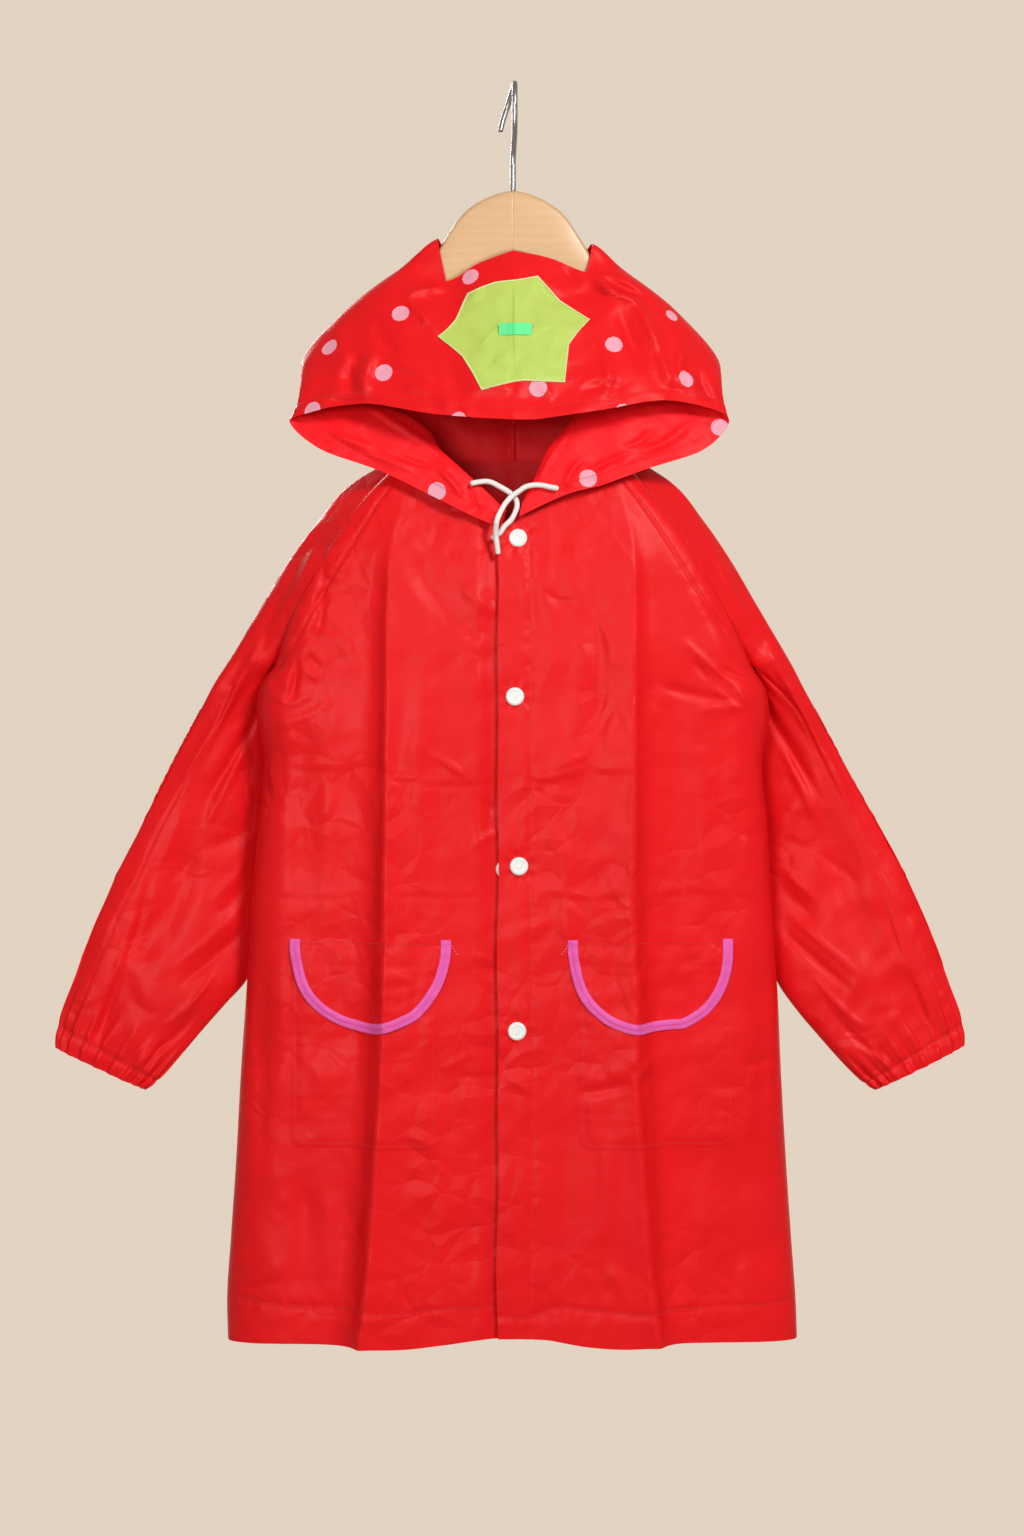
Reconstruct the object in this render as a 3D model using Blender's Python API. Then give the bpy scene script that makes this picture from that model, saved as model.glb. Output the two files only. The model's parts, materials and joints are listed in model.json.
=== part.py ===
"""A child's hooded raincoat hung on a wooden hanger: every cut piece of cloth as its own solid.

Lengths in the tables are millimetres. x is to the viewer's right, y is away from the viewer, z is up, and
the origin is the inside top of the hanger's hook. Left and right in the tables are the viewer's; node names
use the wearer's left and right.
"""

import bpy
import numpy as np
from mathutils import Vector
from mathutils.bvhtree import BVHTree

MM = 0.001
WALL = 1.2
TRIM_WALL = 1.0
SEAM = 1.0
LAYER = 0.7
POCKET_LAYER = 0.2
UNDERLAP_DEPTH = 4.4
ARMPIT_ROWS = 6
SKIRT_STEPS = (0, 0.03, 0.06, 0.13, 0.21, 0.29, 0.38, 0.47, 0.56, 0.65, 0.74, 0.83, 0.92, 1)
SLEEVE_COLUMNS = 20
GATHER_SPLIT = 4
GATHERS = 20
GATHER_HEIGHT = 1.7
SNAP_RADIUS = 7.5
STUD_RADIUS = 5.0
CORD_THICKNESS = 4.4
NECK_DEPTH = -44.0


def table(names, rows):
    """Returns a dict with one array for each named column."""
    return dict(zip(names.split(), np.array(rows, float).T))


# The armhole seams, from the neck to the armpit: the front seam, the back seam and the sleeve's top fold.
ARMHOLE = {
    -1: table(
        "fx fy fz bx by bz sx sy sz",
        [
            (-98.7, -12, -318.7, -96.5, 18, -309.8, -105.1, 3, -313.0),
            (-118.2, -21, -339.4, -118.6, 23, -326.1, -131.9, 4, -328.8),
            (-142.6, -27, -372.1, -144.0, 26, -359.5, -162.8, 5, -362.1),
            (-164.7, -29, -409.4, -166.7, 26, -399.1, -186.2, 5, -393.8),
            (-184.2, -22, -445.3, -185.6, 19, -439.9, -209.7, 6, -432.2),
            (-198.9, -3, -484.3, -198.9, 3, -483.9, -232.2, 6, -470.6),
        ],
    ),
    1: table(
        "fx fy fz bx by bz sx sy sz",
        [
            (95.4, -12, -315.4, 94.0, 18, -309.0, 104.3, 3, -311.4),
            (113.2, -21, -339.4, 116.9, 23, -326.1, 131.0, 4, -328.8),
            (137.7, -27, -373.0, 140.6, 26, -359.5, 159.5, 5, -362.1),
            (159.0, -29, -409.4, 162.5, 26, -399.1, 181.2, 5, -393.8),
            (180.9, -22, -447.7, 183.0, 19, -439.9, 203.8, 6, -432.2),
            (199.8, -3, -485.9, 199.8, 3, -485.5, 226.4, 6, -470.6),
        ],
    ),
}

# The side seams, from the armpit to the hem: how far out they run, and the width of the rounding beside them.
SIDE = {
    -1: table(
        "z x reach",
        [
            (-484.2, -199.2, 26),
            (-498.3, -210.0, 26),
            (-511.7, -213.3, 28),
            (-559.2, -207.5, 30),
            (-618.3, -212.5, 32),
            (-661.7, -216.7, 34),
            (-717.5, -220.0, 36),
            (-746.7, -221.7, 38),
            (-820.0, -226.7, 40),
            (-895.0, -230.8, 42),
            (-957.5, -235.0, 44),
            (-1011.7, -238.3, 46),
            (-1043.3, -237.5, 46),
        ],
    ),
    1: table(
        "z x reach",
        [
            (-485.8, 200.0, 26),
            (-500.8, 210.0, 26),
            (-516.7, 213.3, 28),
            (-565.8, 207.5, 30),
            (-615.0, 211.7, 32),
            (-674.2, 215.0, 34),
            (-724.2, 218.3, 36),
            (-746.7, 220.0, 38),
            (-820.0, 223.3, 40),
            (-895.0, 227.5, 42),
            (-957.5, 231.7, 44),
            (-1015.8, 235.8, 46),
            (-1041.7, 236.7, 46),
        ],
    ),
}

# The two long folds of the front: where each runs, the depth between them, how far each stands out of
# that and how far the cloth drops outside it.
FOLDS = table(
    "z left right depth lift drop",
    [
        (-320.5, -78.2, 81.5, -30, 0, 0),
        (-348.2, -91.2, 89.5, -36, 0, 1),
        (-373.3, -98.3, 96.7, -41, 1, 3),
        (-431.1, -102.9, 101.3, -47, 3, 6),
        (-512.9, -103.5, 100.2, -50, 5, 10),
        (-594.4, -104.3, 99.4, -50, 6, 13),
        (-675.9, -105.1, 98.6, -50, 6, 14),
        (-757.3, -106.7, 101.8, -50, 7, 15),
        (-838.7, -109.9, 102.6, -50, 7, 15),
        (-920.0, -114.8, 108.3, -50, 8, 16),
        (-1001.2, -121.2, 114.7, -50, 9, 16),
        (-1043.5, -126.9, 121.2, -49, 10, 16),
    ],
)

# The necklines of the two fronts and of the back, from the armhole seam to the middle.
NECK_LEFT = table(
    "x z",
    [(-98.7, -318.7), (-78.3, -330.0), (-60.0, -338.9), (-41.9, -349.2), (-22.9, -359.4), (-8.2, -366.8), (13.9, -376.6)],
)
NECK_RIGHT = table(
    "x z",
    [(95.4, -315.4), (75.0, -327.5), (51.8, -340.7), (28.7, -350.2), (8.2, -358.5), (-12.2, -374.5)],
)
NECK_BACK = table(
    "x y z",
    [(-96.5, 18, -309.8), (-74.1, 27, -309.0), (-53.2, 31, -308.5), (0, 35, -308.2), (53.2, 31, -308.5), (74.1, 27, -309.0), (94.0, 18, -309.0)],
)

# The hem, across the coat.
HEM = table(
    "x z",
    [
        (-237.5, -1043.3),
        (-187.9, -1042.1),
        (-126.9, -1042.7),
        (-88.1, -1043.2),
        (-55.6, -1039.7),
        (-22.9, -1035.2),
        (-6.5, -1034.8),
        (26.1, -1035.5),
        (58.8, -1040.8),
        (91.4, -1043.0),
        (121.2, -1041.1),
        (174.3, -1041.0),
        (236.7, -1041.7),
    ],
)

# Each sleeve below the armpit, a row for each section: the end nearer the body, the outer end, the depth of
# both, how far the two walls part at the inner end, half the thickness, and where the seam sits on the ring.
SLEEVE = {
    -1: table(
        "ix iz ox oz iy oy part half seam",
        [
            (-200.4, -484.4, -232.2, -470.6, 0, 6, 0.9, 14, 0.00),
            (-212.4, -497.0, -240.5, -483.0, 4, 6, 0, 14, 0.60),
            (-216.0, -511.0, -249.5, -497.5, 10, 7, 0, 14, 1.15),
            (-213.0, -530.0, -257.8, -513.0, 19, 7, 0, 13, 1.55),
            (-205.5, -554.0, -267.5, -531.0, 28, 8, 0, 13, 1.85),
            (-202.5, -593.6, -281.7, -557.5, 32, 8, 0, 13, 2.05),
            (-202.5, -637.5, -297.6, -589.2, 31, 8, 0, 13, 2.19),
            (-206.5, -679.6, -313.5, -621.8, 29, 8, 0, 14, 2.27),
            (-211.3, -717.4, -328.5, -650.3, 26, 8, 0, 15, 2.27),
            (-223.4, -745.6, -340.3, -677.0, 20, 8, 0, 15, 2.30),
            (-240.6, -765.3, -350.3, -699.6, 15, 8, 0, 15, 2.30),
            (-259.6, -786.9, -359.5, -723.8, 12, 8, 0, 15, 2.30),
            (-277.8, -808.5, -368.7, -748.9, 10, 8, 0, 14, 2.30),
            (-292.7, -825.1, -377.9, -774.0, 9, 8, 0, 12, 2.30),
            (-305.1, -836.7, -384.6, -801.6, 8, 8, 0, 10, 2.30),
        ],
    ),
    1: table(
        "ix iz ox oz iy oy part half seam",
        [
            (201.3, -485.9, 226.4, -470.6, 0, 6, 0.9, 14, 0.00),
            (212.6, -499.0, 234.0, -484.0, 4, 6, 0, 14, 0.60),
            (216.0, -514.0, 242.0, -499.5, 10, 7, 0, 14, 1.15),
            (213.0, -533.0, 250.5, -515.0, 19, 7, 0, 13, 1.55),
            (205.5, -557.0, 260.0, -532.5, 28, 8, 0, 13, 1.85),
            (202.5, -595.3, 274.2, -558.3, 32, 8, 0, 13, 2.05),
            (202.5, -637.5, 290.9, -589.2, 31, 8, 0, 13, 2.19),
            (206.5, -679.6, 308.5, -620.2, 29, 8, 0, 14, 2.27),
            (211.3, -717.4, 323.5, -647.8, 26, 8, 0, 15, 2.27),
            (221.8, -747.3, 336.1, -674.5, 20, 8, 0, 15, 2.30),
            (238.1, -771.2, 346.9, -698.8, 15, 8, 0, 15, 2.30),
            (256.2, -792.7, 356.1, -723.0, 12, 8, 0, 15, 2.30),
            (275.3, -814.3, 365.3, -749.7, 10, 8, 0, 14, 2.30),
            (290.2, -828.4, 373.7, -773.2, 9, 8, 0, 12, 2.30),
            (301.0, -836.7, 379.5, -799.9, 8, 8, 0, 10, 2.30),
        ],
    ),
}

# The hood, a row for each section from the neck's front round to the middle of the back. The points of a
# section run from the neck seam up the back, over the crown and down to the face edge. In the first five
# sections the edge is rolled outwards, so the fourth point is the roll.
HOOD_LEFT = [
    ((-8.2, -42.5, -366.4), (-7.4, -43, -364.4), (-6.5, -44, -361.2), (-5.7, -45.5, -358.1), (-8.2, -47.5, -359.9), (-12.3, -48.5, -364.0), (-16.3, -48.5, -369.3)),
    ((-28.7, -40, -355.5), (-25.4, -41, -351.1), (-22.9, -42, -346.3), (-21.3, -44, -342.4), (-27.0, -46.5, -343.4), (-35.1, -48, -349.3), (-41.7, -48, -357.9)),
    ((-51.8, -35, -342.8), (-46.8, -36.5, -336.8), (-42.7, -38, -329.5), (-41.0, -41, -324.1), (-49.9, -44, -325.2), (-62.2, -45.5, -333.5), (-72.8, -45, -342.1)),
    ((-76.7, -27, -330.5), (-70.0, -28, -322.8), (-63.4, -30, -313.1), (-60.0, -34, -306.1), (-73.0, -39, -306.6), (-92.6, -41, -312.6), (-110.7, -40, -323.6)),
    ((-99.6, -9, -316.6), (-89.6, -10, -310.2), (-77.1, -13, -298.9), (-71.2, -18, -290.3), (-93.1, -27, -288.1), (-125.8, -33, -296.1), (-156.9, -35, -306.6)),
    ((-96.5, 18, -308.4), (-107.4, 16, -303.0), (-124.0, 10, -293.5), (-140.0, 0, -286.0), (-153.5, -10, -281.5), (-167.7, -21, -280.5), (-182.8, -30, -285.1)),
    ((-74.1, 27, -307.8), (-78.3, 26, -279.5), (-163.4, 14, -236.5), (-175.1, 1, -231.5), (-175.8, -12, -238.3), (-174.7, -28, -256.9), (-171.5, -38, -277.8)),
    ((-53.2, 31, -307.5), (-59.9, 31, -266.3), (-133.2, 14, -191.2), (-140.1, 1, -187.3), (-141.8, -13, -195.3), (-137.9, -38, -233.5), (-124.7, -55, -270.9)),
    ((-29.6, 33, -307.3), (-36.3, 33, -253.4), (-90.5, 14, -159.4), (-96.7, 1, -154.0), (-97.0, -15, -162.0), (-90.9, -42, -213.6), (-71.3, -70, -280.4)),
    ((-11.0, 34.5, -307.2), (-21.1, 34, -236.4), (-60.0, 9.5, -130.0), (-62.5, -7, -129.0), (-55.6, -13.5, -164.4), (-46.6, -48, -218.5), (-33.1, -77, -284.8)),
    ((-5.1, 35, -307.2), (-8.5, 35, -233.7), (-29.3, 12, -127.1), (-29.2, 1, -133.2), (-29.0, -13, -149.8), (-23.7, -51, -217.3), (-16.1, -79, -285.9)),
    ((-0.3, 35, -307.2), (-0.3, 35, -233.7), (-0.3, 12, -127.1), (-0.3, 1, -130.7), (-0.3, -13, -138.7), (-0.3, -52, -215.8), (-0.3, -80, -286.8)),
]
HOOD_RIGHT = [
    ((8.2, -41, -357.6), (8.2, -42, -356.1), (8.2, -43, -352.9), (8.2, -45, -349.8), (7.4, -47.5, -352.5), (6.1, -48.5, -356.7), (4.9, -48.5, -362.4)),
    ((28.7, -40, -349.0), (26.2, -41, -343.7), (22.9, -42, -334.8), (19.6, -44, -327.6), (26.2, -46.5, -327.9), (35.1, -48, -335.4), (43.3, -48, -344.4)),
    ((51.8, -35, -339.6), (43.5, -36.5, -331.8), (35.3, -38, -318.0), (29.5, -41, -306.9), (40.1, -44, -309.6), (57.3, -45.5, -320.4), (74.5, -45, -335.9)),
    ((76.7, -27, -325.8), (66.7, -28, -319.5), (55.2, -30, -304.9), (45.2, -34, -292.1), (63.2, -39, -294.3), (86.1, -41, -306.9), (110.7, -40, -322.3)),
    ((98.8, -9, -311.8), (88.8, -10, -307.7), (75.4, -13, -294.8), (68.7, -18, -284.6), (93.1, -27, -284.8), (124.2, -33, -293.7), (155.3, -35, -307.0)),
    ((95.5, 18, -307.4), (107.4, 16, -303.0), (124.0, 10, -293.5), (140.0, 0, -286.0), (153.5, -10, -281.5), (165.7, -21, -280.5), (177.0, -30, -285.1)),
    ((74.1, 27, -307.8), (78.3, 26, -279.5), (160.1, 14, -238.2), (171.7, 1, -233.2), (172.5, -12, -239.1), (170.6, -28, -256.9), (166.6, -38, -274.5)),
    ((53.2, 31, -307.5), (59.9, 31, -266.3), (129.1, 14, -191.2), (135.9, 1, -187.3), (137.6, -13, -195.3), (135.4, -38, -233.5), (123.1, -55, -268.4)),
    ((29.6, 33, -307.3), (36.3, 33, -253.4), (86.3, 14, -159.4), (93.4, 1, -154.0), (93.7, -15, -162.0), (89.3, -42, -213.6), (70.5, -70, -278.3)),
    ((11.0, 34.5, -307.2), (21.1, 34, -236.4), (62.5, 9.5, -134.0), (66.0, -7, -133.0), (60.5, -13.5, -157.0), (48.2, -48, -218.5), (33.9, -77, -284.4)),
    ((5.1, 35, -307.2), (8.5, 35, -233.7), (31.0, 12, -127.9), (30.8, 1, -133.2), (30.7, -13, -145.3), (24.5, -51, -217.3), (17.8, -79, -286.7)),
    ((0.3, 35, -307.2), (0.3, 35, -233.7), (0.3, 12, -127.1), (0.3, 1, -130.7), (0.3, -13, -138.7), (0.3, -52, -215.8), (0.3, -80, -286.8)),
]
HOOD_STEPS = (3, 4, 2, 2, 3, 3)
SLOT_FROM_SECTION = 9
SLOT_POINTS = (2, 4)

# Pocket bags (their sides, top and bottom), and the rims of the half-round flaps hung over them.
POCKETS = {
    -1: {"x": (-183.0, -61.2), "z": (-709.5, -880.3)},
    1: {"x": (53.9, 182.2), "z": (-709.5, -880.3)},
}
FLAP_RIM = {
    -1: table(
        "x z",
        [(-179.8, -708.5), (-179.0, -725.3), (-173.3, -742.4), (-163.5, -757.9), (-150.4, -769.4), (-131.6, -777.6), (-109.5, -780.0), (-88.3, -775.1), (-71.9, -764.5), (-60.5, -749.8), (-54.8, -733.4), (-53.1, -708.5)],
    ),
    1: table(
        "x z",
        [(47.4, -708.5), (49.9, -725.3), (54.8, -740.8), (64.6, -755.5), (77.6, -768.6), (92.4, -778.2), (105.8, -781.5), (121.0, -779.8), (139.8, -775.1), (156.1, -766.1), (169.2, -752.2), (177.4, -735.1), (178.2, -708.5)],
    ),
}
BINDING_WIDTH = 8.4
STAR_RIM = table(
    "x z",
    [(-37.7, -176.5), (-26.0, -171.5), (-14.8, -167.5), (-7.0, -166.6), (0.2, -166.0), (10.0, -164.4), (20.5, -162.2), (29.0, -172.0), (38.5, -182.8), (50.0, -191.0), (63.1, -199.5), (53.5, -210.5), (45.7, -221.6), (43.8, -238.0), (42.0, -254.8), (25.0, -254.5), (8.2, -253.9), (0.2, -255.0), (-12.0, -258.5), (-25.4, -262.2), (-33.0, -247.0), (-41.4, -232.5), (-51.0, -223.5), (-61.5, -214.9), (-53.5, -207.5), (-47.0, -199.3), (-42.5, -188.0)],
)
TAB = {"x": (-11.4, 15.5), "z": (-204.6, -214.4)}

SNAPS = table("x z", [(4.1, -379.5), (1.6, -509.6), (4.9, -648.3), (3.3, -782.9)])
STUD = (-6.5, -650.8)

# The two ends of the drawcord, from the hood's casing to the free end: place and how far in front of the
# cloth the middle of the cord lies.
CORDS = {
    -1: table(
        "x z off",
        [(-33.5, -335.5, 2.7), (-27.8, -334.2, 2.8), (-19.6, -333.9, 3.0), (-10.6, -338.0, 3.2), (-1.6, -343.7, 3.2), (2.5, -348.6, 3.2), (3.3, -353.5, 3.2), (1.6, -359.3, 3.2), (-1.6, -365.0, 3.2), (-7.3, -370.7, 3.2), (-10.6, -375.6, 3.2), (-16.3, -379.7, 3.2)],
    ),
    1: table(
        "x z off",
        [(35.9, -339.7, 2.5), (31.0, -338.8, 2.5), (22.9, -337.2, 2.7), (16.3, -337.2, 4.0), (9.8, -338.8, 6.0), (4.9, -342.1, 8.4), (-0.8, -346.2, 8.6), (-6.5, -352.7, 6.5), (-10.6, -360.1, 6.5), (-13.1, -366.6, 8.4), (-13.9, -373.1, 8.4), (-13.9, -378.9, 8.0), (-13.1, -385.4, 5.0), (-12.2, -391.9, 3.4)],
    ),
}

# The wooden hanger, half of it: its upper edge, its lower edge and half its thickness.
HANGER = table(
    "x top bottom half",
    [
        (0, -87.3, -141.0, 8.0),
        (9, -88.6, -143.4, 8.0),
        (18.3, -91.8, -147.0, 8.0),
        (30.8, -98.0, -153.0, 8.0),
        (39.8, -104.8, -158.0, 8.0),
        (47.3, -113.4, -162.5, 8.0),
        (54, -123.8, -166.5, 8.0),
        (61, -135.0, -171.0, 8.0),
        (66, -143.5, -174.5, 8.0),
        (76, -151.5, -181.0, 8.0),
        (92, -158.8, -190.5, 8.0),
        (108, -168.8, -200.0, 7.5),
        (122, -178.8, -206.5, 7.0),
        (134, -189.5, -211.0, 6.0),
        (141, -197.0, -211.5, 4.0),
        (144, -201.0, -208.5, 1.6),
    ],
)
WIRE_RADIUS = 2.3
HOOK_BEND = 19.0
HOOK_LEAN = (1.5, 12.0)
HOOK_TAIL = -33.0

COLOURS = {
    "red_cloth": (0.72, 0.02, 0.025),
    "pink_binding": (0.75, 0.09, 0.45),
    "lime_patch": (0.55, 0.68, 0.16),
    "mint_tab": (0.12, 0.86, 0.3),
    "white_cord": (0.86, 0.86, 0.83),
    "white_plastic": (0.86, 0.86, 0.84),
    "beech": (0.8, 0.52, 0.28),
    "steel": (0.6, 0.6, 0.62),
}


def clear_scene():
    for obj in list(bpy.data.objects):
        bpy.data.objects.remove(obj, do_unlink=True)


def smooth(at, keys, values):
    """A smooth curve through the points (keys, values): a cubic with the slope of its neighbours at each."""
    keys = np.asarray(keys, float)
    values = np.asarray(values, float)
    order = np.argsort(keys)
    keys = keys[order]
    values = values[order]
    slope = np.gradient(values, keys)
    at = np.clip(at, keys[0], keys[-1])
    k = np.clip(np.searchsorted(keys, at) - 1, 0, len(keys) - 2)
    step = keys[k + 1] - keys[k]
    t = (at - keys[k]) / step
    a = (1 + 2 * t) * (1 - t) ** 2 * values[k]
    b = t * (1 - t) ** 2 * step * slope[k]
    c = t * t * (3 - 2 * t) * values[k + 1]
    d = t * t * (t - 1) * step * slope[k + 1]
    return a + b + c + d


def ease(value, start, end):
    """0 before start, 1 after end and smooth between."""
    t = np.clip((value - start) / (end - start), 0.0, 1.0)
    return t * t * (3 - 2 * t)


def spline(points, steps):
    """Points along a smooth curve through these ones, with as many steps in each stretch as steps says."""
    points = np.asarray(points, float)
    gaps = np.linalg.norm(np.diff(points, axis=0), axis=1) ** 0.5
    knots = np.concatenate([[0.0], np.cumsum(np.maximum(gaps, 1e-6))])
    at = [knots[0]]
    for k, count in enumerate(steps):
        at.extend(knots[k] + (knots[k + 1] - knots[k]) * np.arange(1, count + 1) / count)
    at = np.array(at)
    return np.stack([smooth(at, knots, points[:, axis]) for axis in range(points.shape[1])], axis=1)


def triangles_of(grid, keep=None, flip=False):
    """Triangles of a grid of points, each cell cut along its shorter diagonal."""
    rows, columns = grid.shape[:2]
    index = np.arange(rows * columns).reshape(rows, columns)
    found = []
    for i in range(rows - 1):
        for j in range(columns - 1):
            if keep is not None and not keep[i, j]:
                continue
            a, b = index[i, j], index[i, j + 1]
            c, d = index[i + 1, j + 1], index[i + 1, j]
            long_way = np.linalg.norm(grid[i, j] - grid[i + 1, j + 1])
            other_way = np.linalg.norm(grid[i, j + 1] - grid[i + 1, j])
            pair = [(a, b, c), (a, c, d)] if long_way <= other_way else [(a, b, d), (b, c, d)]
            found.extend(pair)
    found = np.array(found)
    return found[:, ::-1] if flip else found


def point_normals(points, faces):
    corner = points[faces]
    cross = np.cross(corner[:, 1] - corner[:, 0], corner[:, 2] - corner[:, 0])
    normals = np.zeros_like(points)
    for k in range(3):
        np.add.at(normals, faces[:, k], cross)
    return normals / np.maximum(np.linalg.norm(normals, axis=1, keepdims=True), 1e-12)


def thickened(points, faces, wall):
    """A closed wall whose outer face is this surface, with its inner face moved in by the wall."""
    used, index = np.unique(faces, return_inverse=True)
    points = points[used]
    faces = index.reshape(faces.shape)
    normals = point_normals(points, faces)
    count = len(points)
    edges = np.concatenate([faces[:, [0, 1]], faces[:, [1, 2]], faces[:, [2, 0]]])
    known = {(int(a), int(b)) for a, b in edges}
    rim = [(a, b) for a, b in known if (b, a) not in known]
    rim.sort()
    walls = []
    for a, b in rim:
        walls.append((b, a, a + count))
        walls.append((b, a + count, b + count))
    inner = faces[:, ::-1] + count
    return np.concatenate([points, points - normals * wall]), np.concatenate([faces, inner, np.array(walls)])


def material(name):
    found = bpy.data.materials.get(name)
    if found is None:
        found = bpy.data.materials.new(name)
        found.use_nodes = True
        shader = found.node_tree.nodes["Principled BSDF"]
        shader.inputs["Base Color"].default_value = (*COLOURS[name], 1.0)
        shader.inputs["Roughness"].default_value = 0.5
        found.diffuse_color = (*COLOURS[name], 1.0)
    return found


def own_material(name, colour):
    """A material of this node's own, in one of the named colours."""
    found = material(colour).copy()
    found.name = f"{name}_{colour}"
    return found


def add_mesh(name, points, faces, colour):
    mesh = bpy.data.meshes.new(name)
    mesh.from_pydata((np.asarray(points) * MM).tolist(), [], np.asarray(faces).tolist())
    mesh.validate()
    mesh.materials.append(own_material(name, colour))
    mesh.polygons.foreach_set("use_smooth", [True] * len(mesh.polygons))
    mesh.update()
    obj = bpy.data.objects.new(name, mesh)
    bpy.context.collection.objects.link(obj)
    return obj


def add_cloth(name, points, faces, colour="red_cloth", wall=WALL):
    return add_mesh(name, *thickened(points, faces, wall), colour)


class Surface:
    """Solids already made, asked how near to the viewer they come at a place."""

    def __init__(self, objects):
        points = []
        faces = []
        for obj in objects:
            start = len(points)
            points.extend(vertex.co / MM for vertex in obj.data.vertices)
            faces.extend([start + k for k in face.vertices] for face in obj.data.polygons)
        self.tree = BVHTree.FromPolygons(points, faces)

    def front(self, x, z, around=0.0):
        """The smallest y of the solids at (x, z), or within a distance of it."""
        best = None
        places = [(0.0, 0.0)]
        if around:
            places += [(around * np.cos(k * np.pi / 4), around * np.sin(k * np.pi / 4)) for k in range(8)]
        for dx, dz in places:
            hit = self.tree.ray_cast(Vector((x + dx, -400.0, z + dz)), Vector((0.0, 1.0, 0.0)))[0]
            if hit is not None and (best is None or hit.y < best):
                best = hit.y
        return best


def side_of(x):
    return SIDE[1] if x > 0 else SIDE[-1]


def armhole_point(side, q, which):
    """A point of an armhole seam, from the neck (q = 0) to the armpit (1). Which is f, b or s."""
    hole = ARMHOLE[side]
    z = smooth(q, np.linspace(0, 1, len(hole["fx"])), hole[which + "z"])
    x = smooth(z, hole[which + "z"], hole[which + "x"])
    y = smooth(z, hole[which + "z"], hole[which + "y"])
    return np.array([x, y, z])


def edge_at(side, z):
    """The outer edge of a front at this height: how far out, its depth, and the width of the rounding."""
    hole = ARMHOLE[side]
    rows = SIDE[side]
    if z > hole["fz"][-1]:
        x = smooth(z, hole["fz"], hole["fx"])
        y = smooth(z, hole["fz"], hole["fy"])
        return x, y, 26.0
    fade = ease(hole["fz"][-1] - z, 0.0, 14.0)
    return smooth(z, rows["z"], rows["x"]), hole["fy"][-1] * (1 - fade), smooth(z, rows["z"], rows["reach"])


def front_depth(x, z):
    """How near the front of the coat comes at (x, z)."""
    left = smooth(z, FOLDS["z"], FOLDS["left"])
    right = smooth(z, FOLDS["z"], FOLDS["right"])
    depth = smooth(z, FOLDS["z"], FOLDS["depth"])
    lift = smooth(z, FOLDS["z"], FOLDS["lift"])
    drop = smooth(z, FOLDS["z"], FOLDS["drop"])
    outside = max(left - x, x - right, 0.0)
    inside = max(min(x - left, right - x), 0.0)
    y = depth - lift * np.exp(-inside / 22.0) + (drop + lift) * (1 - np.exp(-outside / 16.0)) + 0.05 * outside
    side = 1 if x > 0 else -1
    edge, edge_y, reach = edge_at(side, z)
    away = np.clip((abs(edge) - abs(x)) / reach, 0.0, 1.0)
    return edge_y + (y - edge_y) * np.sqrt(1 - (1 - away) ** 2)


def back_depth(x, z):
    """How far back the back of the coat comes at (x, z)."""
    depth = smooth(z, [-1045, -900, -740, -600, -420, -330, -308], [27, 28, 28, 30, 34, 36, 35])
    y = depth + 3.0 * np.cos((x + 20.0) / 34.0) * ease(-z, 420.0, 620.0)
    side = 1 if x > 0 else -1
    hole = ARMHOLE[side]
    if z > hole["bz"][-1]:
        edge = smooth(z, hole["bz"], hole["bx"])
        edge_y = smooth(z, hole["bz"], hole["by"])
        reach = 30.0
    else:
        edge, _, reach = edge_at(side, z)
        edge_y = SEAM + (hole["by"][-1] - SEAM) * (1 - ease(hole["bz"][-1] - z, 0.0, 14.0))
    away = np.clip((abs(edge) - abs(x)) / reach, 0.0, 1.0)
    return edge_y + (y - edge_y) * np.sqrt(1 - (1 - away) ** 2)


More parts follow.
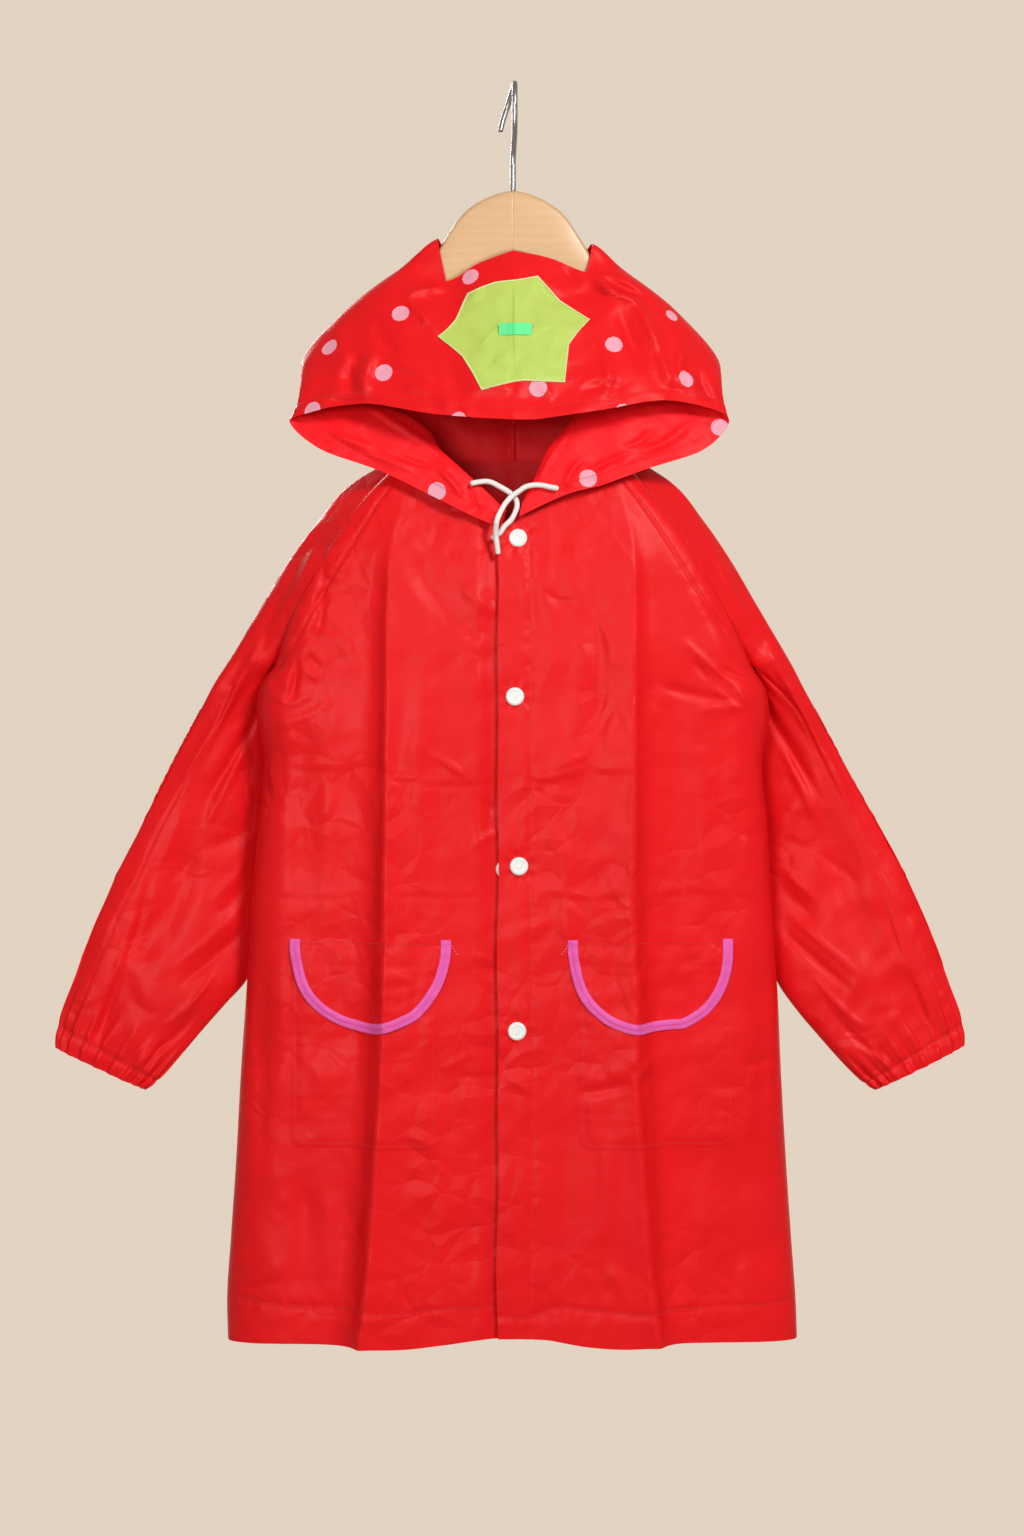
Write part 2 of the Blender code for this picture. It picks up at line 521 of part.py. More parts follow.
def front_panel(side):
    """A front, as a grid of points from the neck to the hem and from its outer edge to its middle edge."""
    hole = ARMHOLE[side]
    neck = NECK_LEFT if side < 0 else NECK_RIGHT
    middle = neck["x"][-1]
    outer_steps = np.array([0, 0.035, 0.1, 0.2, 0.34, 0.52, 0.75, 1])
    inner_steps = np.array([0.1, 0.25, 0.45, 0.62, 0.72, 0.8, 0.88, 1] if side < 0 else [0.1, 0.25, 0.45, 0.65, 0.84, 1])
    fold = FOLDS["left"] if side < 0 else FOLDS["right"]
    bottom_of_hole = hole["fz"][-1]
    rows = []
    for i in range(ARMPIT_ROWS + len(SKIRT_STEPS)):
        if i <= ARMPIT_ROWS:
            q = i / ARMPIT_ROWS
            edge_x, _, edge_z = armhole_point(side, q, "f")
            middle_z = neck["z"][-1] + (bottom_of_hole - neck["z"][-1]) * q
        else:
            g = SKIRT_STEPS[i - ARMPIT_ROWS]
            edge_z = bottom_of_hole + (smooth(SIDE[side]["x"][-1], HEM["x"], HEM["z"]) - bottom_of_hole) * g
            edge_x = edge_at(side, edge_z)[0]
            middle_z = bottom_of_hole + (smooth(middle, HEM["x"], HEM["z"]) - bottom_of_hole) * g
        fold_x = smooth(0.5 * (edge_z + middle_z), FOLDS["z"], fold)
        xs = np.concatenate([edge_x + (fold_x - edge_x) * outer_steps, fold_x + (middle - fold_x) * inner_steps])
        row = []
        for x in xs:
            part = (x - edge_x) / (middle - edge_x)
            z = edge_z + (middle_z - edge_z) * part
            if i <= ARMPIT_ROWS:
                top = xs_top(side, part, neck)
                straight = hole["fz"][0] + (neck["z"][-1] - hole["fz"][0]) * part
                z += (1 - q) * (top - straight)
            else:
                level = smooth(edge_x, HEM["x"], HEM["z"]) * (1 - part) + smooth(middle, HEM["x"], HEM["z"]) * part
                z += g * g * (smooth(x, HEM["x"], HEM["z"]) - level)
            y = front_depth(x, z)
            if side < 0:
                y += UNDERLAP_DEPTH * ease(x, -30.0, -14.5)
            row.append((x, y, z))
        rows.append(row)
    return np.array(rows)


def xs_top(side, part, neck):
    x = neck["x"][0] + (neck["x"][-1] - neck["x"][0]) * part
    return smooth(x, neck["x"], neck["z"])


def back_panel():
    """The back, as a grid of points from the neck to the hem, left to right."""
    across = np.array([0, 0.015, 0.045, 0.09, 0.16, 0.25, 0.36, 0.5, 0.64, 0.75, 0.84, 0.91, 0.955, 0.985, 1])
    rows = []
    for i in range(ARMPIT_ROWS + len(SKIRT_STEPS)):
        ends = {}
        for side in (-1, 1):
            hole = ARMHOLE[side]
            if i <= ARMPIT_ROWS:
                ends[side] = armhole_point(side, i / ARMPIT_ROWS, "b")[[0, 2]]
            else:
                g = SKIRT_STEPS[i - ARMPIT_ROWS]
                low = smooth(SIDE[side]["x"][-1], HEM["x"], HEM["z"])
                z = hole["bz"][-1] + (low - hole["bz"][-1]) * g
                ends[side] = (edge_at(side, z)[0] if z <= hole["fz"][-1] else SIDE[side]["x"][0], z)
        row = []
        for part in across:
            x = ends[-1][0] + (ends[1][0] - ends[-1][0]) * part
            z = ends[-1][1] + (ends[1][1] - ends[-1][1]) * part
            if i == 0:
                z = smooth(x, NECK_BACK["x"], NECK_BACK["z"])
                row.append((x, smooth(x, NECK_BACK["x"], NECK_BACK["y"]), z))
                continue
            row.append((x, back_depth(x, z), z))
        rows.append(row)
    return np.array(rows)


def sleeve_point(side, station, phi):
    """A point of a sleeve. Station counts sections: negative above the armpit, 0 at it and 14 at the cuff.

    phi goes round the section from the inner end (0) over the front to the outer end (pi) and round the back.
    """
    u = 0.5 * (1 - np.cos(phi))
    behind = np.sin(phi) < 0
    if station < 0:
        q = 1 + station / ARMPIT_ROWS
        front, back, top = (armhole_point(side, q, which) for which in "fbs")
        inner = (back if phi > np.pi else front)[[0, 2]]
        outer = top[[0, 2]]
        inner_y = 0.5 * (front[1] + back[1])
        part = 0.5 * (back[1] - front[1])
        outer_y = top[1]
        half = 6.0 + 8.0 * q
    else:
        rows = SLEEVE[side]
        at = np.arange(len(rows["ix"]))
        now = {name: smooth(station, at, rows[name]) for name in rows}
        inner = np.array([now["ix"], now["iz"]])
        outer = np.array([now["ox"], now["oz"]])
        inner_y = now["iy"]
        outer_y = now["oy"]
        part = max(now["part"], 0.0)
        half = now["half"]
    place = inner + (outer - inner) * u
    middle = inner_y + (outer_y - inner_y) * u
    thick = np.sqrt((part * (1 - u)) ** 2 + (half * abs(np.sin(phi)) ** 0.85) ** 2)
    if not behind and station > 4:
        trough = np.exp(-(((u - 0.62) / 0.11) ** 2)) * ease(station, 5.0, 8.0) * (1 - ease(station, 12.0, 13.5))
        thick -= 5.0 * trough
    y = middle + (thick if behind else -thick)
    return np.array([place[0], y, place[1]])


def sleeve_rows(side):
    """The rows of a sleeve: plain sections, then sections with four times the points for the gathers."""
    coarse = [float(k) for k in range(-ARMPIT_ROWS, 12)] + [11.8]
    fine = [12.5, 13.1, 13.5, 14.0]
    turns = np.arange(SLEEVE_COLUMNS + 1) / SLEEVE_COLUMNS
    fine_turns = np.arange(SLEEVE_COLUMNS * GATHER_SPLIT + 1) / (SLEEVE_COLUMNS * GATHER_SPLIT)
    rows = SLEEVE[side]
    at = np.arange(len(rows["seam"]))

    def ring(station, turns):
        start = smooth(max(station, 0.0), at, rows["seam"]) if station > 0 else 0.0
        opening = 0.012 if station > 0 else 0.0
        angles = start + opening + turns * (2 * np.pi - 2 * opening)
        return np.array([sleeve_point(side, station, angle % (2 * np.pi) if station > 0 else angle) for angle in angles])

    plain = [ring(station, turns) for station in coarse]
    gathered = []
    for station in fine:
        points = ring(station, fine_turns)
        middle = points.mean(axis=0)
        strength = GATHER_HEIGHT * ease(station, 11.8, 13.3)
        wave = np.cos(2 * np.pi * GATHERS * fine_turns + 0.9 * np.sin(9.0 * fine_turns))
        away = points - middle
        away /= np.linalg.norm(away, axis=1, keepdims=True)
        front = np.where(points[:, 1] < middle[1], -1.0, 1.0)
        out = 0.35 * away + 0.65 * np.stack([0 * front, front, 0 * front], axis=1)
        gathered.append(points + out * (wave * strength)[:, None])
    return plain, gathered


def sleeve(side):
    """A sleeve's surface as points and triangles."""
    plain, gathered = sleeve_rows(side)
    middle = SLEEVE_COLUMNS // 2
    for k in range(ARMPIT_ROWS + 1):
        ring = plain[k]
        fade = np.abs(np.linspace(-1, 1, SLEEVE_COLUMNS + 1)) ** 3
        for end, part in ((0, slice(0, middle)), (-1, slice(middle, None))):
            out = (ring[middle] - ring[end]) * (1, 0, 1)
            ring[part] += fade[part, None] * SEAM * out / np.linalg.norm(out)
    plain_grid = np.array(plain)
    faces = [triangles_of(plain_grid)]
    points = [plain_grid.reshape(-1, 3)]
    start = len(points[0])
    last = start - (SLEEVE_COLUMNS + 1)
    between = []
    for j in range(SLEEVE_COLUMNS):
        a, b = last + j, last + j + 1
        first = start + GATHER_SPLIT * j
        for k in range(GATHER_SPLIT):
            corner = a if k < GATHER_SPLIT // 2 else b
            between.append((corner, first + k + 1, first + k))
        between.append((a, b, first + GATHER_SPLIT // 2))
    faces.append(np.array(between))
    gathered_grid = np.array(gathered)
    faces.append(triangles_of(gathered_grid) + start)
    points.append(gathered_grid.reshape(-1, 3))
    faces = np.concatenate(faces)
    if side > 0:
        faces = faces[:, ::-1]
    return np.concatenate(points), faces


def hood_grid(sections):
    """The hood's half as a grid: smooth along each section, then smooth from section to section."""
    along = np.array([spline(section, HOOD_STEPS) for section in sections])
    count = len(sections)
    at = np.linspace(0, count - 1, 2 * (count - 1) + 1)
    return np.stack(
        [
            np.stack([smooth(at, np.arange(count), along[:, j, axis]) for axis in range(3)], axis=1)
            for j in range(along.shape[1])
        ],
        axis=1,
    )


def hood(side):
    """A half of the hood as points and triangles, without the slot that the hanger stands in."""
    grid = hood_grid(HOOD_LEFT if side < 0 else HOOD_RIGHT)
    keep = np.ones((grid.shape[0] - 1, grid.shape[1] - 1), bool)
    first = sum(HOOD_STEPS[: SLOT_POINTS[0]])
    last = sum(HOOD_STEPS[: SLOT_POINTS[1]])
    keep[2 * SLOT_FROM_SECTION :, first:last] = False
    return grid.reshape(-1, 3), triangles_of(grid, keep, flip=side > 0)


def laid(outline, beneath, off, rings, centre=None, around=2.0):
    """A patch with this outline, laid on the solids beneath it: rings of points from its rim to its middle."""
    outline = np.asarray(outline, float)
    centre = outline.mean(axis=0) if centre is None else np.asarray(centre, float)
    points = []
    for part in rings:
        for place in outline + (centre - outline) * part:
            points.append((place[0], beneath.front(place[0], place[1], around) - off, place[1]))
    count = len(outline)
    points.append((centre[0], beneath.front(centre[0], centre[1], around) - off, centre[1]))
    faces = []
    for ring in range(len(rings) - 1):
        for k in range(count):
            a, b = ring * count + k, ring * count + (k + 1) % count
            c, d = b + count, a + count
            faces.extend([(a, b, c), (a, c, d)])
    last = (len(rings) - 1) * count
    for k in range(count):
        faces.append((last + k, last + (k + 1) % count, len(points) - 1))
    points = np.array(points)
    faces = np.array(faces)
    if point_normals(points, faces)[:, 1].mean() > 0:
        faces = faces[:, ::-1]
    return points, faces


def pocket(side, beneath):
    """A pocket bag, laid on the front as a grid that follows the front's long fold."""
    low, high = POCKETS[side]["x"]
    top, bottom = POCKETS[side]["z"]
    fold = FOLDS["left"] if side < 0 else FOLDS["right"]
    rows = []
    for z in np.linspace(top, bottom, 8):
        fold_x = smooth(z, FOLDS["z"], fold)
        xs = np.concatenate([np.linspace(low, fold_x, 5), np.linspace(fold_x, high, 5)[1:]])
        rows.append([(x, beneath.front(x, z, 2.0) - POCKET_LAYER - TRIM_WALL, z) for x in xs])
    grid = np.array(rows)
    return grid.reshape(-1, 3), triangles_of(grid)


def rim_points(rim, steps):
    pairs = np.stack([rim["x"], rim["z"]], axis=1)
    return spline(pairs, [steps] * (len(pairs) - 1))


def flap(side, beneath):
    """A half-round pocket flap: rows from its straight top down to its rim."""
    rim = rim_points(FLAP_RIM[side], 1)
    top = rim[0, 1]
    rows = []
    for part in np.linspace(0.0, 1.0, 5):
        row = []
        for x, z in rim[1:-1]:
            height = top + (z - top) * part
            row.append((x, beneath.front(x, height, 3.0) - LAYER - TRIM_WALL, height))
        rows.append(row)
    grid = np.array(rows)
    return grid.reshape(-1, 3), triangles_of(grid)


def binding(side, beneath):
    """The binding round a flap's rim, a strip as wide as BINDING_WIDTH with its middle on the rim."""
    rim = rim_points(FLAP_RIM[side], 2)
    along = np.gradient(rim, axis=0)
    along /= np.linalg.norm(along, axis=1, keepdims=True)
    across = np.stack([along[:, 1], -along[:, 0]], axis=1)
    rows = []
    for offset in (-0.5, 0.0, 0.5):
        places = rim + across * (offset * BINDING_WIDTH)
        rows.append([(x, beneath.front(x, z, 4.0) - LAYER - TRIM_WALL, z) for x, z in places])
    grid = np.array(rows)
    faces = triangles_of(grid)
    points = grid.reshape(-1, 3)
    if point_normals(points, faces)[:, 1].mean() > 0:
        faces = faces[:, ::-1]
    return points, faces


def disc(name, x, z, y, radius, height, colour):
    """A low domed button standing towards the viewer from depth y."""
    profile = [(0.9, 0.0), (1.0, 0.25), (0.94, 0.62), (0.7, 0.9), (0.35, 1.0)]
    sides = 14
    points = [(x, y, z)]
    for reach, rise in profile:
        for k in range(sides):
            turn = 2 * np.pi * k / sides
            points.append((x + radius * reach * np.cos(turn), y - height * rise, z + radius * reach * np.sin(turn)))
    points.append((x, y - height, z))
    faces = []
    for k in range(sides):
        after = (k + 1) % sides
        faces.append((0, 1 + k, 1 + after))
        for ring in range(len(profile) - 1):
            a, b = 1 + ring * sides + k, 1 + ring * sides + after
            faces.extend([(a, a + sides, b + sides), (a, b + sides, b)])
        last = 1 + (len(profile) - 1) * sides
        faces.append((last + k, len(points) - 1, last + after))
    return add_mesh(name, points, outward(np.array(points), np.array(faces)), colour)


def outward(points, faces):
    """The faces of a closed body, turned to face out."""
    corner = points[faces]
    volume = np.einsum("ij,ij->i", corner[:, 0], np.cross(corner[:, 1], corner[:, 2])).sum()
    return faces if volume > 0 else faces[:, ::-1]


def swept(name, path, radii, sides, colour):
    """A round rod along a path, with a radius at each of its points and flat ends."""
    path = np.asarray(path, float)
    along = np.gradient(path, axis=0)
    along /= np.linalg.norm(along, axis=1, keepdims=True)
    across = np.cross(along[0], (1.0, 0.0, 0.0))
    points = []
    for place, way, radius in zip(path, along, radii):
        across = across - way * np.dot(across, way)
        across /= np.linalg.norm(across)
        other = np.cross(way, across)
        for k in range(sides):
            turn = 2 * np.pi * k / sides
            points.append(place + radius * (np.cos(turn) * across + np.sin(turn) * other))
    faces = []
    rings = len(path)
    for i in range(rings - 1):
        for k in range(sides):
            a, b = i * sides + k, i * sides + (k + 1) % sides
            faces.extend([(a, b, b + sides), (a, b + sides, a + sides)])
    for k in range(1, sides - 1):
        faces.append((0, k + 1, k))
        end = (rings - 1) * sides
        faces.append((end, end + k, end + k + 1))
    points = np.array(points)
    return add_mesh(name, points, outward(points, np.array(faces)), colour)


def hanger():
    """The wooden hanger, from tip to tip in upright sections with rounded corners."""
    xs = np.concatenate([-HANGER["x"][:0:-1], HANGER["x"]])
    rings = []
    corners = [(0.0, 1.0), (0.62, 0.9), (1.0, 0.45), (1.0, -0.45), (0.62, -0.9), (0.0, -1.0), (-0.62, -0.9), (-1.0, -0.45), (-1.0, 0.45), (-0.62, 0.9)]
    for x in xs:
        top, bottom, half = (np.interp(abs(x), HANGER["x"], HANGER[name]) for name in ("top", "bottom", "half"))
        middle = 0.5 * (top + bottom)
        rise = 0.5 * (top - bottom)
        shoulder = min(1.0, 12.0 / rise)
        ring = []
        for across, up in corners:
            height = np.sign(up) * (rise - rise * (1 - abs(up)) * shoulder)
            ring.append((x, across * half, middle + (height if up else 0.0)))
        rings.append(ring)
    points = np.array(rings).reshape(-1, 3)
    sides = len(corners)
    faces = []
    for i in range(len(xs) - 1):
        for k in range(sides):
            a, b = i * sides + k, i * sides + (k + 1) % sides
            faces.extend([(a, b, b + sides), (a, b + sides, a + sides)])
    end = (len(xs) - 1) * sides
    for k in range(1, sides - 1):
        faces.append((0, k + 1, k))
        faces.append((end, end + k, end + k + 1))
    return add_mesh("hanger", points, outward(points, np.array(faces)), "beech")


def hook():
    """The steel hook: a stem on the wood, a leg in front of the rod's place, a bend over it and a tail."""
    centre_z = WIRE_RADIUS - HOOK_BEND
    low = HANGER["top"][0] + 0.3
    path = [(0, 0, low), (0, 0, low + 20), (0, 0, low + 22), (0.3, -1.5, low + 30), (1.0, -8.0, low + 40)]
    path.append((HOOK_LEAN[0], -16.0, low + 52))
    for turn in np.radians(np.arange(-14, 182, 14)):
        y = -HOOK_BEND * np.cos(turn)
        part = (y + HOOK_BEND) / (2 * HOOK_BEND)
        path.append((HOOK_LEAN[0] - HOOK_LEAN[1] * part**3, y, centre_z + HOOK_BEND * np.sin(turn)))
    path.append((HOOK_LEAN[0] - HOOK_LEAN[1], HOOK_BEND - 0.5, 0.5 * (centre_z + HOOK_TAIL)))
    path.append((HOOK_LEAN[0] - HOOK_LEAN[1] - 0.5, HOOK_BEND - 2.0, HOOK_TAIL))
    path = np.array(path)
    radii = np.where(path[:, 2] < low + 21, WIRE_RADIUS + 0.1, WIRE_RADIUS)
    return swept("hook", path, radii, 10, "steel")


def cord(name, side, beneath):
    """One end of the drawcord as a bevelled curve, lying on the solids beneath it."""
    rows = CORDS[side]
    route = []
    for x, z, off in zip(rows["x"], rows["z"], rows["off"]):
        near = beneath.front(x, z, 2.5)
        route.append((x, (NECK_DEPTH if near is None else min(near, NECK_DEPTH)) - off, z))
    route = np.array(route)
    route[1:-1, 1] = np.minimum(route[1:-1, 1], 0.5 * (route[:-2, 1] + route[2:, 1]))
    points = spline(route, [1] * (len(route) - 1))
    curve = bpy.data.curves.new(name, "CURVE")
    curve.dimensions = "3D"
    curve.bevel_depth = 0.5 * CORD_THICKNESS * MM
    curve.bevel_resolution = 2
    curve.use_fill_caps = True
    line = curve.splines.new("POLY")
    line.points.add(len(points) - 1)
    for point, place in zip(line.points, points):
        point.co = (*(place * MM), 1.0)
    curve.materials.append(own_material(name, "white_cord"))
    obj = bpy.data.objects.new(name, curve)
    bpy.context.collection.objects.link(obj)
    return obj


def fastening(number, x, z, panel, beneath):
    """A snap's cap on the outer front and its lower half between the two fronts."""
    nearest = panel.front(x, z, 0.9 * SNAP_RADIUS)
    disc(f"snap_cap_{number}", x, z, nearest - 0.3, SNAP_RADIUS, 3.0, "white_plastic")
    stud_x, stud_z = STUD if number == 3 else (x, z)
    stud_radius = SNAP_RADIUS if number == 3 else STUD_RADIUS
    under = beneath.front(stud_x, stud_z, 0.9 * stud_radius)
    disc(f"snap_stud_{number}", stud_x, stud_z, under - 0.3, stud_radius, 1.6, "white_plastic")


def main():
    clear_scene()
    fronts = {}
    for side, name in ((-1, "front_right"), (1, "front_left")):
        grid = front_panel(side)
        fronts[side] = add_cloth(name, grid.reshape(-1, 3), triangles_of(grid, flip=side > 0))
    grid = back_panel()
    add_cloth("back", grid.reshape(-1, 3), triangles_of(grid, flip=True))
    add_cloth("sleeve_right", *sleeve(-1))
    add_cloth("sleeve_left", *sleeve(1))
    hoods = [add_cloth("hood_right", *hood(-1)), add_cloth("hood_left", *hood(1))]
    for side, name in ((-1, "right"), (1, "left")):
        bag = add_cloth(f"pocket_{name}", *pocket(side, Surface([fronts[side]])), wall=TRIM_WALL)
        lid = add_cloth(f"pocket_flap_{name}", *flap(side, Surface([fronts[side], bag])), wall=TRIM_WALL)
        beneath = Surface([fronts[side], bag, lid])
        add_cloth(f"pocket_binding_{name}", *binding(side, beneath), "pink_binding", TRIM_WALL)
    crown = Surface(hoods)
    outline = np.stack([STAR_RIM["x"], STAR_RIM["z"]], axis=1)
    star = add_cloth("star_patch", *laid(outline, crown, LAYER + TRIM_WALL, (0.0, 0.25, 0.5, 0.75), (0.2, -212.0)), "lime_patch", TRIM_WALL)
    corners = [(TAB["x"][a], TAB["z"][b]) for a, b in ((0, 0), (1, 0), (1, 1), (0, 1))]
    add_cloth("tab_label", *laid(corners, Surface(hoods + [star]), LAYER + TRIM_WALL, (0.0, 0.5)), "mint_tab", TRIM_WALL)
    over = Surface([fronts[1]])
    under = Surface([fronts[-1]])
    for k in range(len(SNAPS["x"])):
        fastening(k + 1, SNAPS["x"][k], SNAPS["z"][k], over, under)
    everything = Surface(hoods + [fronts[-1], fronts[1]])
    cord("drawcord_right", -1, everything)
    cord("drawcord_left", 1, everything)
    hanger()
    hook()


main()
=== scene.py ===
"""The looks of a child's hooded raincoat that hangs from a wooden hanger.

The cloth pieces are numpy surfaces on the same named sizes as the solids, with creases, seams and gathers
added. Lengths are millimetres up to the mesh, which is in metres. x is to the viewer's right, y away from
the viewer and z up, and the origin is the inside top of the hook. In the tables a side is the viewer's (-1 is
the left); names of pieces use the wearer's side. Places given in picture units count from the top left of a
1024 x 1536 frame and are set on the object by seen().
"""

from __future__ import annotations

import json
import logging
import sys
from dataclasses import dataclass, field
from enum import Enum

import bmesh
import bpy
import numpy as np
from bpy.types import Material, Node, NodeSocket, Object
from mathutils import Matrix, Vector
from mathutils.bvhtree import BVHTree

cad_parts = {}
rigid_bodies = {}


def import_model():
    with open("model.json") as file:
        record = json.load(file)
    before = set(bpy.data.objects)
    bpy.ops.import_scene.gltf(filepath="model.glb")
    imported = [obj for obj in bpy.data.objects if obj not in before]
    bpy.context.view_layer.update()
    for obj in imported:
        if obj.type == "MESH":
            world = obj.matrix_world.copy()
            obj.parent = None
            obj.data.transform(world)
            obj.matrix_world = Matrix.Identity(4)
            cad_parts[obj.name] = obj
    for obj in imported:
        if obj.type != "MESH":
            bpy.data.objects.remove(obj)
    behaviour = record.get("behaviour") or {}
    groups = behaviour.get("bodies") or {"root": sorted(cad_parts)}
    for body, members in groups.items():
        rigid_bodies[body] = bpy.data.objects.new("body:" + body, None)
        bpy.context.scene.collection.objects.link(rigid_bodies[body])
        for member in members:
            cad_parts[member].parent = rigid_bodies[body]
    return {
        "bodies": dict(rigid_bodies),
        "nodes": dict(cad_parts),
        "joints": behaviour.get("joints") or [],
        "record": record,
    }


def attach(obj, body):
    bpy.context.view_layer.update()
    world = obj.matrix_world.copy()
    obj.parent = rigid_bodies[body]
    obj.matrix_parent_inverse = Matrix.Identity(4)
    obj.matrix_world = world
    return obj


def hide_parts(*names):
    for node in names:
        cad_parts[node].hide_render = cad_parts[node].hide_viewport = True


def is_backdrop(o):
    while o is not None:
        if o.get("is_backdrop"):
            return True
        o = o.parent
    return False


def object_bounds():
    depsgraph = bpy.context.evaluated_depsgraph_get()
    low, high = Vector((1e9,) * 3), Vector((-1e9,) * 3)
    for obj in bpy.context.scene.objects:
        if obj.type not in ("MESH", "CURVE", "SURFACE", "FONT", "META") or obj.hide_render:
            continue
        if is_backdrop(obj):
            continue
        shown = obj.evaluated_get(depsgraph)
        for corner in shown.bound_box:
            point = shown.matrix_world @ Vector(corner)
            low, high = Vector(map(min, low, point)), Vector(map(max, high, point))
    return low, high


LOG = logging.getLogger("raincoat")
Array = np.ndarray
Colour = tuple[float, float, float]

MM = 0.001
EYE = 2500.0
EYE_HEIGHT = -568.0
UNITS_PER_MM = 1.2
PICTURE_CENTRE = (513.0, 86.0)
CLOTH = 0.55
ARMPIT_ROWS = 6
UNDERLAP_DEPTH = 4.4
GATHERS = 20
GATHER_HEIGHT = 2.5
CORD_THICKNESS = 4.4
BUTTON_SIDES = 72
HANGER_SIDES = 48
FRONT_ACROSS, FRONT_DOWN = 106, 272
BACK_ACROSS, BACK_DOWN = 140, 160
HOOD_FINER = 7
HOOD_BETWEEN = 13
CASING = 11.0
FRONT_DEPTH = -48.0


def table(names: str, rows: list[tuple]) -> dict[str, Array]:
    """Names the columns of a short table.

    Args:
        names: The columns' names, separated by spaces.
        rows: One tuple for each row.

    Returns:
        One array for each named column.
    """
    return dict(zip(names.split(), np.array(rows, float).T))


@dataclass(frozen=True)
class Cut:
    """What a piece of cloth was cut to.

    Attributes:
        width: Its width, in metres.
        length: Its length, in metres.
        area: Its flat area in square metres, or None for a rectangle.
        held: How it is held.
    """

    width: float
    length: float
    area: float | None
    held: str = "hung"


# Colours, as the shader takes them.
RED = (0.78, 0.009, 0.012)
RED_DEEP = (0.58, 0.003, 0.006)
RED_INNER = (0.76, 0.006, 0.011)
# The hood's wrong side: a brighter red than the cloth's own, as painted light for the light that passes through the
# thin hood into its shaded inside.
HOOD_INNER_PAINTED_LIGHT = (0.92, 0.010, 0.016)
DOT_PINK = (0.82, 0.36, 0.46)
LIME = (0.47, 0.60, 0.13)
LIME_DEEP = (0.38, 0.52, 0.08)
EDGING = (0.74, 0.79, 0.36)
PINK = (0.78, 0.105, 0.42)
PINK_DEEP = (0.58, 0.03, 0.30)
MINT = (0.10, 0.82, 0.28)
WHITE = (0.84, 0.84, 0.81)
THREAD = (0.66, 0.03, 0.035)
PINK_THREAD = (0.86, 0.30, 0.58)
WOOD = (0.68, 0.44, 0.24)
WOOD_GRAIN = (0.54, 0.31, 0.14)

# The armhole seams, from the neck to the armpit: the front seam, the back seam and the sleeve's top fold.
ARMHOLE = {
    -1: table("fx fy fz bx by bz sx sy sz", [
        (-98.7, -12, -318.7, -96.5, 18, -309.8, -105.1, 3, -313),
        (-118.2, -21, -339.4, -118.6, 23, -326.1, -131.9, 4, -328.8),
        (-142.6, -27, -372.1, -144, 26, -359.5, -162.8, 5, -362.1),
        (-164.7, -29, -409.4, -166.7, 26, -399.1, -186.2, 5, -393.8),
        (-184.2, -22, -445.3, -185.6, 19, -439.9, -209.7, 6, -432.2),
        (-198.9, -3, -484.3, -198.9, 3, -483.9, -232.2, 6, -470.6),
    ]),
    1: table("fx fy fz bx by bz sx sy sz", [
        (95.4, -12, -315.4, 94, 18, -309, 104.3, 3, -311.4), (113.2, -21, -339.4, 116.9, 23, -326.1, 131, 4, -328.8),
        (137.7, -27, -373, 140.6, 26, -359.5, 159.5, 5, -362.1),
        (159, -29, -409.4, 162.5, 26, -399.1, 181.2, 5, -393.8),
        (180.9, -22, -447.7, 183, 19, -439.9, 203.8, 6, -432.2),
        (199.8, -3, -485.9, 199.8, 3, -485.5, 226.4, 6, -470.6),
    ]),
}

# The side seams, from the armpit to the hem: how far out they run, and the width of the rounding beside them.
SIDE = {
    -1: table("z x reach", [
        (-484.2, -199.2, 26), (-498.3, -210, 26), (-511.7, -213.3, 28), (-559.2, -207.5, 30), (-618.3, -212.5, 32),
        (-661.7, -216.7, 34), (-717.5, -220, 36), (-746.7, -221.7, 38), (-820, -226.7, 40), (-895, -230.8, 42),
        (-957.5, -235, 44), (-1011.7, -238.3, 46), (-1043.3, -237.5, 46),
    ]),
    1: table("z x reach", [
        (-485.8, 200, 26), (-500.8, 210, 26), (-516.7, 213.3, 28), (-565.8, 207.5, 30), (-615, 211.7, 32),
        (-674.2, 215, 34), (-724.2, 218.3, 36), (-746.7, 220, 38), (-820, 223.3, 40), (-895, 227.5, 42),
        (-957.5, 231.7, 44), (-1015.8, 235.8, 46), (-1041.7, 236.7, 46),
    ]),
}

# The two long folds of the front: where each runs, the depth between them, how far each stands out of
# that and how far the cloth drops outside it.
FOLDS = table("z left right depth lift drop", [
    (-320.5, -78.2, 81.5, -30, 0, 0), (-348.2, -91.2, 89.5, -36, 0, 1), (-373.3, -98.3, 96.7, -41, 1, 3),
    (-431.1, -102.9, 101.3, -47, 3, 6), (-512.9, -103.5, 100.2, -50, 5, 10), (-594.4, -104.3, 99.4, -50, 6, 13),
    (-675.9, -105.1, 98.6, -50, 6, 14), (-757.3, -106.7, 101.8, -50, 7, 15), (-838.7, -109.9, 102.6, -50, 7, 15),
    (-920, -114.8, 108.3, -50, 8, 16), (-1001.2, -121.2, 114.7, -50, 9, 16), (-1043.5, -126.9, 121.2, -49, 10, 16),
])

# The necklines of the two fronts and of the back, from the armhole seam to the middle.
NECK_LEFT = table("x z", [
    (-98.7, -318.7), (-78.3, -330), (-60, -338.9), (-41.9, -349.2), (-22.9, -359.4), (-8.2, -366.8), (13.9, -376.6),
])
NECK_RIGHT = table("x z", [
    (95.4, -315.4), (75, -327.5), (51.8, -340.7), (28.7, -350.2), (8.2, -358.5), (-12.2, -374.5),
])
NECK_BACK = table("x y z", [
    (-96.5, 18, -309.8), (-74.1, 27, -309), (-53.2, 31, -308.5), (0, 35, -308.2), (53.2, 31, -308.5),
    (74.1, 27, -309), (94, 18, -309),
])

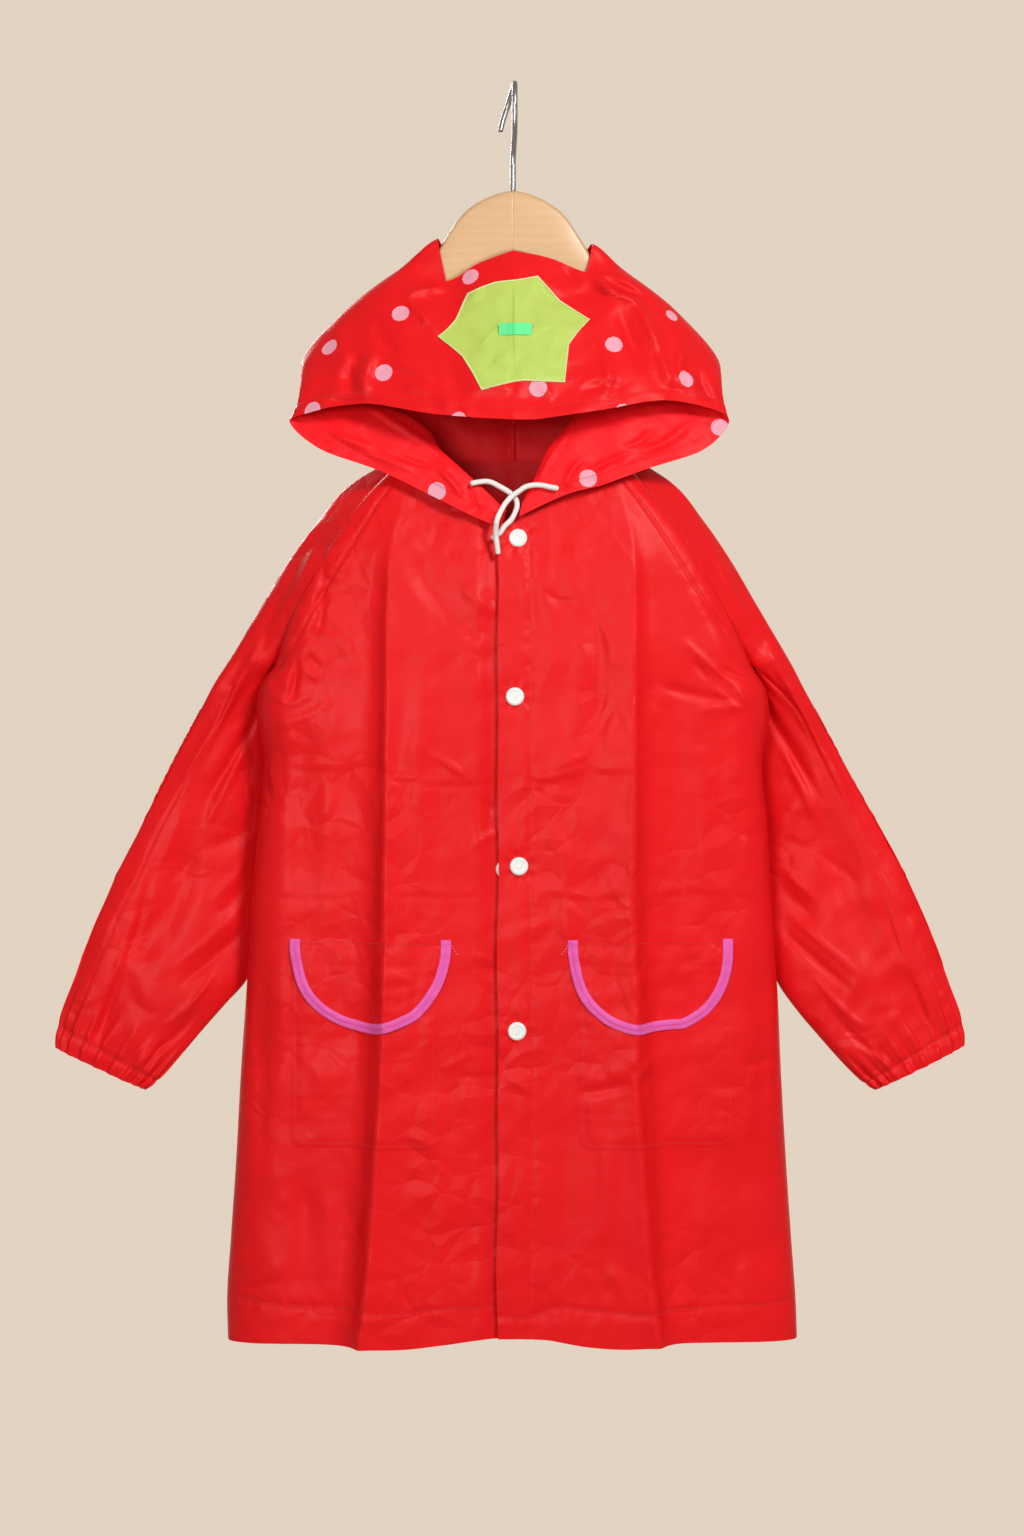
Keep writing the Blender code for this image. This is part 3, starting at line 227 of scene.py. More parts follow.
# The hem, across the coat.
HEM = table("x z", [
    (-237.5, -1043.3), (-187.9, -1042.1), (-126.9, -1042.7), (-88.1, -1043.2), (-55.6, -1039.7), (-22.9, -1035.2),
    (-6.5, -1034.8), (26.1, -1035.5), (58.8, -1040.8), (91.4, -1043), (121.2, -1041.1), (174.3, -1041),
    (236.7, -1041.7),
])

# Each sleeve below the armpit, a row for each section: the end nearer the body, the outer end, the depth of
# both, how far the two walls part at the inner end, half the thickness, and where the seam sits on the ring.
SLEEVE = {
    -1: table("ix iz ox oz iy oy part half seam", [
        (-200.4, -484.4, -232.2, -470.6, 0, 6, 0.9, 14, 0.00), (-206.5, -497, -240.5, -483, 11, 6, 0, 14, 0.60),
        (-207.5, -511, -249.5, -497.5, 20, 7, 0, 14, 1.15), (-204.5, -530, -257.8, -513, 27, 7, 0, 13, 1.55),
        (-201.5, -554, -267.5, -531, 31, 8, 0, 13, 1.85), (-202.5, -593.6, -281.7, -557.5, 32, 8, 0, 13, 2.05),
        (-202.5, -637.5, -297.6, -589.2, 31, 8, 0, 13, 2.19), (-206.5, -679.6, -313.5, -621.8, 29, 8, 0, 14, 2.27),
        (-211.3, -717.4, -328.5, -650.3, 26, 8, 0, 15, 2.27), (-223.4, -745.6, -340.3, -677, 20, 8, 0, 15, 2.30),
        (-240.6, -765.3, -350.3, -699.6, 15, 8, 0, 15, 2.30), (-259.6, -786.9, -359.5, -723.8, 12, 8, 0, 15, 2.30),
        (-277.8, -808.5, -368.7, -748.9, 10, 8, 0, 14, 2.30), (-292.7, -825.1, -377.9, -774, 9, 8, 0, 12, 2.30),
        (-305.1, -836.7, -384.6, -801.6, 8, 8, 0, 10, 2.30),
    ]),
    1: table("ix iz ox oz iy oy part half seam", [
        (201.3, -485.9, 226.4, -470.6, 0, 6, 0.9, 14, 0.00), (206.5, -499, 234, -484, 11, 6, 0, 14, 0.60),
        (207.5, -514, 242, -499.5, 20, 7, 0, 14, 1.15), (204.5, -533, 250.5, -515, 27, 7, 0, 13, 1.55),
        (201.5, -557, 260, -532.5, 31, 8, 0, 13, 1.85), (202.5, -595.3, 274.2, -558.3, 32, 8, 0, 13, 2.05),
        (202.5, -637.5, 290.9, -589.2, 31, 8, 0, 13, 2.19), (206.5, -679.6, 308.5, -620.2, 29, 8, 0, 14, 2.27),
        (211.3, -717.4, 323.5, -647.8, 26, 8, 0, 15, 2.27), (221.8, -747.3, 336.1, -674.5, 20, 8, 0, 15, 2.30),
        (238.1, -771.2, 346.9, -698.8, 15, 8, 0, 15, 2.30), (256.2, -792.7, 356.1, -723, 12, 8, 0, 15, 2.30),
        (275.3, -814.3, 365.3, -749.7, 10, 8, 0, 14, 2.30), (290.2, -828.4, 373.7, -773.2, 9, 8, 0, 12, 2.30),
        (301, -836.7, 379.5, -799.9, 8, 8, 0, 10, 2.30),
    ]),
}

# The hood, a row for each section from the neck's front round to the middle of the back. The points of a
# section run from the neck seam up the back, over the crown and down to the face edge. In the first five
# sections the edge is rolled outwards, so the fourth point is the roll.
HOOD_LEFT = [
    ((-8.2, -42.5, -366.4), (-7.4, -43, -364.4), (-6.5, -44, -361.2), (-5.7, -45.5, -358.1), (-8.2, -47.5, -359.9),
     (-12.3, -48.5, -364), (-16.3, -48.5, -369.3)),
    ((-28.7, -40, -355.5), (-25.4, -41, -351.1), (-22.9, -42, -346.3), (-21.3, -44, -342.4), (-27, -46.5, -343.4),
     (-35.1, -48, -349.3), (-41.7, -48, -357.9)),
    ((-51.8, -35, -342.8), (-46.8, -36.5, -336.8), (-42.7, -38, -329.5), (-41, -41, -324.1), (-49.9, -44, -325.2),
     (-62.2, -45.5, -333.5), (-72.8, -45, -342.1)),
    ((-76.7, -27, -330.5), (-70, -28, -322.8), (-63.4, -30, -313.1), (-60, -34, -306.1), (-73, -39, -306.6),
     (-92.6, -41, -312.6), (-110.7, -40, -323.6)),
    ((-99.6, -9, -316.6), (-90.6, -9, -309), (-80, -12, -296), (-75, -17, -285.5), (-101, -25, -273),
     (-130, -32, -281), (-156.9, -35, -306.6)),
    ((-96.5, 18, -308.4), (-106, 15, -293), (-121, 8, -271), (-135, -2, -260), (-151, -11, -259), (-168, -21, -267),
     (-182.8, -30, -285.1)),
    ((-74.1, 27, -307.8), (-78.3, 26, -279.5), (-163.4, 14, -236.5), (-175.1, 1, -231.5), (-175.8, -12, -238.3),
     (-174.7, -28, -256.9), (-171.5, -38, -277.8)),
    ((-53.2, 31, -307.5), (-59.9, 31, -266.3), (-133.2, 14, -191.2), (-140.1, 1, -187.3), (-141.8, -13, -195.3),
     (-137.9, -38, -233.5), (-124.7, -55, -270.9)),
    ((-29.6, 33, -307.3), (-36.3, 33, -253.4), (-90.5, 14, -159.4), (-96.7, 1, -154), (-97, -15, -162),
     (-90.9, -42, -213.6), (-71.3, -70, -280.4)),
    ((-11, 34.5, -307.2), (-21.1, 34, -236.4), (-60, 9.5, -130), (-62.5, -7, -129), (-55.6, -13.5, -164.4),
     (-46.6, -48, -218.5), (-33.1, -77, -284.8)),
    ((-5.1, 35, -307.2), (-8.5, 35, -233.7), (-29.3, 12, -127.1), (-29.2, 1, -133.2), (-29, -13, -149.8),
     (-23.7, -51, -217.3), (-16.1, -79, -285.9)),
    ((-0.3, 35, -307.2), (-0.3, 35, -233.7), (-0.3, 12, -127.1), (-0.3, 1, -130.7), (-0.3, -13, -138.7),
     (-0.3, -52, -215.8), (-0.3, -80, -286.8)),
]
HOOD_RIGHT = [
    ((8.2, -41, -357.6), (8.2, -42, -356.1), (8.2, -43, -352.9), (8.2, -45, -349.8), (7.4, -47.5, -352.5),
     (6.1, -48.5, -356.7), (4.9, -48.5, -362.4)),
    ((28.7, -40, -349), (26.2, -41, -343.7), (22.9, -42, -334.8), (19.6, -44, -327.6), (26.2, -46.5, -327.9),
     (35.1, -48, -335.4), (43.3, -48, -344.4)),
    ((51.8, -35, -339.6), (43.5, -36.5, -331.8), (35.3, -38, -318), (29.5, -41, -306.9), (40.1, -44, -309.6),
     (57.3, -45.5, -320.4), (74.5, -45, -335.9)),
    ((76.7, -27, -325.8), (66.7, -27, -317), (54.2, -29, -300), (45, -33, -287), (64.2, -38, -283),
     (87.1, -41, -299), (110.7, -40, -322.3)),
    ((98.8, -9, -311.8), (88.8, -9, -304), (72.4, -12, -283), (63.7, -17, -266), (93.1, -26, -261),
     (125.2, -33, -277), (155.3, -35, -307)),
    ((95.5, 18, -307.4), (106, 15, -292), (121, 8, -269), (135, -2, -257), (150, -11, -256), (165.7, -21, -265),
     (177, -30, -285.1)),
    ((74.1, 27, -307.8), (78.3, 26, -279.5), (160.1, 14, -238.2), (171.7, 1, -233.2), (172.5, -12, -239.1),
     (170.6, -28, -256.9), (166.6, -38, -274.5)),
    ((53.2, 31, -307.5), (59.9, 31, -266.3), (129.1, 14, -191.2), (135.9, 1, -187.3), (137.6, -13, -195.3),
     (135.4, -38, -233.5), (123.1, -55, -268.4)),
    ((29.6, 33, -307.3), (36.3, 33, -253.4), (86.3, 14, -159.4), (93.4, 1, -154), (93.7, -15, -162),
     (89.3, -42, -213.6), (70.5, -70, -278.3)),
    ((11, 34.5, -307.2), (21.1, 34, -236.4), (62.5, 9.5, -134), (66, -7, -133), (60.5, -13.5, -157),
     (48.2, -48, -218.5), (33.9, -77, -284.4)),
    ((5.1, 35, -307.2), (8.5, 35, -233.7), (31, 12, -127.9), (30.8, 1, -133.2), (30.7, -13, -145.3),
     (24.5, -51, -217.3), (17.8, -79, -286.7)),
    ((0.3, 35, -307.2), (0.3, 35, -233.7), (0.3, 12, -127.1), (0.3, 1, -130.7), (0.3, -13, -138.7),
     (0.3, -52, -215.8), (0.3, -80, -286.8)),
]
HOOD_STEPS = (3, 4, 2, 2, 3, 3)
SLOT_FROM_SECTION = 9
SLOT_COLUMNS = tuple(HOOD_FINER * sum(HOOD_STEPS[:point]) for point in (2, 4))

# Pocket bags (their sides, top and bottom), and the rims of the half-round flaps hung over them.
POCKETS = {
    -1: {"x": (-183, -61.2), "z": (-709.5, -880.3)},
    1: {"x": (53.9, 182.2), "z": (-709.5, -880.3)},
}
FLAP_RIM = {
    -1: table("x z", [
        (-179.3, -708.5), (-179.3, -717), (-177.2, -730), (-173.1, -744.7), (-166.6, -756.2), (-160.1, -763.1),
        (-153.5, -768.4), (-140.5, -775.4), (-127.4, -779.4), (-115.1, -781.5), (-101.3, -779), (-88.2, -773.7),
        (-81.7, -770.5), (-75.1, -764.3), (-68.6, -756.2), (-62.1, -745.5), (-58, -734.9), (-55.1, -721),
        (-54.7, -708.5),
    ]),
    1: table("x z", [
        (49, -708.5), (49, -718.6), (51, -731.7), (54.3, -744.7), (58, -753.3), (64.5, -762.3), (71, -768.4),
        (77.6, -773.3), (84.1, -776.6), (93.1, -779.8), (103.7, -781.5), (116.8, -779.8), (129.8, -778.6),
        (139.7, -777.8), (149.4, -772.9), (156, -768.4), (162.5, -761.9), (169, -752.1), (173.9, -739.8),
        (176.4, -726.8), (176.8, -708.5),
    ]),
}
BINDING_WIDTH = 8.4
STAR_RIM = table("x z", [
    (-37.7, -176.5), (-26, -171.5), (-14.8, -167.5), (-7, -166.6), (0.2, -166), (10, -164.4), (20.5, -162.2),
    (29, -172), (38.5, -182.8), (50, -191), (63.1, -199.5), (53.5, -210.5), (45.7, -221.6), (43.8, -238),
    (42, -254.8), (25, -254.5), (8.2, -253.9), (0.2, -255), (-12, -258.5), (-25.4, -262.2), (-33, -247),
    (-41.4, -232.5), (-51, -223.5), (-61.5, -214.9), (-53.5, -207.5), (-47, -199.3), (-42.5, -188),
])
TAB = {"x": (-11.4, 15.5), "z": (-204.6, -214.4)}

SNAPS = table("x z", [(4.1, -379.5), (1.6, -509.6), (4.9, -648.3), (3.3, -782.9)])
STUD = (-6.5, -650.8)

# The wooden hanger, half of it: its upper edge, its lower edge and half its thickness.
HANGER = table("x top bottom half", [
    (0, -87.3, -141, 8), (9, -88.6, -143.4, 8), (18.3, -91.8, -147, 8), (30.8, -98, -153, 8),
    (39.8, -104.8, -158, 8), (47.3, -113.4, -162.5, 8), (54, -123.8, -166.5, 8), (61, -135, -171, 8),
    (66, -143.5, -174.5, 8), (76, -151.5, -181, 8), (92, -158.8, -190.5, 8), (108, -168.8, -200, 7.5),
    (122, -178.8, -206.5, 7), (134, -189.5, -211, 6), (141, -197, -211.5, 4), (144, -201, -208.5, 1.6),
])
WIRE_RADIUS = 2.3
HOOK_BEND = 19.0
HOOK_LEAN = (1.5, 12)
HOOK_TAIL = -33.0

# The drawcord's two ends, from the hood's casing to the free end.
ROUTES = {
    -1: [
        (-33.5, -49.8, -335.5), (-27.8, -48.4, -334.2), (-19.6, -47.7, -333.9), (-10.6, -47.2, -338),
        (-1.6, -47.2, -343.7), (2.5, -47.2, -348.6), (3.3, -47.2, -353.5), (1.6, -47.2, -359.3), (-1.6, -47.2, -365),
        (-7.3, -47.2, -370.7), (-10.6, -47.2, -375.6), (-16.3, -47.2, -379.7),
    ],
    1: [
        (35.9, -51.9, -339.7), (31, -51.9, -338.8), (22.9, -52.1, -337.2), (16.3, -52.4, -337.2),
        (9.8, -52.4, -338.8), (4.9, -52.4, -342.1), (-0.8, -52.6, -346.2), (-6.5, -54.3, -352.7),
        (-10.6, -56, -360.1), (-13.1, -58.2, -366.6), (-13.9, -55.1, -373.1), (-13.9, -52, -378.9),
        (-13.1, -50.3, -385.4), (-12.2, -48.5, -391.9),
    ],
}

# Sewn lines, in picture units.
RAGLAN_TOPSTITCH = {
    -1: [(389, 488), (377, 504), (361, 530), (329, 582), (301, 631), (276, 670)],
    1: [(624, 480), (635, 494), (661, 532), (695, 587), (730, 640), (750, 672)],
}
HEM_STITCH = {
    -1: [(229, 1303), (277, 1309), (344, 1310), (394, 1314), (440, 1309), (487, 1306), (524, 1306)],
    1: [(498, 1317), (530, 1317), (549, 1308), (611, 1312), (650, 1314), (698, 1311), (773, 1309), (796, 1307)],
}
PLACKET_STITCH = [(529, 519), (531, 700), (530, 900), (533, 1100), (531, 1338)]
FOLD_RIDGE = {
    -1: [(392, 480), (387, 550), (383, 760), (372, 1050), (357, 1352)],
    1: [(633, 480), (634, 560), (636, 760), (648, 1050), (662, 1352)],
}
UNDERARM_SEAM = {
    -1: [(233, 686), (210, 737), (158, 831), (136, 881), (121, 909), (90, 983), (68, 1051)],
    1: [(763, 674), (797, 709), (830, 777), (866, 840), (898, 899), (921, 954), (941, 1002), (949, 1041)],
}

# The front's creases: three places on each (picture units), then half width and height (mm) and kind.
CREASE_NAMES = "ax ay bx by cx cy width height kind"
FRONT_CREASES = table(CREASE_NAMES, [
    (410, 556, 446, 606, 494, 652, 10, -0.8, 0), (462, 583, 478, 600, 499, 613, 6, 0.7, 0),
    (387, 773, 440, 784, 497, 780, 2.8, 0.45, 2), (387, 783, 440, 791, 497, 788, 4.5, 0.2, 0),
    (430, 753, 449, 764, 467, 777, 2.4, 1.1, 1), (535, 780, 560, 775, 587, 767, 2.4, 1, 1),
    (587, 767, 610, 772, 635, 770, 2.8, 0.4, 2), (553, 770, 572, 760, 587, 755, 2, 0.9, 1),
    (283, 765, 330, 768, 383, 763, 3, 0.45, 2), (387, 892, 440, 895, 497, 893, 2.8, 0.4, 2),
    (387, 901, 440, 902, 497, 900, 4.5, 0.2, 0), (540, 892, 585, 897, 633, 895, 2.8, 0.4, 2),
    (640, 897, 700, 893, 765, 896, 3, 0.35, 2), (262, 893, 310, 897, 378, 892, 3, 0.35, 2),
    (383, 890, 385, 902, 383, 915, 1.8, 1, 1), (633, 893, 634, 904, 633, 917, 1.8, -0.9, 1),
    (288, 680, 289, 695, 287, 707, 2, 1.1, 1), (307, 653, 313, 661, 320, 667, 2, -1, 1),
    (303, 667, 311, 674, 317, 680, 2, 1, 1), (257, 687, 264, 685, 270, 680, 2.4, 1.4, 1),
    (296, 660, 293, 684, 286, 706, 3, -1.6, 0), (737, 687, 744, 696, 750, 707, 2.4, 1.3, 1),
    (767, 687, 745, 678, 720, 667, 2.6, -1.5, 1), (713, 687, 727, 698, 740, 710, 2.4, 1.1, 1),
    (693, 660, 702, 670, 710, 680, 2.4, -1, 1), (327, 700, 325, 830, 328, 935, 10, 0.7, 0),
    (305, 705, 300, 800, 298, 900, 9, -0.5, 0), (668, 700, 672, 800, 680, 930, 10, -0.8, 0),
    (700, 720, 707, 830, 704, 930, 10, 0.7, 0), (710, 780, 712, 790, 713, 802, 2.4, -0.9, 1),
    (747, 833, 749, 848, 750, 864, 2.4, 0.9, 1), (483, 800, 489, 806, 497, 811, 2.4, -0.9, 1),
    (473, 847, 485, 838, 499, 833, 2.2, 0.9, 1), (430, 640, 418, 760, 425, 870, 11, 1.3, 0),
    (590, 560, 600, 680, 592, 760, 12, -1.3, 0), (560, 830, 566, 900, 575, 985, 9, 0.9, 0),
    (590, 610, 606, 634, 612, 668, 3.6, 0.9, 1), (545, 590, 560, 600, 580, 600, 3, -0.8, 1),
    (395, 1093, 388, 1087, 382, 1083, 2.4, 1, 1), (392, 973, 402, 978, 416, 981, 2.4, 0.9, 1),
    (448, 1080, 470, 1077, 497, 1077, 2.6, -0.9, 1), (442, 1067, 456, 1062, 468, 1053, 2.6, 1.1, 1),
    (458, 1083, 453, 1091, 445, 1098, 2.2, -0.8, 1), (472, 953, 484, 959, 497, 963, 2.2, 0.8, 1),
    (395, 1273, 402, 1292, 412, 1310, 3, -1.4, 1), (388, 1310, 393, 1296, 395, 1280, 2.4, 1.1, 1),
    (243, 1073, 262, 1069, 282, 1060, 2.8, -1.1, 1), (232, 1293, 258, 1290, 282, 1283, 2.8, -1, 1),
    (638, 1080, 644, 1070, 652, 1062, 2.8, 2, 1), (630, 1066, 637, 1074, 641, 1084, 2.4, -1.5, 1),
    (598, 1263, 602, 1280, 608, 1298, 2.6, -1.1, 1), (612, 1267, 619, 1285, 625, 1304, 2.6, 1.1, 1),
    (725, 1277, 733, 1287, 742, 1298, 2.6, -1.1, 1), (745, 1067, 762, 1066, 782, 1060, 2.8, -1.2, 1),
    (505, 1077, 518, 1084, 531, 1093, 2.4, 1, 1), (578, 1093, 604, 1089, 632, 1080, 4.5, -1.1, 0),
    (300, 1168, 302, 1230, 298, 1296, 9, -0.8, 0), (330, 1165, 326, 1230, 333, 1300, 10, 0.8, 0),
    (430, 1120, 438, 1200, 433, 1290, 11, 0.8, 0), (470, 1130, 474, 1210, 470, 1290, 8, -0.9, 0),
    (560, 1120, 566, 1200, 560, 1290, 10, -0.8, 0), (600, 1130, 606, 1180, 600, 1250, 8, 1, 0),
    (700, 1170, 706, 1230, 700, 1300, 10, 0.8, 0), (735, 1165, 741, 1220, 737, 1290, 9, -0.7, 0),
    (262, 960, 258, 1060, 262, 1160, 8, -1.1, 0), (762, 960, 765, 1060, 760, 1160, 8, -1.1, 0),
    (700, 600, 726, 628, 748, 650, 3, -1.1, 1), (684, 640, 708, 662, 742, 690, 3.2, 1.1, 1),
    (660, 684, 694, 694, 738, 702, 4, -1, 0), (700, 712, 722, 706, 752, 708, 2.8, 0.9, 1),
    (270, 692, 290, 702, 312, 690, 2.8, 1, 1), (272, 666, 286, 652, 300, 634, 2.8, -1, 1),
    (272, 722, 300, 718, 330, 700, 3.4, 0.9, 1), (318, 560, 322, 600, 312, 640, 4, -0.9, 0),
])

# The back's creases, of the same kinds.
BACK_CREASES = table(CREASE_NAMES, [
    (270, 772, 400, 778, 520, 773, 2.4, -0.9, 1), (520, 773, 640, 768, 760, 775, 2.4, -0.9, 1),
    (270, 894, 400, 890, 520, 895, 2.4, -0.8, 1), (520, 895, 640, 899, 765, 893, 2.4, -0.8, 1),
    (512, 480, 514, 800, 511, 1330, 7, 1.2, 0), (400, 520, 392, 700, 398, 900, 12, -1.8, 0),
    (630, 530, 640, 720, 632, 930, 12, -1.8, 0), (330, 640, 322, 820, 326, 1010, 11, 1.7, 0),
    (706, 640, 712, 820, 706, 1000, 11, 1.6, 0), (440, 980, 432, 1150, 438, 1320, 13, 1.8, 0),
    (585, 960, 592, 1150, 586, 1330, 12, -1.8, 0), (300, 1060, 296, 1180, 302, 1330, 12, -2, 0),
    (720, 1060, 726, 1200, 720, 1330, 12, 2, 0), (290, 672, 310, 700, 345, 722, 3.2, -1.5, 1),
    (742, 668, 716, 700, 684, 716, 3.2, -1.5, 1), (280, 700, 300, 740, 330, 760, 4, 1.3, 0),
    (750, 700, 728, 738, 700, 760, 4, 1.3, 0), (450, 560, 480, 590, 520, 600, 3.4, 1, 1),
    (560, 620, 590, 640, 600, 670, 3.4, -1, 1), (370, 1060, 400, 1075, 440, 1070, 3, 1.1, 1),
    (600, 1090, 640, 1080, 670, 1062, 3, -1.2, 1), (460, 1180, 480, 1200, 515, 1205, 3, -0.9, 1),
    (640, 1240, 655, 1270, 660, 1300, 3, 1, 1),
])

# The sleeves' creases in front, then behind.
SLEEVE_CREASES = table(CREASE_NAMES, [
    (151, 864, 140, 916, 121, 968, 3.6, -2.2, 0), (121, 968, 110, 1001, 94, 1047, 3.6, -2.2, 0),
    (140, 905, 126, 950, 106, 1000, 3.4, 1.4, 0), (210, 901, 228, 884, 243, 866, 3, 1.8, 1),
    (215, 916, 232, 900, 246, 884, 3.4, -1.5, 1), (175, 968, 208, 940, 240, 909, 3, 1.9, 1),
    (180, 985, 212, 958, 243, 930, 4, -1.6, 0), (164, 1025, 192, 1003, 214, 972, 2.6, 2, 1),
    (119, 1079, 140, 1062, 160, 1040, 2.8, 1.6, 1), (150, 1052, 175, 1036, 200, 1006, 3.4, -1.5, 0),
    (262, 636, 232, 698, 182, 789, 5, 2.6, 0), (276, 668, 248, 730, 205, 800, 4.5, -2.2, 0),
    (245, 735, 228, 780, 205, 826, 4, 1.5, 0), (300, 575, 262, 640, 222, 690, 7, -1.6, 0),
    (318, 540, 296, 590, 262, 640, 4, 1.4, 0), (190, 780, 172, 830, 160, 866, 5, 1.6, 0),
    (226, 795, 236, 812, 250, 822, 2.8, 1.3, 1), (205, 845, 225, 842, 246, 832, 2.8, -1.3, 1),
    (170, 880, 190, 862, 206, 850, 3, -1.2, 1), (130, 1000, 146, 1010, 160, 1012, 2.6, -1.1, 1),
    (878, 864, 888, 916, 907, 968, 3.6, -2.2, 0), (907, 968, 919, 1001, 934, 1047, 3.6, -2.2, 0),
    (890, 900, 902, 950, 922, 1003, 3.4, 1.4, 0), (822, 905, 803, 887, 785, 872, 3, 1.8, 1),
    (816, 921, 798, 903, 782, 888, 3.4, -1.5, 1), (858, 974, 824, 944, 790, 914, 3, 1.8, 1),
    (850, 990, 818, 962, 786, 934, 4, -1.6, 0), (866, 1028, 840, 1006, 816, 978, 2.6, 1.9, 1),
    (910, 1080, 888, 1066, 868, 1044, 2.8, 1.5, 1), (882, 1054, 858, 1040, 834, 1012, 3.4, -1.4, 0),
    (766, 640, 796, 700, 846, 790, 5, 2.6, 0), (752, 670, 780, 730, 822, 800, 4.5, -2.2, 0),
    (782, 738, 800, 782, 822, 828, 4, 1.4, 0), (728, 575, 764, 640, 804, 692, 7, -1.6, 0),
    (708, 540, 732, 590, 766, 640, 4, 1.4, 0), (836, 782, 856, 830, 868, 868, 5, 1.6, 0),
    (800, 798, 790, 814, 776, 824, 2.8, 1.3, 1), (824, 850, 802, 846, 782, 836, 2.8, -1.3, 1),
    (860, 884, 838, 866, 822, 854, 3, -1.2, 1), (900, 1003, 884, 1012, 868, 1014, 2.6, -1.1, 1),
])
SLEEVE_BACK_CREASES = table(CREASE_NAMES, [
    (270, 640, 240, 710, 200, 800, 6, 2.4, 0), (250, 720, 215, 800, 175, 880, 5, -2.2, 0),
    (200, 860, 225, 850, 246, 836, 3, 1.6, 1), (165, 930, 205, 915, 240, 885, 3, -1.7, 1),
    (150, 1000, 185, 985, 220, 955, 3, 1.7, 1), (120, 1040, 150, 1030, 185, 1010, 3.2, -1.5, 1),
    (150, 860, 132, 930, 104, 1010, 6, -1.6, 0), (757, 640, 788, 710, 828, 800, 6, 2.4, 0),
    (778, 720, 812, 800, 852, 880, 5, -2.2, 0), (830, 864, 804, 852, 782, 838, 3, 1.6, 1),
    (866, 934, 824, 918, 788, 888, 3, -1.7, 1), (880, 1004, 844, 988, 808, 958, 3, 1.7, 1),
    (908, 1044, 878, 1032, 844, 1012, 3.2, -1.5, 1), (876, 860, 894, 930, 922, 1010, 6, -1.6, 0),
])

# The hood's creases in front, on its roll and behind.
HOOD_CREASES = table(CREASE_NAMES, [
    (594, 274, 615, 290, 638, 298, 2.6, 2.2, 1), (606, 272, 624, 282, 642, 290, 3, -1.6, 0),
    (446, 282, 422, 285, 403, 292, 2.6, 1.9, 1), (403, 292, 420, 312, 440, 336, 2.6, 1.7, 1),
    (367, 397, 366, 374, 373, 352, 4, 1.7, 0), (352, 396, 350, 376, 356, 352, 5, -1.4, 0),
    (392, 358, 414, 372, 437, 380, 3, 1.3, 1), (637, 299, 650, 324, 659, 352, 4.5, 1.7, 0),
    (659, 352, 666, 370, 670, 388, 4.5, 1.5, 0), (620, 306, 632, 340, 646, 372, 6, -1.4, 0),
    (598, 277, 607, 284, 617, 289, 2.4, 1.1, 1), (537, 386, 545, 393, 552, 403, 2.4, 1, 1),
    (327, 397, 346, 402, 364, 402, 2.6, -1.1, 1), (340, 350, 352, 366, 360, 386, 4, 1, 0),
    (376, 320, 384, 340, 398, 352, 3.4, -1.1, 1), (690, 340, 680, 362, 684, 392, 4, 1.3, 0),
    (700, 366, 704, 384, 714, 400, 3.4, -1.1, 0), (470, 395, 500, 390, 530, 396, 5, 0.8, 0),
    (600, 350, 608, 376, 604, 400, 4, 1, 0), (580, 395, 600, 388, 622, 390, 3.6, -0.9, 0),
    (406, 390, 424, 392, 440, 402, 3.4, 0.9, 1), (566, 262, 572, 272, 580, 280, 2.4, -1, 1),
    (455, 300, 470, 296, 480, 284, 2.6, 0.9, 1), (560, 300, 548, 292, 540, 280, 2.6, -0.9, 1),
])
STAR_CREASES = table(CREASE_NAMES, [
    (516, 281, 515, 320, 516, 384, 1.6, 0.5, 0), (464, 358, 454, 348, 448, 335, 2.2, 0.9, 1),
    (506, 319, 492, 334, 481, 348, 2.4, 0.9, 1), (537, 352, 544, 363, 551, 374, 2.2, -0.9, 1),
    (470, 320, 486, 326, 500, 342, 2.4, -0.8, 1), (530, 300, 544, 318, 552, 330, 2.6, 0.9, 1),
    (560, 320, 548, 334, 540, 350, 2.4, -0.8, 1), (490, 362, 504, 368, 514, 380, 2.2, 0.8, 1),
    (480, 372, 492, 362, 500, 350, 2.2, -0.7, 1),
])
ROLL_CREASES = table(CREASE_NAMES, [
    (470, 486, 474, 500, 479, 514, 2, -1.5, 1), (366, 402, 402, 426, 439, 449, 3, 1.4, 0),
    (581, 410, 550, 456, 538, 480, 3, 1.2, 0), (330, 430, 350, 440, 372, 446, 3.4, 1.4, 0),
    (390, 452, 410, 460, 432, 466, 3, -1.2, 0), (440, 470, 452, 482, 462, 496, 2.8, 1.2, 0),
    (690, 420, 668, 440, 640, 450, 3.4, 1.4, 0), (630, 452, 606, 462, 590, 472, 3, -1.2, 0),
    (580, 460, 570, 474, 566, 488, 2.8, 1.2, 0), (655, 425, 640, 440, 622, 446, 2.8, -1.1, 0),
])

# The printed dots seen in front: a place on each (picture units) and its middle right of and above that (mm).
# Then the places of those behind (mm).
DOTS_FRONT = [
    (470, 271, 0, 0), (400, 311, 0, 0), (328, 343, 0, 0), (384, 373, 0, 0), (312, 409, 0, 0), (460, 411, 0, -11),
    (538, 391, 0, 0), (614, 344, 0, 0), (686, 378, 0, 0), (622, 402, 0, -10.5), (668, 309, 7, 2), (437, 491, 0, 0),
    (588, 478, 0, 0), (715, 425, 5, 0),
]
DOTS_BEHIND = [
    (-120, -262), (-62, -292), (-70, -222), (-12, -262), (-20, -190), (44, -228), (62, -180), (100, -262),
    (58, -290), (132, -232), (-112, -206), (-46, -160),
]

# The stitching of the back's hem: its height, in mm.
BACK_HEM_STITCH = -1017.0

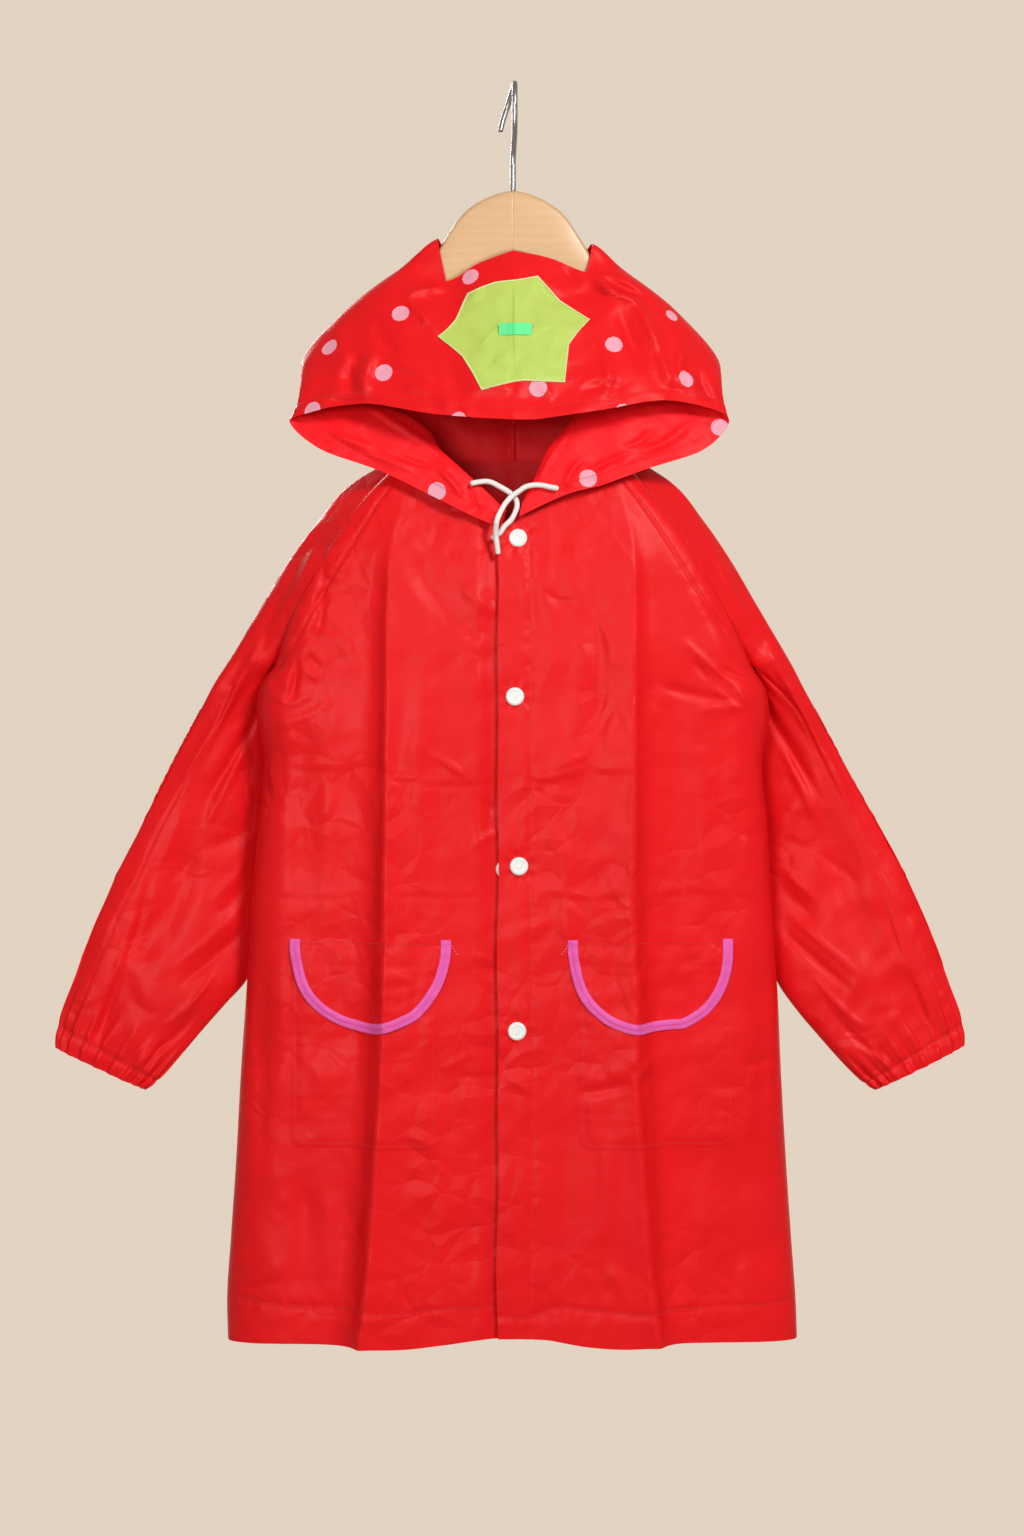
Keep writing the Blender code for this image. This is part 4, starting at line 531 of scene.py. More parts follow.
# What each piece was cut to.
FRONT_CUT = {-1: Cut(0.29, 0.76, 0.185), 1: Cut(0.29, 0.76, 0.185)}
BACK_CUT = Cut(0.50, 0.76, 0.335)
SLEEVE_CUT = Cut(0.34, 0.60, 0.125)
HOOD_CUT = Cut(0.27, 0.36, 0.078)


class Side(Enum):
    """A side of the coat as the viewer sees it."""

    LEFT = -1
    RIGHT = 1

    @property
    def wearer(self) -> str:
        """The same side as the wearer names it: "right" for the viewer's left."""
        return "right" if self is Side.LEFT else "left"


class Fold(Enum):
    """How a crease's height falls off beside its line."""

    SOFT = 0
    SHARP = 1
    STEP = 2


def cubic(t: Array, start: Array, end: Array, leaving: Array, coming: Array) -> Array:
    """A cubic between two heights.

    Args:
        t: How far along it, from 0 to 1.
        start: The first height.
        end: The last height.
        leaving: Its slope at the first.
        coming: Its slope at the last.

    Returns:
        The height there.
    """
    near = (1 + 2 * t) * (1 - t) ** 2 * start + t * (1 - t) ** 2 * leaving
    return near + t * t * (3 - 2 * t) * end + t * t * (t - 1) * coming


def bell(far: Array, width: float) -> Array:
    """A smooth hump: 1 at a distance of 0, and nearly 0 past twice the width."""
    return np.exp(-((far / width) ** 2))


def lengths(vectors: Array) -> Array:
    """The length of each vector."""
    return np.linalg.norm(vectors, axis=-1)


def unit(vectors: Array, least: float = 0.0) -> Array:
    """Each vector divided by its length, plus a least length where one may be 0."""
    return vectors / (np.linalg.norm(vectors, axis=-1, keepdims=True) + least)


def walked(path: Array) -> Array:
    """How far along a path each of its points is."""
    return np.concatenate([[0.0], np.cumsum(lengths(np.diff(path, axis=0)))])


def curve(at: Array, keys: Array, values: Array) -> Array:
    """A smooth curve through the points (keys, values): a cubic with the slope of its neighbours at each.

    Args:
        at: Where to read the curve.
        keys: The points' places along it, in any order.
        values: The points' heights.

    Returns:
        The curve's height at each place.
    """
    keys = np.asarray(keys, float)
    values = np.asarray(values, float)
    order = np.argsort(keys)
    keys = keys[order]
    values = values[order]
    slope = np.gradient(values, keys)
    at = np.clip(at, keys[0], keys[-1])
    k = np.clip(np.searchsorted(keys, at) - 1, 0, len(keys) - 2)
    step = keys[k + 1] - keys[k]
    return cubic((at - keys[k]) / step, values[k], values[k + 1], step * slope[k], step * slope[k + 1])


def ease(value: Array, start: float, end: float) -> Array:
    """A smooth step.

    Args:
        value: What is measured.
        start: Where the step begins.
        end: Where it is complete.

    Returns:
        0 before start, 1 after end and smooth between.
    """
    t = np.clip((value - start) / (end - start), 0.0, 1.0)
    return t * t * (3 - 2 * t)


def spline(points: Array, steps: int | tuple[int, ...]) -> Array:
    """A smooth curve through points.

    Args:
        points: The points, one a row.
        steps: How many steps each stretch between two points has.

    Returns:
        Points along the curve.
    """
    points = np.asarray(points, float)
    if isinstance(steps, int):
        steps = (steps,) * (len(points) - 1)
    gaps = np.linalg.norm(np.diff(points, axis=0), axis=1) ** 0.5
    knots = np.concatenate([[0.0], np.cumsum(np.maximum(gaps, 1e-6))])
    at = [knots[:1]]
    for k, count in enumerate(steps):
        at.append(knots[k] + (knots[k + 1] - knots[k]) * np.arange(1, count + 1) / count)
    at = np.concatenate(at)
    return np.stack([curve(at, knots, points[:, axis]) for axis in range(points.shape[1])], axis=1)


def resample(path: Array, gap: float) -> Array:
    """Points at even gaps along a broken line.

    Args:
        path: The line's points.
        gap: The gap between two new points, in mm.

    Returns:
        The new points, both ends among them.
    """
    path = np.asarray(path, float)
    run = np.concatenate([[0.0], np.cumsum(np.linalg.norm(np.diff(path, axis=0), axis=1))])
    count = max(int(round(run[-1] / gap)), 1)
    at = np.linspace(0.0, run[-1], count + 1)
    return np.stack([np.interp(at, run, path[:, axis]) for axis in range(path.shape[1])], axis=1)


def seen(px: Array, py: Array, depth: Array | float) -> tuple[Array, Array]:
    """Sets a place of the picture on the object.

    Args:
        px: Picture units from the frame's left side.
        py: Picture units from its top.
        depth: The y of the surface there, in mm.

    Returns:
        x and z in mm.
    """
    x = (np.asarray(px, float) - PICTURE_CENTRE[0]) / UNITS_PER_MM
    z = -(np.asarray(py, float) - PICTURE_CENTRE[1]) / UNITS_PER_MM
    scale = (EYE + np.asarray(depth, float)) / EYE
    return x * scale, EYE_HEIGHT + (z - EYE_HEIGHT) * scale


def swell(x: Array, z: Array, length: float, seed: int) -> Array:
    """Broad uneven waves: six plane waves in fixed pseudo-random directions.

    Args:
        x: Across, in mm.
        z: Up, in mm.
        length: The typical wavelength, in mm.
        seed: Which set of waves.

    Returns:
        A height from about -1 to 1.
    """
    rng = np.random.default_rng(seed)
    height = np.zeros(np.shape(x))
    for _ in range(6):
        turn = rng.uniform(0, np.pi)
        wave = 2 * np.pi / (length * rng.uniform(0.6, 1.7))
        height = height + np.sin(wave * (np.cos(turn) * x + np.sin(turn) * z) + rng.uniform(0, 2 * np.pi))
    return height / 3.0


def crumple(x: Array, z: Array, length: float, seed: int) -> Array:
    """Creased facets: folded plane waves, each bent by a broad wave and shown only in patches.

    Args:
        x: Across, in mm.
        z: Up, in mm.
        length: The typical facet's size, in mm.
        seed: Which set.

    Returns:
        A height from about -1 to 1.
    """
    rng = np.random.default_rng(seed)
    height = np.zeros(np.shape(x))
    for k in range(5):
        turn = rng.uniform(0, np.pi)
        size = length * rng.uniform(0.7, 1.6)
        way = (np.cos(turn) * x + np.sin(turn) * z) / size + 0.45 * swell(x, z, 3.0 * length, seed + 31
            * k) + rng.uniform(0, 1)
        folded = np.abs(way % 1.0 - 0.5) * 2.0
        patch = ease(swell(x, z, 4.0 * length, seed + 7 + k), -0.1, 0.7)
        height = height + (np.sqrt(folded**2 + 0.002) - 0.5) * patch
    return height / 2.0


@dataclass(frozen=True)
class Relief:
    """Creases on a stretch of cloth, each a curve through three places with a width, a height and a kind.

    Attributes:
        creases: The table of creases, in picture units and mm.
        depth: The depth that the picture's places are set at, in mm.
        mirrored: Whether the places are seen from behind, so left and right change over.
        strength: What every height is multiplied by.
    """

    creases: dict[str, Array]
    depth: float = FRONT_DEPTH
    mirrored: bool = False
    strength: float = 1.0

    def height(self, x: Array, z: Array) -> Array:
        """The creases' height: for each, how near its curve a place is, through its profile, faded at its ends.

        Args:
            x: Across, in mm.
            z: Up, in mm.

        Returns:
            How far the cloth stands out there, in mm.
        """
        shape = np.shape(x)
        px = -np.ravel(x) if self.mirrored else np.ravel(x)
        pz = np.ravel(z)
        total = np.zeros(px.size)
        rows = self.creases
        for k in range(len(rows["width"])):
            ax, az = seen([rows["ax"][k], rows["bx"][k], rows["cx"][k]],
                          [rows["ay"][k], rows["by"][k], rows["cy"][k]], self.depth)
            ends = np.stack([ax, az], axis=1)
            bend = 2 * ends[1] - 0.5 * (ends[0] + ends[2])
            t = np.linspace(0, 1, 9)[:, None]
            line = (1 - t) ** 2 * ends[0] + 2 * t * (1 - t) * bend + t * t * ends[2]
            width = rows["width"][k]
            reach = 4.5 * width
            near = (px > line[:, 0].min() - reach) & (px < line[:, 0].max() + reach)
            near &= (pz > line[:, 1].min() - reach) & (pz < line[:, 1].max() + reach)
            if not near.any():
                continue
            at = np.stack([px[near], pz[near]], axis=1)
            kind = Fold(int(rows["kind"][k]))
            total[near] += self.strength * rows["height"][k] * self._profile(at, line, width, kind)
        return total.reshape(shape)

    @staticmethod
    def _profile(at: Array, line: Array, width: float, kind: Fold) -> Array:
        """The height of one crease of height 1.

        Args:
            at: The places, one a row.
            line: The crease's points.
            width: Its half width, in mm.
            kind: Its kind.

        Returns:
            The height at each place.
        """
        start = line[:-1]
        way = np.diff(line, axis=0)
        size = (way**2).sum(axis=1)
        offset = at[:, None, :] - start[None, :, :]
        raw = (offset * way).sum(axis=2) / size
        along = np.clip(raw, 0, 1)
        gap = offset - along[..., None] * way
        far = np.linalg.norm(gap, axis=2)
        best = far.argmin(axis=1)
        row = np.arange(len(at))
        distance = far[row, best]
        sign = np.sign(way[best, 0] * offset[row, best, 1] - way[best, 1] * offset[row, best, 0])
        part = (best + along[row, best]) / len(way)
        taper = 1 - np.abs(2 * part - 1) ** 3
        taper = taper * 0.85 + 0.15 * bell(distance, width)
        if kind is Fold.SOFT:
            return taper * bell(distance, width)
        if kind is Fold.SHARP:
            return taper * np.exp(-(np.sqrt(distance**2 + 0.15) / width))
        side = sign * distance / width
        return taper * np.tanh(1.6 * side) * np.exp(-np.abs(side) * 0.6)


class Coat:
    """The coat's surfaces: places on the fronts, the back, the sleeves and the hood, in mm."""

    @staticmethod
    def armhole(side: int, q: Array, which: str) -> Array:
        """A point of an armhole's seam.

        Args:
            side: -1 or 1.
            q: From the neck (0) to the armpit (1).
            which: "f" for the front seam, "b" for the back seam and "s" for the sleeve's top.

        Returns:
            x, y and z in the last axis.
        """
        hole = ARMHOLE[side]
        z = curve(q, np.linspace(0, 1, len(hole["fx"])), hole[which + "z"])
        x = curve(z, hole[which + "z"], hole[which + "x"])
        y = curve(z, hole[which + "z"], hole[which + "y"])
        return np.stack([x, y, z], axis=-1)

    @staticmethod
    def edge(side: Array, z: Array) -> tuple[Array, Array, Array]:
        """The outer edge of a front.

        Args:
            side: -1 or 1 at each place.
            z: Up, in mm.

        Returns:
            How far out it is, its depth and the width of the rounding beside it.
        """
        out = [np.zeros(np.shape(z)) for _ in range(3)]
        for which in (-1, 1):
            hole = ARMHOLE[which]
            rows = SIDE[which]
            above = z > hole["fz"][-1]
            fade = ease(hole["fz"][-1] - z, 0.0, 14.0)
            x = np.where(above, curve(z, hole["fz"], hole["fx"]), curve(z, rows["z"], rows["x"]))
            y = np.where(above, curve(z, hole["fz"], hole["fy"]), hole["fy"][-1] * (1 - fade))
            reach = np.where(above, 26.0, curve(z, rows["z"], rows["reach"]))
            for value, found in zip(out, (x, y, reach)):
                value[...] = np.where(side == which, found, value)
        return out[0], out[1], out[2]

    @staticmethod
    def front_depth(x: Array, z: Array) -> Array:
        """How near the front comes: level between its two long folds, a step down outside each, round at the sides.

        Args:
            x: Across, in mm.
            z: Up, in mm.

        Returns:
            The depth y in mm.
        """
        left, right, depth, lift, drop = (curve(z, FOLDS["z"], FOLDS[name])
                                          for name in ("left", "right", "depth", "lift", "drop"))
        outside = np.maximum(np.maximum(left - x, x - right), 0.0)
        inside = np.maximum(np.minimum(x - left, right - x), 0.0)
        y = depth - lift * np.exp(-inside / 22.0) + (drop + lift) * (1 - np.exp(-outside / 11.0)) + 0.05 * outside
        edge, edge_y, reach = Coat.edge(np.where(x > 0, 1, -1), z)
        away = np.clip((np.abs(edge) - np.abs(x)) / reach, 0.0, 1.0)
        return edge_y + (y - edge_y) * np.sqrt(1 - (1 - away) ** 2)

    @staticmethod
    def back_depth(x: Array, z: Array) -> Array:
        """How far back the back comes: shallow flutes, round at the sides.

        Args:
            x: Across, in mm.
            z: Up, in mm.

        Returns:
            The depth y in mm.
        """
        depth = curve(z, [-1045, -900, -740, -600, -420, -330, -308], [27, 28, 28, 30, 34, 36, 35])
        y = depth + 3.0 * np.cos((x + 20.0) / 34.0) * ease(-z, 420.0, 620.0)
        side = np.where(x > 0, 1, -1)
        edge, _, reach = Coat.edge(side, z)
        edge_y = np.zeros(np.shape(z))
        for which in (-1, 1):
            hole = ARMHOLE[which]
            above = z > hole["bz"][-1]
            down = hole["by"][-1] * (1 - ease(hole["bz"][-1] - z, 0.0, 14.0))
            mine = side == which
            edge = np.where(mine & above, curve(z, hole["bz"], hole["bx"]), edge)
            reach = np.where(mine & above, 30.0, reach)
            edge_y = np.where(mine, np.where(above, curve(z, hole["bz"], hole["by"]), down), edge_y)
        away = np.clip((np.abs(edge) - np.abs(x)) / reach, 0.0, 1.0)
        return edge_y + (y - edge_y) * np.sqrt(1 - (1 - away) ** 2)

    @staticmethod
    def front_grid(side: int, across: int, down: int) -> Array:
        """A front's places, without its creases.

        Args:
            side: -1 or 1.
            across: How many places across, from the outer edge to the middle edge.
            down: How many rows from the neck to the hem.

        Returns:
            The grid of points.
        """
        hole = ARMHOLE[side]
        neck = NECK_LEFT if side < 0 else NECK_RIGHT
        middle = neck["x"][-1]
        bottom = hole["fz"][-1]
        upper = down // 4
        q = np.linspace(0, 1, upper)
        g = np.linspace(0, 1, down - upper + 1)[1:]
        top_edge = Coat.armhole(side, q, "f")
        hem_edge = curve(SIDE[side]["x"][-1], HEM["x"], HEM["z"])
        hem_middle = curve(middle, HEM["x"], HEM["z"])
        edge_z = np.concatenate([top_edge[:, 2], bottom + (hem_edge - bottom) * g])
        low_x = Coat.edge(np.full(len(g), side), bottom + (hem_edge - bottom) * g)[0]
        edge_x = np.concatenate([top_edge[:, 0], low_x])
        middle_z = np.concatenate([neck["z"][-1] + (bottom - neck["z"][-1]) * q, bottom + (hem_middle - bottom) * g])
        part = np.linspace(0, 1, across)
        part = (part + 0.12 * np.sin(2 * np.pi * part) / np.pi * -1)[None, :]
        x = edge_x[:, None] + (middle - edge_x[:, None]) * part
        z = edge_z[:, None] + (middle_z - edge_z)[:, None] * part
        q_full = np.concatenate([q, np.ones(len(g))])[:, None]
        top = curve(neck["x"][0] + (middle - neck["x"][0]) * part, neck["x"], neck["z"])
        straight = hole["fz"][0] + (neck["z"][-1] - hole["fz"][0]) * part
        z = z + (1 - q_full) * (top - straight)
        g_full = np.concatenate([np.zeros(upper), g])[:, None]
        level = curve(edge_x, HEM["x"], HEM["z"])[:, None] * (1 - part) + hem_middle * part
        z = z + g_full**2 * (curve(x, HEM["x"], HEM["z"]) - level)
        y = Coat.front_depth(x, z)
        if side < 0:
            y = y + UNDERLAP_DEPTH * ease(x, -30.0, -14.5)
        return np.stack([x, y, z], axis=-1)

    @staticmethod
    def back_grid(across: int, down: int) -> Array:
        """The back's places, without its creases.

        Args:
            across: How many places from the left edge to the right.
            down: How many rows from the neck to the hem.

        Returns:
            The grid of points.
        """
        upper = down // 4
        q = np.linspace(0, 1, upper)
        g = np.linspace(0, 1, down - upper + 1)[1:]
        ends = {}
        for side in (-1, 1):
            hole = ARMHOLE[side]
            top = Coat.armhole(side, q, "b")
            low = curve(SIDE[side]["x"][-1], HEM["x"], HEM["z"])
            z = hole["bz"][-1] + (low - hole["bz"][-1]) * g
            x = Coat.edge(np.full(len(g), side), np.minimum(z, hole["fz"][-1]))[0]
            ends[side] = (np.concatenate([top[:, 0], x]), np.concatenate([top[:, 2], z]))
        part = 0.5 - 0.5 * np.cos(np.linspace(0, np.pi, across))
        part = (0.55 * np.linspace(0, 1, across) + 0.45 * part)[None, :]
        x = ends[-1][0][:, None] + (ends[1][0] - ends[-1][0])[:, None] * part
        z = ends[-1][1][:, None] + (ends[1][1] - ends[-1][1])[:, None] * part
        y = Coat.back_depth(x, z)
        neck_fade = (1 - ease(q, 0.0, 0.16))
        neck_fade = np.concatenate([neck_fade, np.zeros(len(g))])[:, None]
        z = z + neck_fade * (curve(x, NECK_BACK["x"], NECK_BACK["z"]) - z[0])
        y = y + neck_fade * (curve(x, NECK_BACK["x"], NECK_BACK["y"]) - y[0])
        return np.stack([x, y, z], axis=-1)

    @staticmethod
    def sleeve_grid(side: int, stations: Array, turns: Array) -> tuple[Array, Array]:
        """A sleeve's places, without its creases.

        Args:
            side: -1 or 1.
            stations: The rows' sections: negative above the armpit, 0 at it and 14 at the cuff.
            turns: The columns, from 0 at one edge of the underarm seam round the sleeve to 1 at the other.

        Returns:
            The grid of points, and which of them are on the sleeve's back half.
        """
        rows = SLEEVE[side]
        at = np.arange(len(rows["ix"]))
        below = np.maximum(stations, 0.0)
        start = np.where(stations > 0, curve(below, at, rows["seam"]), 0.0)
        phi = (start[:, None] + 2 * np.pi * turns[None, :])
        above = (stations < 0)[:, None]
        phi = np.where(stations[:, None] > 0, phi % (2 * np.pi), phi)
        phi[stations > 0, -1] = start[stations > 0]
        u = 0.5 * (1 - np.cos(phi))
        behind = np.sin(phi) < 0
        now = {name: curve(below, at, rows[name])[:, None] for name in rows}
        q = np.clip(1 + stations / ARMPIT_ROWS, 0.0, 1.0)
        front, back, top = (Coat.armhole(side, q, which)[:, None, :] for which in "fbs")
        half_round = np.broadcast_to(phi > np.pi, phi.shape)
        inner_x = np.where(above, np.where(half_round, back[..., 0], front[..., 0]), now["ix"])
        inner_z = np.where(above, np.where(half_round, back[..., 2], front[..., 2]), now["iz"])
        inner_y = np.where(above, 0.5 * (front[..., 1] + back[..., 1]), now["iy"])
        outer_x = np.where(above, top[..., 0], now["ox"])
        outer_z = np.where(above, top[..., 2], now["oz"])
        outer_y = np.where(above, top[..., 1], now["oy"])
        part = np.where(above, 0.5 * (back[..., 1] - front[..., 1]), np.maximum(now["part"], 0.0))
        half = np.where(above, 6.0 + 8.0 * q[:, None], now["half"])
        x = inner_x + (outer_x - inner_x) * u
        z = inner_z + (outer_z - inner_z) * u
        thick = np.sqrt((part * (1 - u)) ** 2 + (half * np.abs(np.sin(phi)) ** 0.85) ** 2)
        station = stations[:, None]
        fade = ease(station, 5.0, 8.0) * (1 - ease(station, 12.0, 13.5))
        thick = thick - np.where(behind, 0.0, 5.0 * bell(u - 0.62, 0.11) * fade)
        y = inner_y + (outer_y - inner_y) * u + np.where(behind, thick, -thick)
        return np.stack([x, y, z], axis=-1), behind

    @staticmethod
    def hood_grid(side: int, finer: int, between: int) -> Array:
        """A half of the hood: smooth along each section, then smooth from section to section.

        Args:
            side: -1 or 1.
            finer: How many places for each one of the solid's along a section.
            between: How many places from one section to the next.

        Returns:
            The grid of points, a row for each section.
        """
        sections = HOOD_LEFT if side < 0 else HOOD_RIGHT
        steps = tuple(finer * count for count in HOOD_STEPS)
        along = np.array([spline(section, steps) for section in sections])
        along[-1, :, 0] = 0.0
        along[:, 0, 2] -= 1.6
        count = len(sections)
        at = np.linspace(0, count - 1, between * (count - 1) + 1)
        return np.stack([curve_rows(at, along[..., axis]) for axis in range(3)], axis=-1)


def curve_rows(at: Array, rows: Array) -> Array:
    """curve() through whole rows that are one apart.

    Args:
        at: Where to read, counted in rows.
        rows: The rows.

    Returns:
        A row for each place.
    """
    slope = np.gradient(rows, axis=0)
    k = np.clip(np.searchsorted(np.arange(len(rows)), at) - 1, 0, len(rows) - 2)
    return cubic((at - k)[:, None], rows[k], rows[k + 1], slope[k], slope[k + 1])


def quads(rows: int, columns: int, keep: Array | None = None, flip: bool = False, closed: bool = False) -> Array:
    """The faces of a grid.

    Args:
        rows: How many rows of points.
        columns: How many points in a row.
        keep: Which faces stay, or None for all.
        flip: Whether the faces turn the other way.
        closed: Whether each row's last point joins its first.

    Returns:
        Four indices for each face.
    """
    last = columns if closed else columns - 1
    i, j = np.meshgrid(np.arange(rows - 1), np.arange(last), indexing="ij")
    a = i * columns + j
    b = i * columns + (j + 1) % columns
    faces = np.stack([a, a + columns, b + columns, b], axis=-1)
    if keep is not None:
        faces = faces[keep]
    faces = faces.reshape(-1, 4)
    return faces[:, ::-1] if flip else faces


def drum(rows: int, sides: int) -> list[tuple[int, ...]]:
    """The faces of a closed grid with a lid at each end.

    Args:
        rows: How many rings of points.
        sides: How many points in a ring.

    Returns:
        The indices for each face.
    """
    last = (rows - 1) * sides
    walls = [tuple(face) for face in quads(rows, sides, closed=True).tolist()]
    return [*walls, tuple(range(sides))[::-1], tuple(range(last, last + sides))]


def turned(grid: Array) -> bool:
    """Whether the faces of a grid look away from the viewer.

    Args:
        grid: The points.

    Returns:
        Whether they have to be flipped.
    """
    down = grid[1:, :-1] - grid[:-1, :-1]
    across = grid[:-1, 1:] - grid[:-1, :-1]
    return bool(np.cross(down, across)[..., 1].sum() > 0)


def weld(obj: Object) -> None:
    """Joins points of a mesh that coincide.

    Args:
        obj: The object.
    """
    work = bmesh.new()
    work.from_mesh(obj.data)
    bmesh.ops.remove_doubles(work, verts=work.verts, dist=0.02 * MM)
    bmesh.ops.dissolve_degenerate(work, edges=work.edges, dist=0.005 * MM)
    work.to_mesh(obj.data)
    work.free()


def outward(obj: Object) -> None:
    """Turns the faces of a closed mesh outwards.

    Args:
        obj: The object.
    """
    work = bmesh.new()
    work.from_mesh(obj.data)
    bmesh.ops.recalc_face_normals(work, faces=work.faces)
    work.to_mesh(obj.data)
    work.free()


def make_mesh(name: str, points: Array, faces: Array | list[tuple[int, ...]], uv: Array | None = None,
              values: dict[str, Array] | None = None, shut: bool = False) -> Object:
    """Makes a smooth mesh object at the origin.

    Args:
        name: The object's name.
        points: The points, in mm.
        faces: The indices for each face, as a list where faces differ in how many they have.
        uv: Two numbers for each point, or None.
        values: Named numbers for each point, or None.
        shut: Whether the mesh is closed, so that its faces are turned outwards.

    Returns:
        The object, linked to the scene.
    """
    points = np.asarray(points, float).reshape(-1, 3)
    used = np.arange(len(points))
    if isinstance(faces, np.ndarray):
        used = np.unique(faces)
        index = np.zeros(len(points), int)
        index[used] = np.arange(len(used))
        faces = index[faces].tolist()
    mesh = bpy.data.meshes.new(name)
    mesh.from_pydata((points[used] * MM).tolist(), [], faces)
    mesh.polygons.foreach_set("use_smooth", np.ones(len(faces), bool))
    if uv is not None:
        layer = mesh.uv_layers.new(name="cloth")
        corner = np.zeros(len(mesh.loops), int)
        mesh.loops.foreach_get("vertex_index", corner)
        layer.data.foreach_set("uv", np.asarray(uv, float).reshape(-1, 2)[used][corner].astype(np.float32).ravel())
    for key, value in (values or {}).items():
        layer = mesh.attributes.new(key, "FLOAT", "POINT")
        layer.data.foreach_set("value", np.asarray(value, float).ravel()[used].astype(np.float32))
    mesh.update()
    obj = bpy.data.objects.new(name, mesh)
    bpy.context.scene.collection.objects.link(obj)
    if shut:
        outward(obj)
    return obj


def dress(obj: Object, material: Material, slot: str, *nodes: str) -> None:
    """Gives a piece its material and its place on the frame.

    Args:
        obj: The piece.
        material: Its material.
        slot: Not used.
        *nodes: The solids that it stands for.
    """
    obj.data.materials.append(material)
    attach(obj, "root")
    if nodes:
        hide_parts(*nodes)


def sharpen_rim(obj: Object) -> None:
    """Marks the edges of a mesh that have only one face as sharp.

    Args:
        obj: The mesh object.
    """
    mesh = obj.data
    used = np.zeros(len(mesh.loops), int)
    mesh.loops.foreach_get("edge_index", used)
    mesh.edges.foreach_set("use_edge_sharp", np.bincount(used, minlength=len(mesh.edges)) == 1)


def thicken(obj: Object, wall: float) -> bpy.types.SolidifyModifier:
    """Gives a face a wall that grows inwards.

    Args:
        obj: The mesh object.
        wall: The wall's thickness, in mm.

    Returns:
        The modifier.
    """
    shell = obj.modifiers.new("cloth", "SOLIDIFY")
    shell.thickness = wall * MM
    shell.offset = -1.0
    return shell


def lengths_uv(grid: Array) -> Array:
    """A flat pattern of a grid: the mean length along its rows and down its columns, in metres.

    Args:
        grid: The points, in mm.

    Returns:
        Two numbers for each point.
    """
    across = np.linalg.norm(np.diff(grid, axis=1), axis=2)
    down = np.linalg.norm(np.diff(grid, axis=0), axis=2).mean(axis=1)
    u = np.concatenate([np.zeros((len(grid), 1)), np.cumsum(across, axis=1)], axis=1)
    u = u - u[:, -1:] * 0.5
    v = np.concatenate([[0.0], np.cumsum(down)])[:, None] + 0 * u
    return np.stack([u, v], axis=-1) * MM


def darker(colour: Colour, part: float) -> Colour:
    """A colour with each channel reduced to a part of it."""
    return tuple(part * channel for channel in colour)


